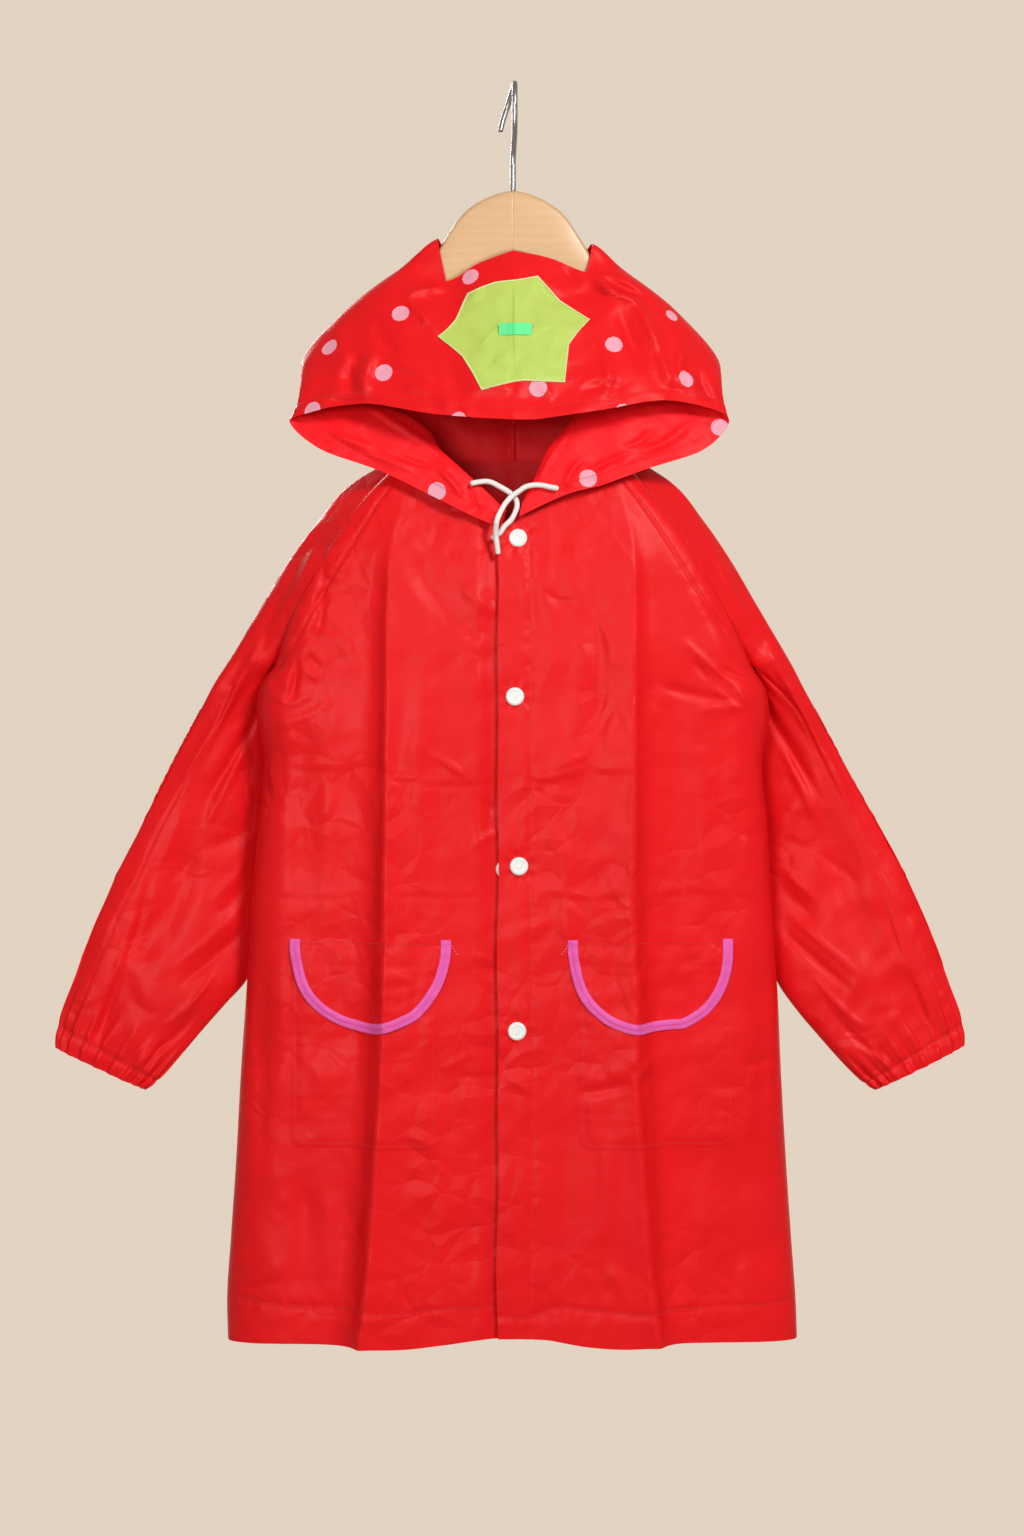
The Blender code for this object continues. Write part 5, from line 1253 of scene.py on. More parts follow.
class Nodes:
    """A material's node tree, built from words."""

    def __init__(self, name: str) -> None:
        """Makes an empty material with a Principled shader.

        Args:
            name: The material's name.
        """
        self.material = bpy.data.materials.new(name)
        self.material.use_nodes = True
        self.tree = self.material.node_tree
        self.shader = self.tree.nodes["Principled BSDF"]

    def add(self, kind: str, settings: dict | None = None, **inputs: object) -> Node:
        """Adds a node.

        Args:
            kind: The node's type.
            settings: Its properties.
            **inputs: Its inputs by name, with _ for a space: values, or sockets to link.

        Returns:
            The node.
        """
        node = self.tree.nodes.new(kind)
        for key, value in (settings or {}).items():
            setattr(node, key, value)
        for key, value in inputs.items():
            name = key.replace("_", " ")
            socket = node.inputs[int(key[1:])] if key[0] == "i" and key[1:].isdigit() else node.inputs[name]
            self.put(socket, value)
        return node

    def put(self, socket: NodeSocket, value: object) -> None:
        """Sets or links a socket.

        Args:
            socket: The input.
            value: A value, or a socket to link from.
        """
        if isinstance(value, NodeSocket):
            self.tree.links.new(value, socket)
        elif isinstance(value, tuple) and len(value) == 3 and socket.type == "RGBA":
            socket.default_value = (*value, 1.0)
        else:
            socket.default_value = value

    def maths(self, operation: str, *values: object) -> NodeSocket:
        """A Math node.

        Args:
            operation: What it does.
            *values: Its inputs.

        Returns:
            Its output.
        """
        node = self.tree.nodes.new("ShaderNodeMath")
        node.operation = operation
        for socket, value in zip(node.inputs, values):
            self.put(socket, value)
        return node.outputs[0]

    def mix(self, factor: object, first: object, second: object) -> NodeSocket:
        """Mixes two colours.

        Args:
            factor: How much of the second.
            first: A colour or socket.
            second: A colour or socket.

        Returns:
            The mixed colour.
        """
        node = self.tree.nodes.new("ShaderNodeMix")
        node.data_type = "RGBA"
        for socket, value in zip((node.inputs[0], node.inputs[6], node.inputs[7]), (factor, first, second)):
            self.put(socket, value)
        return node.outputs[2]

    def noise(self, scale: float, detail: float = 3.0, vector: object = None) -> NodeSocket:
        """Noise on the object's own coordinates.

        Args:
            scale: Its scale, per metre.
            detail: Its detail.
            vector: Other coordinates, or None.

        Returns:
            Its value from 0 to 1.
        """
        if vector is None:
            vector = self.add("ShaderNodeTexCoord").outputs["Object"]
        return self.add("ShaderNodeTexNoise", Vector=vector, Scale=scale, Detail=detail).outputs["Fac"]

    def weave(self, pitch: float) -> NodeSocket:
        """A plain weave on the flat pattern: threads across and down that pass over each other.

        Args:
            pitch: The gap between two threads, in metres.

        Returns:
            The threads' height from 0 to 1.
        """
        place = self.add("ShaderNodeUVMap", {"uv_map": "cloth"}).outputs["UV"]
        split = self.add("ShaderNodeSeparateXYZ", Vector=place)
        wave = 3.14159 / pitch
        u = self.maths("SINE", self.maths("MULTIPLY", split.outputs[0], wave))
        v = self.maths("SINE", self.maths("MULTIPLY", split.outputs[1], wave))
        return self.maths("ADD", self.maths("MULTIPLY", self.maths("MULTIPLY", u, v), 0.5), 0.5)

    def bump(self, height: object, strength: float, distance: float, normal: object = None) -> NodeSocket:
        """A bump.

        Args:
            height: The height's socket.
            strength: How strong it is.
            distance: How high 1 is, in metres.
            normal: A bump below it, or None.

        Returns:
            The normal.
        """
        node = self.add("ShaderNodeBump", Height=height, Strength=strength, Distance=distance)
        if normal is not None:
            self.put(node.inputs["Normal"], normal)
        return node.outputs["Normal"]

    def finish(self, **inputs: object) -> Material:
        """Sets the shader's inputs.

        Args:
            **inputs: Its inputs by name, with _ for a space.

        Returns:
            The material.
        """
        for key, value in inputs.items():
            self.put(self.shader.inputs[key.replace("_", " ")], value)
        return self.material


@dataclass(frozen=True)
class Taffeta:
    """Coated taffeta: a fine plain weave under a thin glossy coat, with small wrinkles.

    Attributes:
        name: The material's name.
        colour: Its colour.
        deep: The colour of its shaded thread.
        rough: Its roughness.
        wrinkle: How strong the small wrinkles are.
        dots: The colour of the printed dots, or None.
        dot_field: The name of the number that is the distance from the nearest dot, in mm.
    """

    name: str
    colour: Colour
    deep: Colour
    rough: float = 0.42
    wrinkle: float = 0.35
    dots: Colour | None = None
    dot_field: str = "dot"

    def build(self) -> Material:
        """Builds the material.

        Returns:
            The material.
        """
        n = Nodes(self.name)
        broad = n.noise(7.0, 2.0)
        fine = n.noise(420.0, 2.0)
        colour = n.mix(n.maths("MULTIPLY", broad, 0.55), self.colour, self.deep)
        colour = n.mix(n.maths("MULTIPLY", fine, 0.18), colour, self.deep)
        if self.dots is not None:
            far = n.add("ShaderNodeAttribute", {"attribute_name": self.dot_field}).outputs["Fac"]
            ragged = n.maths("ADD", far, n.maths("MULTIPLY", n.maths("SUBTRACT", n.noise(260.0, 2.0), 0.5), 0.5))
            inside = n.maths("LESS_THAN", ragged, 7.4)
            print_colour = n.mix(n.noise(90.0, 3.0), self.dots, darker(self.dots, 0.82))
            colour = n.mix(inside, colour, print_colour)
        place = n.add("ShaderNodeTexCoord").outputs["Object"]
        cloud = n.add("ShaderNodeTexNoise", Vector=place, Scale=24.0, Detail=2.0).outputs["Color"]
        push = n.add("ShaderNodeVectorMath", {"operation": "SCALE"}, i0=cloud, Scale=0.02).outputs[0]
        bent = n.add("ShaderNodeVectorMath", {"operation": "ADD"}, i0=place, i1=push).outputs[0]
        cells = n.add("ShaderNodeTexVoronoi", {"feature": "DISTANCE_TO_EDGE"}, Vector=bent, Scale=34.0)
        patches = n.maths("MAXIMUM", n.maths("SUBTRACT", n.noise(9.0, 2.0), 0.42), 0.0)
        facets = n.maths("MULTIPLY", cells.outputs["Distance"], n.maths("MULTIPLY", patches, 2.6))
        small = n.bump(facets, 2.0 * self.wrinkle, 0.0085)
        smaller = n.bump(n.noise(85.0, 3.0), 0.8 * self.wrinkle, 0.0007, small)
        normal = n.bump(n.weave(0.00042), 0.22, 0.00006, smaller)
        rough = n.maths("ADD", n.maths("MULTIPLY", n.noise(22.0, 3.0), 0.16), self.rough - 0.08)
        return n.finish(Base_Color=colour, Roughness=rough, Normal=normal, Specular_IOR_Level=0.14)


@dataclass(frozen=True)
class Tape:
    """Woven tape or binding, with ribs across it.

    Attributes:
        name: The material's name.
        colour: Its colour.
        deep: The colour between its threads.
        pitch: The gap between two threads, in metres.
        rough: Its roughness.
    """

    name: str
    colour: Colour
    deep: Colour
    pitch: float = 0.0006
    rough: float = 0.62

    def build(self) -> Material:
        """Builds the material.

        Returns:
            The material.
        """
        n = Nodes(self.name)
        weave = n.weave(self.pitch)
        colour = n.mix(n.maths("MULTIPLY", weave, 0.45), self.colour, self.deep)
        colour = n.mix(n.maths("MULTIPLY", n.noise(60.0, 3.0), 0.4), colour, self.deep)
        normal = n.bump(weave, 0.5, 0.00012, n.bump(n.noise(120.0, 3.0), 0.3, 0.0005))
        return n.finish(Base_Color=colour, Roughness=self.rough, Normal=normal, Sheen_Weight=0.15,
                        Sheen_Roughness=0.5)


@dataclass(frozen=True)
class Plastic:
    """Moulded plastic with faint mould texture and handling marks.

    Attributes:
        name: The material's name.
        colour: Its colour.
        rough: Its roughness.
    """

    name: str
    colour: Colour
    rough: float = 0.3

    def build(self) -> Material:
        """Builds the material.

        Returns:
            The material.
        """
        n = Nodes(self.name)
        colour = n.mix(n.noise(110.0, 3.0), self.colour, darker(self.colour, 0.9))
        rough = n.maths("ADD", n.maths("MULTIPLY", n.noise(300.0, 3.0), 0.15), self.rough - 0.06)
        normal = n.bump(n.noise(900.0, 2.0), 0.12, 0.0001)
        return n.finish(Base_Color=colour, Roughness=rough, Normal=normal, Subsurface_Weight=0.05,
                        Coat_Weight=0.15, Coat_Roughness=0.2)


@dataclass(frozen=True)
class Braid:
    """A braided cord: two sets of strands that cross round it.

    Attributes:
        name: The material's name.
        colour: Its colour.
        shade: The colour between its strands.
    """

    name: str
    colour: Colour
    shade: Colour

    def build(self) -> Material:
        """Builds the material.

        Returns:
            The material.
        """
        n = Nodes(self.name)
        place = n.add("ShaderNodeUVMap", {"uv_map": "cloth"}).outputs["UV"]
        split = n.add("ShaderNodeSeparateXYZ", Vector=place)
        along = n.maths("MULTIPLY", split.outputs[1], 2 * np.pi / 0.0034)
        around = n.maths("MULTIPLY", split.outputs[0], 2 * np.pi * 5)
        one = n.maths("SINE", n.maths("ADD", along, around))
        two = n.maths("SINE", n.maths("SUBTRACT", along, around))
        height = n.maths("ADD", n.maths("MULTIPLY", n.maths("ADD", one, two), 0.25), 0.5)
        colour = n.mix(n.maths("MULTIPLY", n.maths("SUBTRACT", 1.0, height), 0.7), self.colour, self.shade)
        normal = n.bump(height, 0.6, 0.0003, n.bump(n.noise(900.0, 2.0), 0.3, 0.0002))
        return n.finish(Base_Color=colour, Roughness=0.7, Normal=normal, Sheen_Weight=0.2)


@dataclass(frozen=True)
class Timber:
    """Varnished pale wood, with its grain along one way and growth rings warped by noise.

    Attributes:
        name: The material's name.
        colour: Its colour.
        grain: The colour of its grain.
    """

    name: str
    colour: Colour
    grain: Colour

    def build(self) -> Material:
        """Builds the material.

        Returns:
            The material.
        """
        n = Nodes(self.name)
        place = n.add("ShaderNodeTexCoord").outputs["Object"]
        stretched = n.add("ShaderNodeMapping", Vector=place, Rotation=(0.0, 0.12, 0.0),
                          Scale=(9.0, 60.0, 75.0)).outputs["Vector"]
        fibre = n.noise(6.0, 5.0, stretched)
        wide = n.add("ShaderNodeMapping", Vector=place, Rotation=(0.0, -0.05, 0.0),
                     Scale=(3.5, 30.0, 26.0)).outputs["Vector"]
        rings = n.add("ShaderNodeTexWave", {"bands_direction": "Z"}, Vector=wide, Scale=1.6, Distortion=5.0,
                      Detail=3.0, Detail_Scale=1.2).outputs["Fac"]
        pores = n.add("ShaderNodeMapping", Vector=place, Scale=(120.0, 900.0, 900.0)).outputs["Vector"]
        flecks = n.maths("GREATER_THAN", n.noise(1.0, 2.0, pores), 0.66)
        colour = n.mix(n.maths("MULTIPLY", fibre, 0.6), self.colour, self.grain)
        colour = n.mix(n.maths("MULTIPLY", rings, 0.22), colour, self.grain)
        colour = n.mix(n.maths("MULTIPLY", flecks, 0.25), colour, darker(self.grain, 0.7))
        rough = n.maths("ADD", n.maths("MULTIPLY", fibre, 0.2), 0.3)
        normal = n.bump(fibre, 0.12, 0.0003)
        return n.finish(Base_Color=colour, Roughness=rough, Normal=normal, Coat_Weight=0.25, Coat_Roughness=0.25)


@dataclass(frozen=True)
class Steel:
    """Bright drawn wire with fine scratches along it.

    Attributes:
        name: The material's name.
        colour: Its colour.
    """

    name: str
    colour: Colour

    def build(self) -> Material:
        """Builds the material.

        Returns:
            The material.
        """
        n = Nodes(self.name)
        place = n.add("ShaderNodeTexCoord").outputs["Object"]
        drawn = n.add("ShaderNodeMapping", Vector=place, Scale=(900.0, 900.0, 40.0)).outputs["Vector"]
        scratch = n.noise(1.0, 3.0, drawn)
        rough = n.maths("ADD", n.maths("MULTIPLY", scratch, 0.1), 0.28)
        colour = n.mix(n.noise(40.0, 3.0), self.colour, darker(self.colour, 0.6))
        return n.finish(Base_Color=colour, Metallic=1.0, Roughness=rough)


def made(finish: Taffeta | Tape | Plastic | Braid | Timber | Steel) -> Material:
    """A field that holds a finish's material, built when the fields are."""
    return field(default_factory=finish.build)


@dataclass
class Finishes:
    """The materials, built once each."""

    red: Material = made(Taffeta("red_taffeta", RED, RED_DEEP))
    printed: Material = made(Taffeta("printed_taffeta", RED, RED_DEEP, dots=DOT_PINK))
    inner: Material = made(Taffeta("taffeta_wrong_side", RED_INNER, RED_DEEP, 0.5))
    # The hood's wrong side is painted brighter than the cloth's red: painted light in place of light shining through
    # the hood into its shade.
    hood_inner_painted_light: Material = made(Taffeta("hood_wrong_side_painted_light", HOOD_INNER_PAINTED_LIGHT, RED_INNER, 0.5, dots=DOT_PINK,
                                        dot_field="inner_dot"))
    lime: Material = made(Taffeta("lime_taffeta", LIME, LIME_DEEP, 0.45, 0.5))
    edging: Material = made(Tape("pale_edging", EDGING, darker(EDGING, 0.8), 0.0007))
    pink: Material = made(Tape("pink_binding", PINK, PINK_DEEP))
    mint: Material = made(Tape("mint_tape", MINT, darker(MINT, 0.8), 0.0008, 0.55))
    plastic: Material = made(Plastic("white_plastic", WHITE))
    cord: Material = made(Braid("white_cord", WHITE, darker(WHITE, 0.72)))
    thread: Material = made(Tape("red_thread", THREAD, darker(THREAD, 0.7), 0.0004, 0.5))
    pink_thread: Material = made(Tape("pink_thread", PINK_THREAD, darker(PINK_THREAD, 0.8), 0.0004, 0.5))
    wood: Material = made(Timber("beech", WOOD, WOOD_GRAIN))
    steel: Material = made(Steel("steel_wire", (0.50, 0.50, 0.51)))


def cloth(name: str, nodes: tuple[str, ...], grid: Array, material: Material, cut: Cut,
          keep: Array | None = None, flip: bool = False, wall: float = CLOTH, inner: Material | None = None,
          values: dict[str, Array] | None = None, joined: bool = False) -> Object:
    """Makes a piece of cloth from its outer face: a thin shell that grows inwards from the grid.

    Args:
        name: The piece's name.
        nodes: The solids that it stands for.
        grid: The outer face's points, in mm.
        material: The outer face's material.
        cut: What it was cut to.
        keep: Which faces stay.
        flip: Whether the faces turn the other way.
        wall: The cloth's thickness, in mm.
        inner: The inner face's material, or None for the same.
        values: Named numbers for each point.
        joined: Whether points that coincide are joined.

    Returns:
        The piece.
    """
    faces = quads(grid.shape[0], grid.shape[1], keep, flip)
    obj = make_mesh(name, grid, faces, lengths_uv(grid), values)
    if joined:
        weld(obj)
    sharpen_rim(obj)
    obj.data.materials.append(material)
    shell = thicken(obj, wall)
    if inner is not None:
        obj.data.materials.append(inner)
        shell.material_offset = 1
        shell.material_offset_rim = 0
    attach(obj, "root")
    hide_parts(*nodes)
    corners = grid.reshape(-1, 3)[faces]
    diagonals = np.cross(corners[:, 2] - corners[:, 0], corners[:, 3] - corners[:, 1])
    area = lengths(diagonals).sum() * 0.5 * MM * MM
    LOG.info("%s: %d faces, %.4f square metres, cut %.3f x %.3f m", name, len(faces), area, cut.width, cut.length)
    return obj


def face_tree(obj: Object) -> BVHTree:
    """The faces of a mesh object, ready for rays."""
    return BVHTree.FromPolygons([v.co.copy() for v in obj.data.vertices],
                                [tuple(p.vertices) for p in obj.data.polygons])


class Skin:
    """The outer faces of some pieces, found from in front or from behind."""

    def __init__(self, *objects: Object) -> None:
        """Collects the pieces' faces.

        Args:
            *objects: The pieces, without their modifiers.
        """
        self.trees = [face_tree(obj) for obj in objects]

    def depth(self, x: Array, z: Array, behind: bool = False, missing: float = 0.0) -> Array:
        """The depth of the nearest face, seen from in front or from behind.

        Args:
            x: Across, in mm.
            z: Up, in mm.
            behind: Whether it is seen from behind.
            missing: The depth where there is no face.

        Returns:
            y in mm.
        """
        way = -1.0 if behind else 1.0
        found = []
        for px, pz in zip(np.ravel(x), np.ravel(z)):
            best = None
            for tree in self.trees:
                hit = tree.ray_cast(Vector((px * MM, -way * 0.4, pz * MM)), Vector((0, way, 0)))[0]
                if hit is not None and (best is None or (hit.y - best) * way < 0):
                    best = hit.y
            found.append(missing if best is None else best / MM)
        return np.array(found).reshape(np.shape(x))

    def lay(self, places: Array, off: float, behind: bool = False) -> Array:
        """Lays a line of (x, z) places on the pieces.

        Args:
            places: The places, one a row, in mm.
            off: How far off the cloth they lie, in mm.
            behind: Whether on the back.

        Returns:
            The points.
        """
        y = self.depth(places[:, 0], places[:, 1], behind, np.nan)
        good = ~np.isnan(y)
        y = np.interp(np.arange(len(y)), np.flatnonzero(good), y[good]) if good.any() else 0 * y
        return np.stack([places[:, 0], y + (off if behind else -off), places[:, 1]], axis=1)


def tube_mesh(name: str, path: Array, radii: Array, sides: int) -> Object:
    """A round tube with rounded ends: rings square to a path, carried along it without twist.

    Args:
        name: The object's name.
        path: The points of its middle line, in mm.
        radii: The radius at each.
        sides: How many points round it.

    Returns:
        The object, with a pattern of turns and metres along it.
    """
    way = unit(np.gradient(path, axis=0))
    ends = []
    for end, sign in ((0, -1.0), (-1, 1.0)):
        reach = np.array([0.98, 0.8, 0.45])[:: int(-sign)]
        spot = path[end] + sign * way[end] * radii[end] * 0.7 * reach[:, None]
        ends.append((spot, radii[end] * np.sqrt(1 - reach**2), np.repeat(way[end][None], 3, axis=0)))
    path, radii, way = (np.concatenate(three) for three in zip(ends[0], (path, radii, way), ends[1]))
    across = np.cross(way[0], (0.0, 1.0, 0.3))
    frames = []
    for k in range(len(path)):
        across = across - way[k] * np.dot(across, way[k])
        across = across / np.linalg.norm(across)
        frames.append(across)
    frames = np.array(frames)
    other = np.cross(way, frames)
    turn = 2 * np.pi * np.arange(sides + 1) / sides
    cosine, sine = np.cos(turn)[None, :, None], np.sin(turn)[None, :, None]
    grid = path[:, None, :] + radii[:, None, None] * (cosine * frames[:, None, :] + sine * other[:, None, :])
    run = walked(path) * MM
    uv = np.stack(np.broadcast_arrays(turn[None, :] / (2 * np.pi), run[:, None]), axis=-1)
    return make_mesh(name, grid[:, :-1], drum(len(path), sides), uv[:, :-1], shut=True)


@dataclass
class Stitching:
    """Rows of stitches, gathered into one piece.

    Attributes:
        name: The piece's name.
        length: A stitch's length, in mm.
        gap: The gap between two, in mm.
        radius: The thread's radius, in mm.
    """

    name: str
    length: float = 2.0
    gap: float = 0.8
    radius: float = 0.22
    points: list[Array] = field(default_factory=list)
    faces: list[Array] = field(default_factory=list)
    count: int = 0

    def row(self, path: Array) -> None:
        """Adds a row of stitches: each is a thread that comes up, lies along the path and goes down.

        Args:
            path: Points on the cloth, in mm.
        """
        path = resample(path, self.length + self.gap)
        if len(path) < 2:
            return
        start = path[:-1]
        way = unit(np.diff(path, axis=0))
        side = unit(np.cross(way, (0.0, 1.0, 0.0)), 1e-9)
        up = np.cross(side, way)
        up *= np.where(up[:, 1:2] > 0, -1.0, 1.0)
        reach = np.array([0.0, 0.25, 0.75, 1.0]) * self.length
        rise = np.array([-0.5, 0.35, 0.35, -0.5]) * self.radius
        size = np.array([0.35, 1.0, 1.0, 0.35]) * self.radius
        turn = 2 * np.pi * np.arange(5) / 5
        ring = np.cos(turn)[:, None, None] * side[None] + np.sin(turn)[:, None, None] * up[None]
        rings = start[:, None, None, :] + way[:, None, None, :] * reach[None, :, None, None]
        rings = rings + up[:, None, None, :] * rise[None, :, None, None]
        rings = rings + size[None, :, None, None] * ring.transpose(1, 0, 2)[:, None, :, :]
        n = len(start)
        block = quads(4, 5, closed=True)
        block = np.concatenate([block, [[0, 4, 3, 2], [0, 2, 1, 1], [15, 16, 17, 18], [15, 18, 19, 19]]])
        faces = block[None] + 20 * np.arange(n)[:, None, None] + self.count
        self.points.append(rings.reshape(-1, 3))
        self.faces.append(faces.reshape(-1, 4))
        self.count += 20 * n

    def build(self, material: Material, slot: str) -> None:
        """Makes the piece.

        Args:
            material: The thread's material.
            slot: Not used.
        """
        points = np.concatenate(self.points)
        faces = [tuple(f) if f[2] != f[3] else tuple(f[:3]) for f in np.concatenate(self.faces).tolist()]
        dress(make_mesh(self.name, points, faces, points[:, [0, 2]] * MM, shut=True), material, slot)
        LOG.info("%s: %d stitches", self.name, len(points) // 20)


def line_of(rows: list[tuple], depth: float = FRONT_DEPTH, steps: int = 8) -> Array:
    """A smooth line through places of the picture.

    Args:
        rows: The places, in picture units.
        depth: The depth they are set at, in mm.
        steps: How many steps between two places.

    Returns:
        x and z in mm, one row a point.
    """
    rows = np.array(rows, float)
    x, z = seen(rows[:, 0], rows[:, 1], depth)
    return spline(np.stack([x, z], axis=1), steps)


def groove(x: Array, z: Array, line: Array, width: float, depth: float, pucker: float = 0.0, seed: int = 1) -> Array:
    """A sewn line pressed into the cloth, with small puckers beside it.

    Args:
        x: Across, in mm.
        z: Up, in mm.
        line: The line's points.
        width: Its half width, in mm.
        depth: How deep it is, in mm.
        pucker: How high the puckers are, in mm.
        seed: Which puckers.

    Returns:
        The height to add, in mm.
    """
    px, pz = np.ravel(x), np.ravel(z)
    reach = 14.0
    near = (px > line[:, 0].min() - reach) & (px < line[:, 0].max() + reach)
    near &= (pz > line[:, 1].min() - reach) & (pz < line[:, 1].max() + reach)
    total = np.zeros(px.size)
    if not near.any():
        return total.reshape(np.shape(x))
    line = resample(line, 6.0)
    start = line[:-1]
    way = np.diff(line, axis=0)
    size = (way**2).sum(axis=1)
    at = np.stack([px[near], pz[near]], axis=1)
    best = np.full(len(at), 1e9)
    run = np.zeros(len(at))
    for k in range(len(start)):
        offset = at - start[k]
        t = np.clip((offset * way[k]).sum(axis=1) / size[k], 0, 1)
        far = np.linalg.norm(offset - t[:, None] * way[k], axis=1)
        closer = far < best
        best = np.where(closer, far, best)
        run = np.where(closer, (k + t) * 6.0, run)
    wave = np.sin(run / 1.9 + 2.0 * np.sin(run / 7.3 + seed)) * (0.6 + 0.4 * np.sin(run / 17.0 + seed))
    height = -depth * bell(best, width) * (1 + 0.25 * wave)
    height += pucker * wave * np.exp(-((best - 1.5 * width) / (3.0 * width)) ** 2)
    total[near] = height
    return total.reshape(np.shape(x))


@dataclass
class Body:
    """The two fronts and the back."""

    finishes: Finishes
    fronts: dict[int, Object] = field(default_factory=dict)

    def front_height(self, x: Array, z: Array, side: int) -> Array:
        """How far a front's creases and seams stand out.

        Args:
            x: Across, in mm.
            z: Up, in mm.
            side: -1 or 1.

        Returns:
            The height, in mm.
        """
        height = Relief(FRONT_CREASES, strength=2.2).height(x, z)
        height += 1.0 * swell(x, z, 95.0, 3) + 1.3 * crumple(x, z, 36.0, 11) + 0.3 * crumple(x, z, 15.0, 12)
        ridge = line_of(FOLD_RIDGE[side])
        outside = np.clip(side * (x - np.interp(-z, -ridge[:, 1], ridge[:, 0])), 0.0, None) / 8.0
        height -= 2.0 * outside * np.exp(1 - outside) * ease(-z, 385.0, 430.0)
        height += groove(x, z, line_of(RAGLAN_TOPSTITCH[side], -30.0), 1.4, 1.3, 0.5, 2)
        height += groove(x, z, line_of(HEM_STITCH[side]), 1.6, 1.3, 0.7, 5)
        height += 0.5 * ease(-z, 1015.0, 1022.0)
        if side > 0:
            height += groove(x, z, line_of(PLACKET_STITCH), 1.5, 0.6, 0.3, 7)
            height += 0.7 * (1 - ease(x, 8.0, 15.0)) * ease(-z, 370.0, 385.0)
        for k in range(len(SNAPS["x"]) if side > 0 else 0):
            dx, dz = x - SNAPS["x"][k], z - SNAPS["z"][k]
            far = np.hypot(dx, dz)
            spokes = np.sin(7.0 * np.arctan2(dz, dx) + 1.7 * k)
            height += (0.55 * spokes - 0.9) * bell(far - 9.0, 6.5)
        return height

    def build_front(self, side: int) -> None:
        """Makes a front.

        Args:
            side: -1 or 1.
        """
        grid = Coat.front_grid(side, FRONT_ACROSS, FRONT_DOWN)
        x, z = grid[..., 0], grid[..., 2]
        edge = np.ones(grid.shape[:2])
        first = grid[:, :1]
        edge *= 0.1 + 0.9 * ease(lengths(grid - first), 0.0, 9.0)
        edge *= 0.15 + 0.85 * ease(lengths(grid - grid[:1]), 0.0, 12.0)
        grid[..., 1] -= self.front_height(x, z, side) * edge
        sunk = np.exp(-lengths(grid - first) / 2.0)
        grid[..., 1] += 0.3 * sunk * (z > ARMHOLE[side]["fz"][-1])
        if side > 0:
            sway = 0.8 * swell(0 * z, z, 150.0, 71) * np.exp(-np.abs(x - x[:, -1:]) / 10.0)
            grid[..., 0] += sway * ease(-z, 400.0, 420.0)
        name = "front_" + Side(side).wearer
        self.fronts[side] = cloth(name + "_cloth", (name,), grid, self.finishes.red, FRONT_CUT[side],
                                  flip=side > 0, inner=self.finishes.inner)

    @staticmethod
    def back_hem(half: float) -> Array:
        """The stitch line of the back's hem, as x and z, out to half of it on each side."""
        return np.stack([np.linspace(-half, half, 60), np.full(60, BACK_HEM_STITCH)], axis=1)

    def build_back(self) -> None:
        """Makes the back, with creases of the same kind as the front's."""
        grid = Coat.back_grid(BACK_ACROSS, BACK_DOWN)
        x, z = grid[..., 0], grid[..., 2]
        height = Relief(BACK_CREASES, depth=30.0, mirrored=True, strength=2.0).height(x, z)
        height += 1.4 * swell(x, z, 90.0, 23) + 1.3 * crumple(x, z, 38.0, 17) + 0.3 * crumple(x, z, 15.0, 19)
        height += groove(x, z, self.back_hem(236.0), 1.6, 0.8, 0.45, 9)
        beside = np.minimum(lengths(grid - grid[:, :1]), lengths(grid - grid[:, -1:]))
        edge = 0.1 + 0.9 * ease(beside, 0.0, 9.0)
        edge *= 0.15 + 0.85 * ease(lengths(grid - grid[:1]), 0.0, 12.0)
        grid[..., 1] += height * edge
        self.back = cloth("back_cloth", ("back",), grid, self.finishes.red, BACK_CUT, flip=True,
                          inner=self.finishes.inner)

    def build(self) -> None:
        """Makes the three pieces and their sewing."""
        self.build_front(-1)
        self.build_front(1)
        self.build_back()
        rows = Stitching("body_stitches")
        for side in (-1, 1):
            skin = Skin(self.fronts[side])
            rows.row(skin.lay(line_of(RAGLAN_TOPSTITCH[side], -30.0)[2:-3], 0.1))
            rows.row(skin.lay(line_of(HEM_STITCH[side])[1:-1], 0.1))
        rows.row(Skin(self.fronts[1]).lay(line_of(PLACKET_STITCH)[1:-1], 0.1))
        behind = Skin(self.back)
        rows.row(behind.lay(self.back_hem(234.0), 0.1, behind=True))
        for side in (-1, 1):
            seam = Coat.armhole(side, np.linspace(0.05, 0.97, 40), "b")[:, [0, 2]]
            seam[:, 0] -= side * 8.0
            rows.row(behind.lay(seam, 0.1, behind=True))
        rows.build(self.finishes.thread, "red_taffeta")


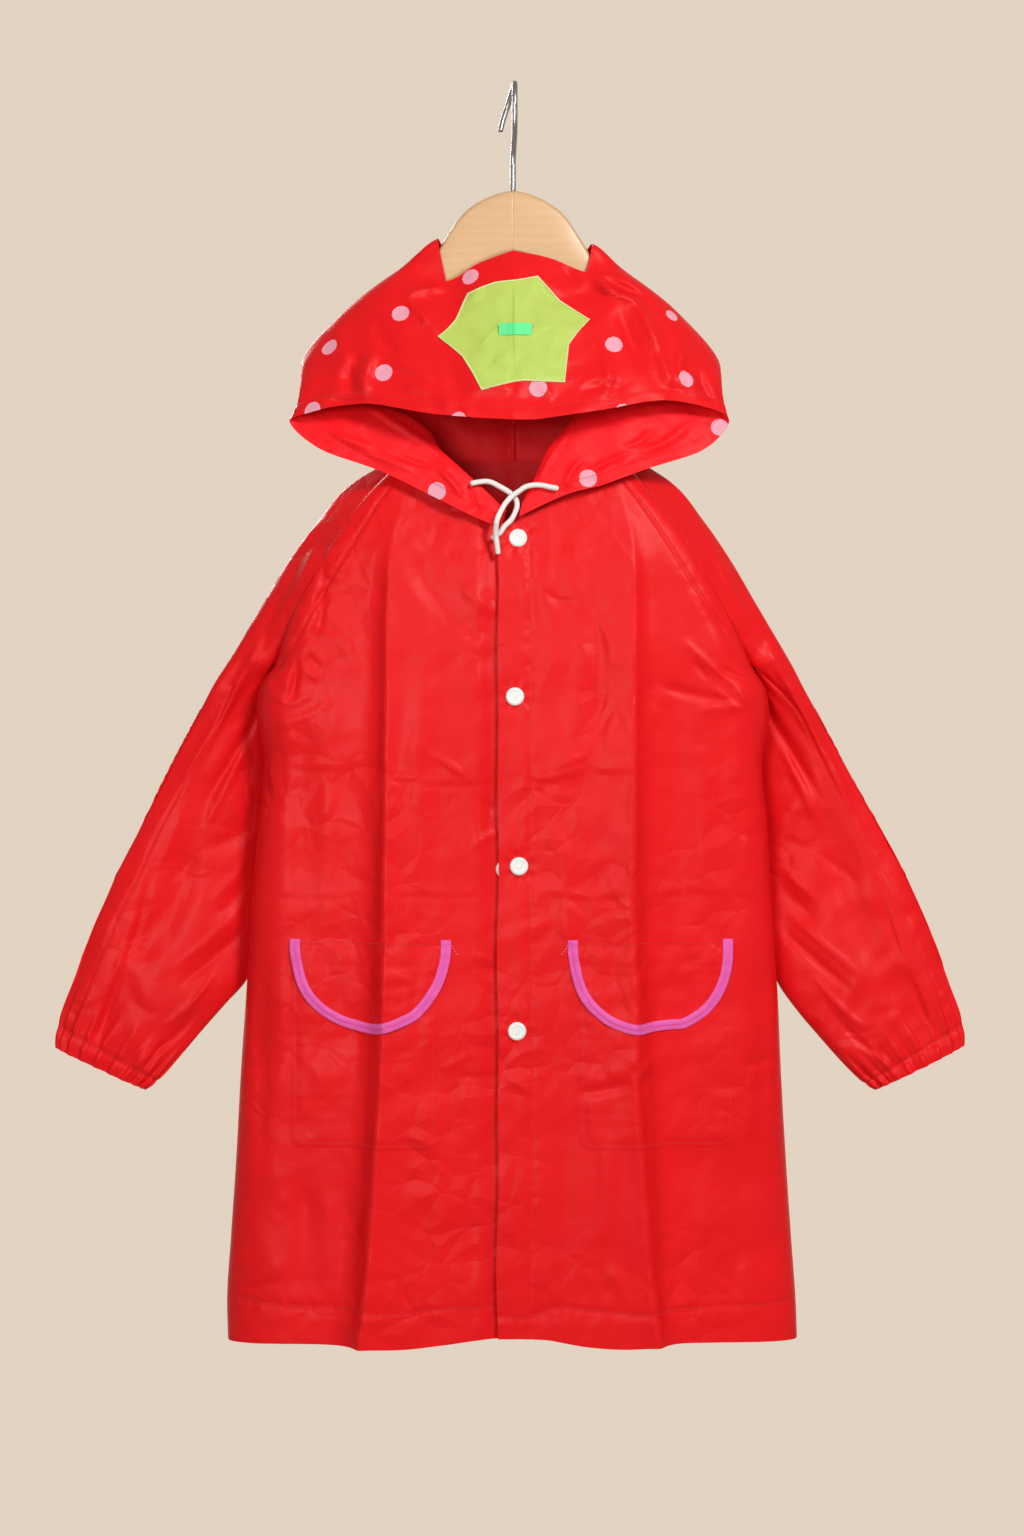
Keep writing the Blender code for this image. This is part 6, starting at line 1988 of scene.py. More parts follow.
@dataclass
class Sleeve:
    """A raglan sleeve with its gathered cuff.

    Attributes:
        side: -1 or 1.
        finishes: The materials.
        columns: How many points round it.
        gathered_from: The section where the elastic begins to pull it in.
        stitched_at: The section of the elastic's stitching.
    """

    side: int
    finishes: Finishes
    columns: int = 160
    gathered_from: float = 11.8
    stitched_at: float = 13.35

    def build(self) -> None:
        """Makes the sleeve: plain rows, then rows that are pulled in and waved by the cuff's elastic."""
        side = self.side
        above, below = np.linspace(-ARMPIT_ROWS, 0, 36)[:-1], np.linspace(0, self.gathered_from, 92)[:-1]
        stations = np.concatenate([above, below, np.linspace(self.gathered_from, 14.0, 30)])
        turns = np.linspace(0, 1, self.columns + 1)
        grid, behind = Coat.sleeve_grid(side, stations, turns)
        x, z = grid[..., 0].copy(), grid[..., 2].copy()
        station = stations[:, None]
        strength = GATHER_HEIGHT * ease(station, 11.4, 13.2)
        phase = 2 * np.pi * GATHERS * turns + 0.9 * np.sin(9.0 * turns) + 0.5 * np.sin(2 * np.pi * 3 * turns)
        wave = np.cos(phase)[None, :]
        crest = wave * (0.75 + 0.25 * np.sin(2 * np.pi * 7 * turns + 1.3)[None, :])
        crest = crest + 0.35 * np.cos(4 * np.pi * GATHERS * turns)[None, :]
        middle = grid.mean(axis=1, keepdims=True)
        away = unit(grid - middle)
        out = 0.35 * away + 0.65 * np.stack([0 * x, np.where(behind, 1.0, -1.0), 0 * x], axis=-1)
        pinch = bell(station - self.stitched_at, 0.13) * 1.7
        height = strength * crest * (1 - 0.45 * bell(station - self.stitched_at, 0.2)) - pinch
        grid = grid + out * height[..., None]
        relief = Relief(SLEEVE_CREASES, depth=0.0, strength=1.7).height(x, z)
        relief_back = Relief(SLEEVE_BACK_CREASES, depth=20.0, strength=1.3).height(x, z)
        soft, soft_back = (1.2 * swell(x, z, 70.0, first + side) + 1.8 * crumple(x, z, 32.0, first + 4 + side)
                           + 0.3 * crumple(x, z, 14.0, first + 6) for first in (41, 51))
        seam = line_of(UNDERARM_SEAM[side], 0.0)
        beyond = side * (x - np.interp(-z, -seam[:, 1], seam[:, 0]))
        relief += groove(x, z, seam, 1.4, 1.7, 0.6, 3) - 0.26 * np.clip(beyond, 0, 14) * ease(-z, 500.0, 540.0)
        thin = np.abs(grid[..., 1] - middle[..., 1])
        near_seam = np.minimum(turns, 1 - turns)[None, :] * 2 * np.pi * 30
        fade = (0.2 + 0.8 * ease(near_seam, 0.0, 8.0)) * ease(thin, 0.5, 7.0)
        top = ease(station, -6.0, -5.0)
        grid[..., 1] += np.where(behind, relief_back + soft_back, -(relief + soft)) * fade * top
        tuck = np.exp(-near_seam / 1.6) * (station < 0.6)
        grid[..., 0] -= side * 1.3 * tuck
        grid[..., 1] += np.where(behind, -0.5, 0.5) * tuck
        round_off = 1 - 0.06 * (1 - np.sqrt(1 - np.clip(ease(station, 13.3, 14.02), 0, 0.999) ** 2))
        grid[..., 0] = middle[..., 0] + (grid[..., 0] - middle[..., 0]) * round_off
        name = "sleeve_" + Side(side).wearer
        self.piece = cloth(name + "_cloth", (name,), grid, self.finishes.red, SLEEVE_CUT,
                           flip=side < 0, inner=self.finishes.inner, joined=True)
        rows = Stitching(name + "_stitches")
        rows.row(Skin(self.piece).lay(seam[2:-1] - (side * 3.0, 0.0), 0.1))
        ring = int(np.argmin(np.abs(stations - self.stitched_at)))
        circle = grid[ring][::2]
        half = behind[ring][::2]
        for part in (~half, half):
            line = circle[part]
            if len(line) > 3:
                order = np.argsort(line[:, 0])
                line = line[order].copy()
                line[:, 1] += 0.15 if part is half else -0.15
                rows.row(line)
        rows.build(self.finishes.thread, "red_taffeta")


@dataclass
class Hood:
    """The hood's two halves: its folds, its edge casing and its middle seam."""

    finishes: Finishes
    halves: dict[int, Object] = field(default_factory=dict)

    def shape(self, side: int) -> tuple[Array, Array]:
        """A half's outer face with its folds.

        Args:
            side: -1 or 1.

        Returns:
            The grid of points, and each point's distance from the face edge in mm.
        """
        grid = Coat.hood_grid(side, HOOD_FINER, HOOD_BETWEEN)
        rows, columns = grid.shape[:2]
        x, z = grid[..., 0], grid[..., 2]
        normal = unit(np.cross(np.gradient(grid, axis=0), np.gradient(grid, axis=1)) * side, 1e-9)
        section = np.linspace(0, len(HOOD_LEFT) - 1, rows)[:, None]
        knot = np.interp(np.arange(columns), np.cumsum((0, *HOOD_STEPS)) * HOOD_FINER,
                         np.arange(len(HOOD_STEPS) + 1))[None, :]
        steps = np.cumsum(lengths(np.diff(grid, axis=1)), axis=1)
        run = np.concatenate([np.zeros((rows, 1)), steps], axis=1)
        to_edge = run[:, -1:] - run
        crown = ease(section, 4.6, 5.6)
        ahead = ease(knot, 3.0, 4.0)
        facing = np.abs(normal[..., 1])
        front = Relief(HOOD_CREASES, depth=-45.0, strength=4.6).height(x, z) + 1.3 * swell(x, z, 62.0, 61)
        front = front + 4.6 * crumple(x, z, 34.0, 63)
        rolled = Relief(ROLL_CREASES, depth=-45.0, strength=2.6).height(x, z) + 0.9 * swell(x, z, 40.0, 65)
        rolled = rolled + 1.9 * crumple(x, z, 22.0, 67)
        back = 1.7 * swell(x, z, 60.0, 71) + 1.9 * crumple(x, z, 32.0, 73)
        push = ahead * (crown * front + (1 - crown) * rolled * ease(knot, 3.0, 3.6)) * facing
        pull = (1 - ease(knot, 2.0, 3.0)) * back * facing * (0.4 + 0.6 * crown)
        calm = 0.15 + 0.85 * ease(run, 0.0, 10.0)
        calm = calm * (0.25 + 0.75 * ease(np.abs(x), 0.0, 7.0))
        slot = self.from_slot(grid)
        calm = calm * (0.2 + 0.8 * ease(slot, 0.0, 6.0))
        grid[..., 1] += (pull - push) * calm
        edge_run = walked(grid[:, -1])[:, None]
        wave = np.sin(edge_run / 2.3 + 1.8 * np.sin(edge_run / 8.1)) * (0.55 + 0.45 * np.sin(edge_run / 21.0))
        casing = 0.55 * (1 - ease(to_edge, CASING - 0.5, CASING + 1.2)) - 0.55 * bell(to_edge - CASING, 1.1)
        casing = casing + 0.42 * wave * bell(to_edge - CASING, 4.5) + 0.3 * wave * np.exp(-(to_edge / 3.0))
        neck = -0.8 * np.exp(-run / 1.6) - 0.4 * bell(run - 6.0, 1.2)
        seam_run = np.sin(z / 1.7 + 2.0 * np.sin(z / 6.3))
        seam = 1.5 * bell(x, 1.8) + 0.9 * seam_run * np.exp(-np.abs(x) / 5.0)
        neck = neck - seam * (1 - ease(knot, 0.9, 1.3)) * crown
        grid += normal * (casing + neck)[..., None] * np.where(section[..., None] > 4.8, 1.0, 0.8)
        return grid, to_edge

    @staticmethod
    def from_slot(grid: Array) -> Array:
        """How far each point is from the edge of the slot that the hanger stands in.

        Args:
            grid: A half's points.

        Returns:
            The distance, in mm.
        """
        first, last = SLOT_COLUMNS
        start = SLOT_FROM_SECTION * HOOD_BETWEEN
        rim = np.concatenate([grid[start:, first], grid[start:, last], grid[start, first : last + 1]])
        best = np.full(grid.shape[:2], 1e9)
        for point in rim[::2]:
            best = np.minimum(best, lengths(grid - point))
        return best

    def build(self) -> None:
        """Makes both halves, prints the dots on them and sews their edges."""
        shapes = {side: self.shape(side) for side in (-1, 1)}
        first, last = SLOT_COLUMNS
        keeps, bare = {}, []
        for side, (grid, _) in shapes.items():
            keep = np.ones((grid.shape[0] - 1, grid.shape[1] - 1), bool)
            keep[SLOT_FROM_SECTION * HOOD_BETWEEN :, first:last] = False
            keeps[side] = keep
            bare.append(make_mesh(f"bare_{side}", grid, quads(*grid.shape[:2], keep, side < 0)))
        outer, inner = self.find_dots(bare)
        for obj in bare:
            bpy.data.objects.remove(obj)
        rows = Stitching("hood_stitches")
        for side, (grid, to_edge) in shapes.items():
            values = {"dot": self.nearest(grid, outer), "inner_dot": self.nearest(grid, inner)}
            name = "hood_" + Side(side).wearer
            self.halves[side] = cloth(name + "_cloth", (name,), grid, self.finishes.printed, HOOD_CUT,
                                      keeps[side], side < 0, inner=self.finishes.hood_inner_painted_light, values=values)
            self.sew(rows, grid, to_edge, side)
        rows.build(self.finishes.thread, "red_taffeta")

    @staticmethod
    def find_dots(bare: list[Object]) -> tuple[Array, Array]:
        """Sets the printed dots on the hood.

        Args:
            bare: The halves.

        Returns:
            The middles of the dots on the outer side and of those on the inner side.
        """
        trees = [face_tree(obj) for obj in bare]
        outer, inner = [], []
        places = [(*[float(v) for v in seen(px, py, -45.0)], 1.0, right, up) for px, py, right, up in DOTS_FRONT]
        places += [(x, z, -1.0, 0.0, 0.0) for x, z in DOTS_BEHIND]
        for x, z, way, right, up in places:
            hits = [tree.ray_cast(Vector((x * MM, -0.4 * way, z * MM)), Vector((0, way, 0))) for tree in trees]
            hits = [hit for hit in hits if hit[0] is not None]
            if not hits:
                continue
            place, normal, _, _ = min(hits, key=lambda hit: hit[0].y * way)
            (outer if normal.y * way < 0 else inner).append(np.array(place) / MM + (right, 0.0, up))
        LOG.info("dots: %d on the outer side, %d on the inner side", len(outer), len(inner))
        return np.array(outer), np.array(inner).reshape(-1, 3)

    @staticmethod
    def nearest(grid: Array, middles: Array) -> Array:
        """How far each point is from the nearest dot's middle.

        Args:
            grid: The points.
            middles: The dots' middles.

        Returns:
            The distance, in mm.
        """
        best = np.full(grid.shape[:2], 99.0)
        for middle in middles:
            best = np.minimum(best, lengths(grid - middle))
        return best

    @staticmethod
    def sew(rows: Stitching, grid: Array, to_edge: Array, side: int) -> None:
        """Sews the casing along the face edge, on both faces of the cloth.

        Args:
            rows: Where the stitches go.
            grid: A half's points.
            to_edge: Each point's distance from the face edge.
            side: -1 or 1.
        """
        line = []
        for row, far in zip(grid, to_edge):
            line.append([np.interp(-CASING, -far, row[:, axis]) for axis in range(3)])
        line = np.array(line)
        way = np.gradient(grid, axis=1)[:, -8]
        down = np.gradient(grid[:, -8], axis=0)
        normal = unit(np.cross(down, way) * side, 1e-9)
        rows.row(line + 0.12 * normal)
        rows.row(line - (CLOTH + 0.12) * normal)


@dataclass
class Pocket:
    """A pocket bag under a half-round flap with a bound rim.

    Attributes:
        side: -1 or 1.
        finishes: The materials.
        front: The front that it is sewn to.
        corner: The radius of the bag's lower corners, in mm.
        stitch_inset: How far inside the bag's edge it is stitched, in mm.
    """

    side: int
    finishes: Finishes
    front: Object
    corner: float = 9.0
    stitch_inset: float = 3.6

    def build_bag(self, beneath: Skin) -> Object:
        """Makes the bag, a patch stitched down along its sides and bottom.

        Args:
            beneath: The front's face.

        Returns:
            The bag.
        """
        low, high = POCKETS[self.side]["x"]
        top, bottom = POCKETS[self.side]["z"]
        x, z = np.meshgrid(np.linspace(low, high, 66), np.linspace(top, bottom, 80))
        corner = self.corner
        out_x = np.maximum(np.abs(x - 0.5 * (low + high)) - (0.5 * (high - low) - corner), 0)
        out_z = np.maximum((bottom + corner) - z, 0)
        far = np.hypot(out_x, out_z)
        square = np.maximum(out_x, out_z)
        shrink = np.where((out_x > 0) & (out_z > 0), square / np.maximum(far, 1e-9), 1.0)
        x = np.where(out_x > 0, x - np.sign(x - 0.5 * (low + high)) * out_x * (1 - shrink), x)
        z = np.where(out_z > 0, z + out_z * (1 - shrink), z)
        rim = np.minimum.reduce([x - low, high - x, z - bottom])
        rim = np.minimum(rim, corner - np.where((out_x > 0) & (out_z > 0), square, 0.0) + 0 * rim)
        y = beneath.depth(x, z)
        y = y - 0.15 - 0.5 * ease(rim, 0.0, 3.0) - 0.9 * ease(rim, 3.5, 14.0) * ease(top - z, 0.0, 25.0)
        mouth = z - (top - 21.0)
        run = np.where(np.abs(z - bottom) < 12, x, z)
        pucker = np.sin(run / 2.0 + 2 * np.sin(run / 9.0)) * bell(rim - 4.0, 4.0)
        y = y + 0.45 * bell(rim - 3.6, 1.2) + 0.3 * pucker + 0.35 * bell(mouth, 1.3)
        y = y - 0.9 * swell(x, z, 55.0, 81 + self.side) * ease(rim, 4.0, 14.0)
        y = y - 0.8 * crumple(x, z, 24.0, 83 + self.side) * ease(rim, 4.0, 12.0)
        least = 0.1 + (CLOTH - 0.1) * ease(rim, 0.0, 2.5)
        grid = np.stack([x, np.minimum(y, beneath.depth(x, z) - least), z], axis=-1)
        name = "pocket_" + Side(self.side).wearer
        return cloth(name + "_cloth", (name,), grid, self.finishes.red,
                     Cut((high - low) * MM, (top - bottom) * MM, None, "laid"))

    def rim(self, steps: int) -> Array:
        """The flap's rim.

        Args:
            steps: How many steps between two of the table's places.

        Returns:
            x and z, one row a point.
        """
        rows = FLAP_RIM[self.side]
        return spline(np.stack([rows["x"], rows["z"]], axis=1), steps)

    def build_flap(self, beneath: Skin) -> Object:
        """Makes the flap, sewn down along its straight top.

        Args:
            beneath: The faces under it.

        Returns:
            The flap.
        """
        rim = self.rim(9)[2:-2]
        top = rim[0, 1]
        part = np.linspace(0, 1, 34)[:, None]
        x = np.broadcast_to(rim[None, :, 0], (34, len(rim)))
        z = top + (rim[None, :, 1] - top) * part
        under = beneath.depth(x, z)
        fall = top - z
        away = np.stack([x, z], axis=-1)[..., None, :] - rim[None, None, ::4]
        inside = np.minimum(lengths(away).min(axis=2), 20.0)
        lift = 0.7 + 0.8 * ease(fall, 0.0, 12.0) - 0.5 * bell(fall - 3.0, 1.2)
        lift = lift + 0.5 * swell(x, z, 36.0, 91 + self.side) * ease(fall, 2.0, 20.0)
        lift = lift + 0.9 * crumple(x, z, 22.0, 93 + self.side) * ease(fall, 3.0, 14.0) * ease(inside, 3.0, 10.0)
        wave = np.sin(x / 2.1 + 2.0 * np.sin(x / 9.0))
        lift = lift + 0.25 * wave * bell(fall - 3.0, 4.0)
        grid = np.stack([x, under - np.maximum(lift, 0.65), z], axis=-1)
        name = "pocket_flap_" + Side(self.side).wearer
        width = rim[:, 0].max() - rim[:, 0].min()
        depth = top - rim[:, 1].min()
        return cloth(name + "_cloth", (name,), grid, self.finishes.red,
                     Cut(width * MM, depth * MM, 0.78 * width * depth * MM * MM, "hung"))

    def build_binding(self, beneath: Skin) -> Object:
        """Makes the binding round the flap's rim, rounded across.

        Args:
            beneath: The faces under it.

        Returns:
            The binding.
        """
        rim = self.rim(9)
        way = unit(np.gradient(rim, axis=0))
        across = np.stack([way[:, 1], -way[:, 0]], axis=1)
        v = np.linspace(-1, 1, 17)
        places = rim[None] + across[None] * (v[:, None, None] * 0.5 * BINDING_WIDTH)
        x, z = places[..., 0], places[..., 1]
        under = beneath.depth(x, z)
        smooth_under = np.minimum(under, under.min(axis=0, keepdims=True) + 0.9)
        run = walked(rim)[None, :]
        ripple = 0.2 * np.sin(run / 1.9 + 1.5 * np.sin(run / 8.0)) * np.abs(v)[:, None]
        lift = 0.55 + 0.75 * np.sqrt(np.clip(1 - v**4, 0, 1))[:, None] + ripple
        lift = lift - 0.3 * bell(np.abs(v) - 0.72, 0.12)[:, None]
        grid = np.stack([x, smooth_under - lift, z], axis=-1)
        name = "pocket_binding_" + Side(self.side).wearer
        length = float(run[0, -1])
        flip = turned(grid)
        obj = cloth(name + "_tape", (name,), grid, self.finishes.pink,
                    Cut(0.01, length * MM, 0.84 * 0.01 * length * MM, "stretched"),
                    flip=flip, wall=0.45)
        rows = Stitching(name + "_stitches", 1.9, 0.7, 0.2)
        for index in (3, 13):
            line = grid[index].copy()
            line[:, 1] -= 0.08
            rows.row(line[4:-4])
        end = rim[-1] if self.side < 0 else rim[0]
        loose = np.array([(0.0, -4.0), (3.0, -9.0), (6.5, -13.0)]) * (-self.side, 1.0) + end + (-self.side * 4.0, 0.0)
        rows.row(np.stack([loose[:, 0], beneath.depth(*loose.T) - 0.9, loose[:, 1]], axis=1))
        rows.build(self.finishes.pink_thread, "pink_binding")
        return obj

    def build(self) -> None:
        """Makes the bag, the flap, the binding and their sewing."""
        beneath = Skin(self.front)
        bag = self.build_bag(beneath)
        flap = self.build_flap(Skin(self.front, bag))
        self.build_binding(Skin(self.front, bag, flap))
        low, high = POCKETS[self.side]["x"]
        top, bottom = POCKETS[self.side]["z"]
        rows = Stitching("pocket_" + Side(self.side).wearer + "_stitches")
        skin = Skin(bag)
        inset = self.stitch_inset
        path = [(low + inset, top - 30), (low + inset, bottom + 12), (low + 5.5, bottom + 5.5),
                (low + 12, bottom + inset), (high - 12, bottom + inset), (high - 5.5, bottom + 5.5),
                (high - inset, bottom + 12), (high - inset, top - 30)]
        rows.row(skin.lay(resample(np.array(path, float), 2.0), 0.1))
        ends = FLAP_RIM[self.side]["x"]
        seam = np.stack([np.linspace(ends[0] + 5, ends[-1] - 5, 60), np.full(60, top - 2.2)], axis=1)
        rows.row(Skin(flap, self.front).lay(seam, 0.1))
        rows.build(self.finishes.thread, "red_taffeta")


@dataclass
class Star:
    """The star patch on the hood and the blank tab on it."""

    finishes: Finishes
    hood: Hood
    middle: tuple[float, float] = (0.5, -214.0)

    def build(self) -> None:
        """Makes the patch, its pale edge and the tab."""
        skin = Skin(*self.hood.halves.values())
        rows = np.stack([STAR_RIM["x"], STAR_RIM["z"]], axis=1)
        rim = np.concatenate([resample(np.stack([a, b]), 1.1)[:-1] for a, b in zip(rows[:-1], rows[1:])]
                             + [resample(np.stack([rows[-1], rows[0]]), 1.1)])
        centre = np.array(self.middle)
        part = np.linspace(0, 1, 28)[:, None, None] ** 0.9
        places = rim[None] + (centre - rim)[None] * part
        x, z = places[..., 0], places[..., 1]
        across = np.where(np.abs(x) < 1.8, np.where(x < 0, -1.8, 1.8), x)
        under = skin.depth(across, z)
        inside = np.linalg.norm(rim[None] - places, axis=2)
        lift = Relief(STAR_CREASES, depth=-40.0, strength=2.2).height(x, z) + 1.5 * crumple(x, z, 24.0, 101)
        y = under - 0.8 - np.maximum(lift + 0.4, 0.0) * ease(inside, 1.0, 7.0)
        grid = np.stack([x, y, z], axis=-1)
        self.patch = cloth("star_patch_cloth", ("star_patch",), grid, self.finishes.lime,
                           Cut(0.127, 0.102, 0.0074, "laid"), flip=turned(grid),
                           wall=0.5, joined=True)
        v = np.linspace(0, 1, 7)
        places = np.stack([rim + unit(centre - rim) * (1.5 * t - 0.3) for t in v])
        across = np.where(np.abs(places[..., 0]) < 1.8, 1.8, places[..., 0])
        y = Skin(self.patch, *self.hood.halves.values()).depth(across, places[..., 1])
        y = y - 0.3 - 0.35 * np.sin(np.pi * v)[:, None]
        edge = np.stack([places[..., 0], y, places[..., 1]], axis=-1)
        obj = make_mesh("star_edging", edge, quads(*edge.shape[:2], flip=turned(edge)), lengths_uv(edge))
        thicken(obj, 0.3)
        dress(obj, self.finishes.edging, "lime_cloth")
        self.build_tab()

    def build_tab(self) -> None:
        """Makes the blank tab, sewn down at its ends."""
        x, z = np.meshgrid(np.linspace(*TAB["x"], 50), np.linspace(*TAB["z"], 20))
        under = Skin(self.patch).depth(x + 0.013, z)
        flat = np.minimum(under, under.min(axis=0, keepdims=True) + 0.3)
        ends = np.minimum(x - TAB["x"][0], TAB["x"][1] - x)
        y = flat - 0.55 - 0.5 * ease(ends, 1.0, 5.0) * (1 + 0.3 * np.sin(x / 4.0)) + 0.2 * bell(ends - 1.4, 0.5)
        grid = np.stack([x, y, z], axis=-1)
        cloth("tab_label_tape", ("tab_label",), grid, self.finishes.mint, Cut(0.0272, 0.0102, None, "laid"),
              flip=turned(grid), wall=0.4)


@dataclass(frozen=True)
class Disc:
    """A turned button: a profile carried round an axis towards the viewer.

    Attributes:
        name: The piece's name.
        node: The solid that it stands for.
        x: Its middle, across.
        z: Its middle, up.
        y: The depth it sits at.
        radius: Its radius, in mm.
        height: How far it stands out, in mm.
    """

    name: str
    node: str
    x: float
    z: float
    y: float
    radius: float
    height: float

    def build(self, material: Material) -> None:
        """Makes the button.

        Args:
            material: Its material.
        """
        profile = spline([(0.9, 0.0), (1.0, 0.22), (0.965, 0.55), (0.84, 0.80), (0.70, 0.86), (0.60, 0.78),
                          (0.34, 0.76), (0.02, 0.80)], 6)
        turn = 2 * np.pi * np.arange(BUTTON_SIDES) / BUTTON_SIDES
        reach = self.radius * profile[:, 0][:, None]
        rise = self.height * profile[:, 1][:, None]
        grid = np.stack([self.x + reach * np.cos(turn), self.y - rise + 0 * turn, self.z + reach * np.sin(turn)],
                        axis=-1)
        dress(make_mesh(self.name, grid, drum(len(grid), BUTTON_SIDES), shut=True), material, "white_plastic",
              self.node)


@dataclass
class Snaps:
    """The four snaps: caps on the outer front and lower halves on the inner front.

    Attributes:
        finishes: The materials.
        body: The fronts that they are set in.
        cap_radius: A cap's radius, in mm, and that of the lower half that shows.
        cap_height: How far a cap stands out, in mm.
        stud_radius: The radius of a lower half behind its cap, in mm.
        stud_height: How far a lower half stands out, in mm.
    """

    finishes: Finishes
    body: Body
    cap_radius: float = 7.5
    cap_height: float = 3.0
    stud_radius: float = 5.0
    stud_height: float = 1.6

    def build(self) -> None:
        """Makes the caps and the lower halves."""
        over, under = Skin(self.body.fronts[1]), Skin(self.body.fronts[-1])
        ring = np.linspace(0, 2 * np.pi, 16, endpoint=False)
        for k, (x, z) in enumerate(zip(SNAPS["x"], SNAPS["z"])):
            number = k + 1
            around = over.depth(x + 6.5 * np.cos(ring), z + 6.5 * np.sin(ring), missing=np.nan)
            Disc(f"snap_cap_{number}_disc", f"snap_cap_{number}", x, z, float(np.nanmean(around)) + 0.1,
                 self.cap_radius, self.cap_height).build(self.finishes.plastic)
            at_x, at_z = STUD if number == 3 else (x, z)
            radius = self.cap_radius if number == 3 else self.stud_radius
            below = under.depth(at_x + 4.0 * np.cos(ring), at_z + 4.0 * np.sin(ring), missing=np.nan)
            Disc(f"snap_stud_{number}_disc", f"snap_stud_{number}", at_x, at_z, float(np.nanmin(below)) + 0.1,
                 radius, self.stud_height).build(self.finishes.plastic)


@dataclass
class Drawcord:
    """The two ends of the hood's drawcord."""

    finishes: Finishes

    def build(self) -> None:
        """Makes both ends, each a braided tube with rounded ends."""
        for side in (-1, 1):
            path = spline(ROUTES[side], 12)
            name = "drawcord_" + Side(side).wearer
            radii = np.full(len(path), 0.5 * CORD_THICKNESS)
            radii = radii * (1 + 0.02 * np.sin(np.arange(len(path)) / 5.0))
            obj = tube_mesh(name + "_braid", path, radii, 20)
            dress(obj, self.finishes.cord, "white_cord", name)


@dataclass
class Hanger:
    """The wooden hanger and its steel hook.

    Attributes:
        finishes: The materials.
        reach: How far out each arm runs, in mm.
    """

    finishes: Finishes
    reach: float = 144.0

    def build_wood(self) -> None:
        """Makes the wood: rounded sections carried from tip to tip, with the fine seam of its two halves."""
        half_x = np.unique(np.concatenate([np.linspace(0, self.reach, 110), [0.25, 0.5, 0.9, 1.6]]))
        xs = np.concatenate([-half_x[:0:-1], half_x])
        at = np.abs(xs)
        top, bottom, half = (curve(at, HANGER["x"], HANGER[name]) for name in ("top", "bottom", "half"))
        seam = 0.35 * bell(at, 0.35)
        middle = 0.5 * (top + bottom)
        rise = 0.5 * (top - bottom) - seam
        wide = np.maximum(half, 1.2) - seam
        corner = np.minimum(0.8 * wide, 0.95 * rise)
        turn = 2 * np.pi * np.arange(HANGER_SIDES) / HANGER_SIDES + 1e-4
        flat_y = np.sign(np.cos(turn))[None, :] * (wide - corner)[:, None]
        flat_z = np.sign(np.sin(turn))[None, :] * (rise - corner)[:, None]
        y = flat_y + corner[:, None] * np.cos(turn)
        z = middle[:, None] + flat_z + corner[:, None] * np.sin(turn)
        grid = np.stack([np.broadcast_to(xs[:, None], y.shape), y, z], axis=-1)
        dress(make_mesh("hanger_wood", grid, drum(len(xs), HANGER_SIDES), shut=True), self.finishes.wood, "wood",
              "hanger")

    def build_hook(self) -> None:
        """Makes the hook: the stem, the leg, the bend over the rod's place and the tail."""
        centre_z = WIRE_RADIUS - HOOK_BEND
        low = HANGER["top"][0] + 0.3
        path = [(0, 0, low), (0, 0, low + 20), (0, 0, low + 22), (0.3, -1.5, low + 30), (1.0, -8.0, low + 40)]
        path.append((HOOK_LEAN[0], -16.0, low + 52))
        for turn in np.radians(np.arange(-14, 182, 7)):
            y = -HOOK_BEND * np.cos(turn)
            part = max(0.0, (turn - 0.5 * np.pi) / (0.5 * np.pi))
            path.append((HOOK_LEAN[0] - 0.62 * HOOK_LEAN[1] * part**1.4, y, centre_z + HOOK_BEND * np.sin(turn)))
        path.append((HOOK_LEAN[0] - 0.84 * HOOK_LEAN[1], HOOK_BEND - 0.5, 0.5 * (centre_z + HOOK_TAIL)))
        path.append((HOOK_LEAN[0] - HOOK_LEAN[1], HOOK_BEND - 2.0, HOOK_TAIL))
        line = resample(spline(path, 7), 1.2)
        radii = np.where(line[:, 2] < low + 21, WIRE_RADIUS + 0.1, WIRE_RADIUS)
        dress(tube_mesh("hook_wire", line, radii, 24), self.finishes.steel, "steel", "hook")

    def build(self) -> None:
        """Makes the wood and the hook."""
        self.build_wood()
        self.build_hook()


@dataclass(frozen=True)
class Lamp:
    """A soft area light.

    Attributes:
        name: Its name.
        place: Where it is, in metres.
        aim: What it looks at, in metres.
        size: Its side, in metres.
        power: Its power, in watts.
        colour: Its colour.
    """

    name: str
    place: tuple[float, float, float]
    aim: tuple[float, float, float]
    size: float
    power: float
    colour: Colour = (1.0, 1.0, 1.0)

    def build(self) -> Object:
        """Makes the light.

        Returns:
            The light.
        """
        data = bpy.data.lights.new(self.name, "AREA")
        data.shape = "DISK"
        data.size = self.size
        data.energy = self.power
        data.color = self.colour
        obj = bpy.data.objects.new(self.name, data)
        obj.location = self.place
        obj.rotation_euler = (Vector(self.aim) - Vector(self.place)).to_track_quat("-Z", "Y").to_euler()
        bpy.context.scene.collection.objects.link(obj)
        return obj


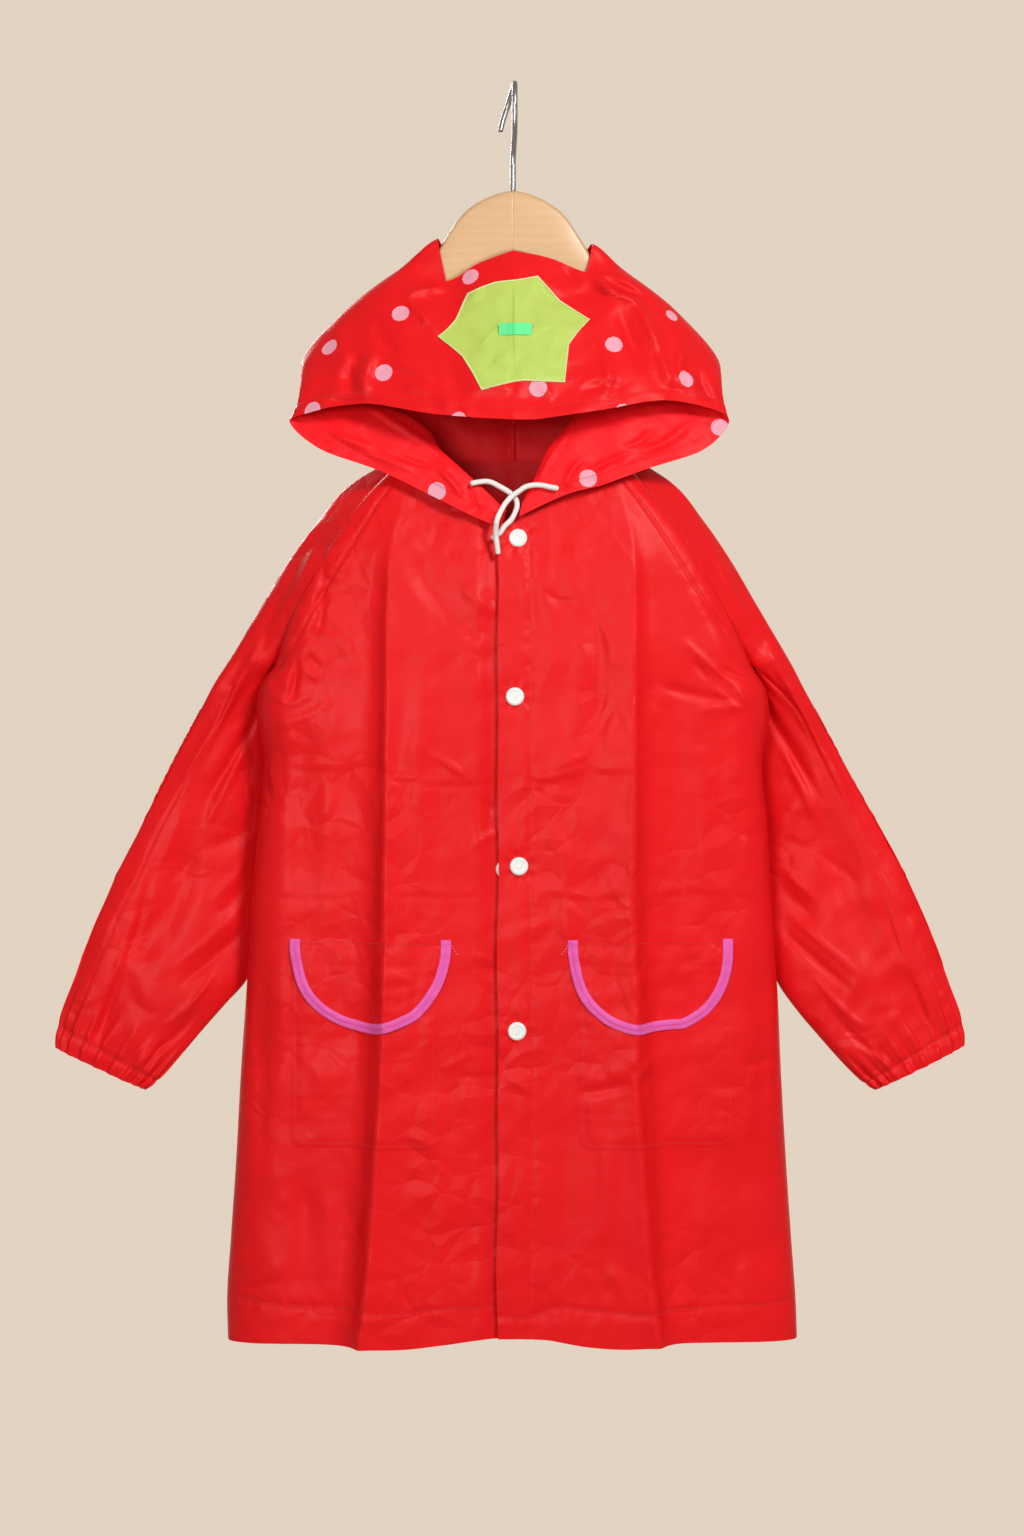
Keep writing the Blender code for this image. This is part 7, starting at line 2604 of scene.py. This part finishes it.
@dataclass(frozen=True)
class Studio:
    """The camera, the lights, the surrounding light and the floor.

    Attributes:
        sensor: The camera's width of view on its sensor, in mm.
        lens: Its focal length, in mm.
        floor_radius: The floor's radius, in mm.
        floor_height: Where the floor is, in mm.
    """

    sensor: float = 36.0
    lens: float = 70.3
    floor_radius: float = 330.0
    floor_height: float = -1300.0

    def build(self) -> None:
        """Makes all of them."""
        data = bpy.data.cameras.new("camera")
        data.sensor_width = self.sensor
        data.lens = self.lens
        camera = bpy.data.objects.new("camera", data)
        camera.location = (-0.0008, -EYE * MM, EYE_HEIGHT * MM)
        camera.rotation_euler = (np.pi / 2, 0, 0)
        bpy.context.scene.collection.objects.link(camera)
        bpy.context.scene.camera = camera
        bpy.context.scene.view_settings.view_transform = "Standard"
        Lamp("key", (1.15, -2.15, 0.85), (0.0, 0.0, -0.6), 0.7, 51.0, (1.0, 0.985, 0.965)).build()
        Lamp("fill", (-0.7, -2.5, -0.3), (0.0, 0.0, -0.5), 0.8, 22.0, (1.0, 0.97, 0.94)).build()
        Lamp("behind", (-1.2, 2.2, 0.6), (0.0, 0.0, -0.6), 0.8, 26.0, (1.0, 0.985, 0.965)).build()
        self.build_world()
        self.build_floor()

    @staticmethod
    def build_world() -> None:
        """Makes the surrounding light: pale behind the coat, dimmer all round."""
        world = bpy.data.worlds.new("world")
        bpy.context.scene.world = world
        world.use_nodes = True
        tree = world.node_tree
        place = tree.nodes.new("ShaderNodeTexCoord")
        split = tree.nodes.new("ShaderNodeSeparateXYZ")
        ramp = tree.nodes.new("ShaderNodeMapRange")
        ramp.interpolation_type = "SMOOTHSTEP"
        ramp.inputs["From Min"].default_value = 0.55
        ramp.inputs["From Max"].default_value = 0.9
        mix = tree.nodes.new("ShaderNodeMix")
        mix.data_type = "RGBA"
        mix.inputs[6].default_value = (0.37, 0.345, 0.32, 1.0)
        mix.inputs[7].default_value = (0.76, 0.65, 0.54, 1.0)
        tree.links.new(place.outputs["Object"], split.inputs[0])
        tree.links.new(split.outputs[1], ramp.inputs[0])
        tree.links.new(ramp.outputs[0], mix.inputs[0])
        tree.links.new(mix.outputs[2], tree.nodes["Background"].inputs["Color"])

    def build_floor(self) -> None:
        """Makes a small plain floor below the coat."""
        turn = 2 * np.pi * np.arange(96) / 96
        rings = np.linspace(0.0005, 1.0, 5)[:, None] * self.floor_radius
        level = np.full((len(rings), len(turn)), self.floor_height)
        grid = np.stack([rings * np.cos(turn), rings * np.sin(turn), level], axis=-1)
        obj = make_mesh("floor", grid, quads(*level.shape, closed=True))
        n = Nodes("floor_paint")
        colour = n.mix(n.noise(3.0, 3.0), (0.78, 0.74, 0.68), (0.72, 0.68, 0.62))
        obj.data.materials.append(n.finish(Base_Color=colour, Roughness=0.8))
        obj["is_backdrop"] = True


def read_bounds() -> list[list[float]]:
    """The shown object's box.

    Returns:
        Its lowest and highest corner, in metres.
    """
    low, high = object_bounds()
    return [[float(v) for v in low], [float(v) for v in high]]


def main() -> None:
    """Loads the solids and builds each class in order."""
    logging.basicConfig(level=logging.INFO, format="%(name)s: %(message)s", stream=sys.stdout)
    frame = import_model()
    before = read_bounds()
    Studio().build()
    finishes = Finishes()
    Drawcord(finishes).build()
    body = Body(finishes)
    body.build()
    for side in (-1, 1):
        Sleeve(side, finishes).build()
    hood = Hood(finishes)
    hood.build()
    Star(finishes, hood).build()
    for side in (-1, 1):
        Pocket(side, finishes, body.fronts[side]).build()
    Snaps(finishes, body).build()
    Hanger(finishes).build()
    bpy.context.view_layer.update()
    LOG.info("boxes %s and %s in frame %s", before, read_bounds(), type(frame).__name__)


if __name__ == "__main__":
    main()
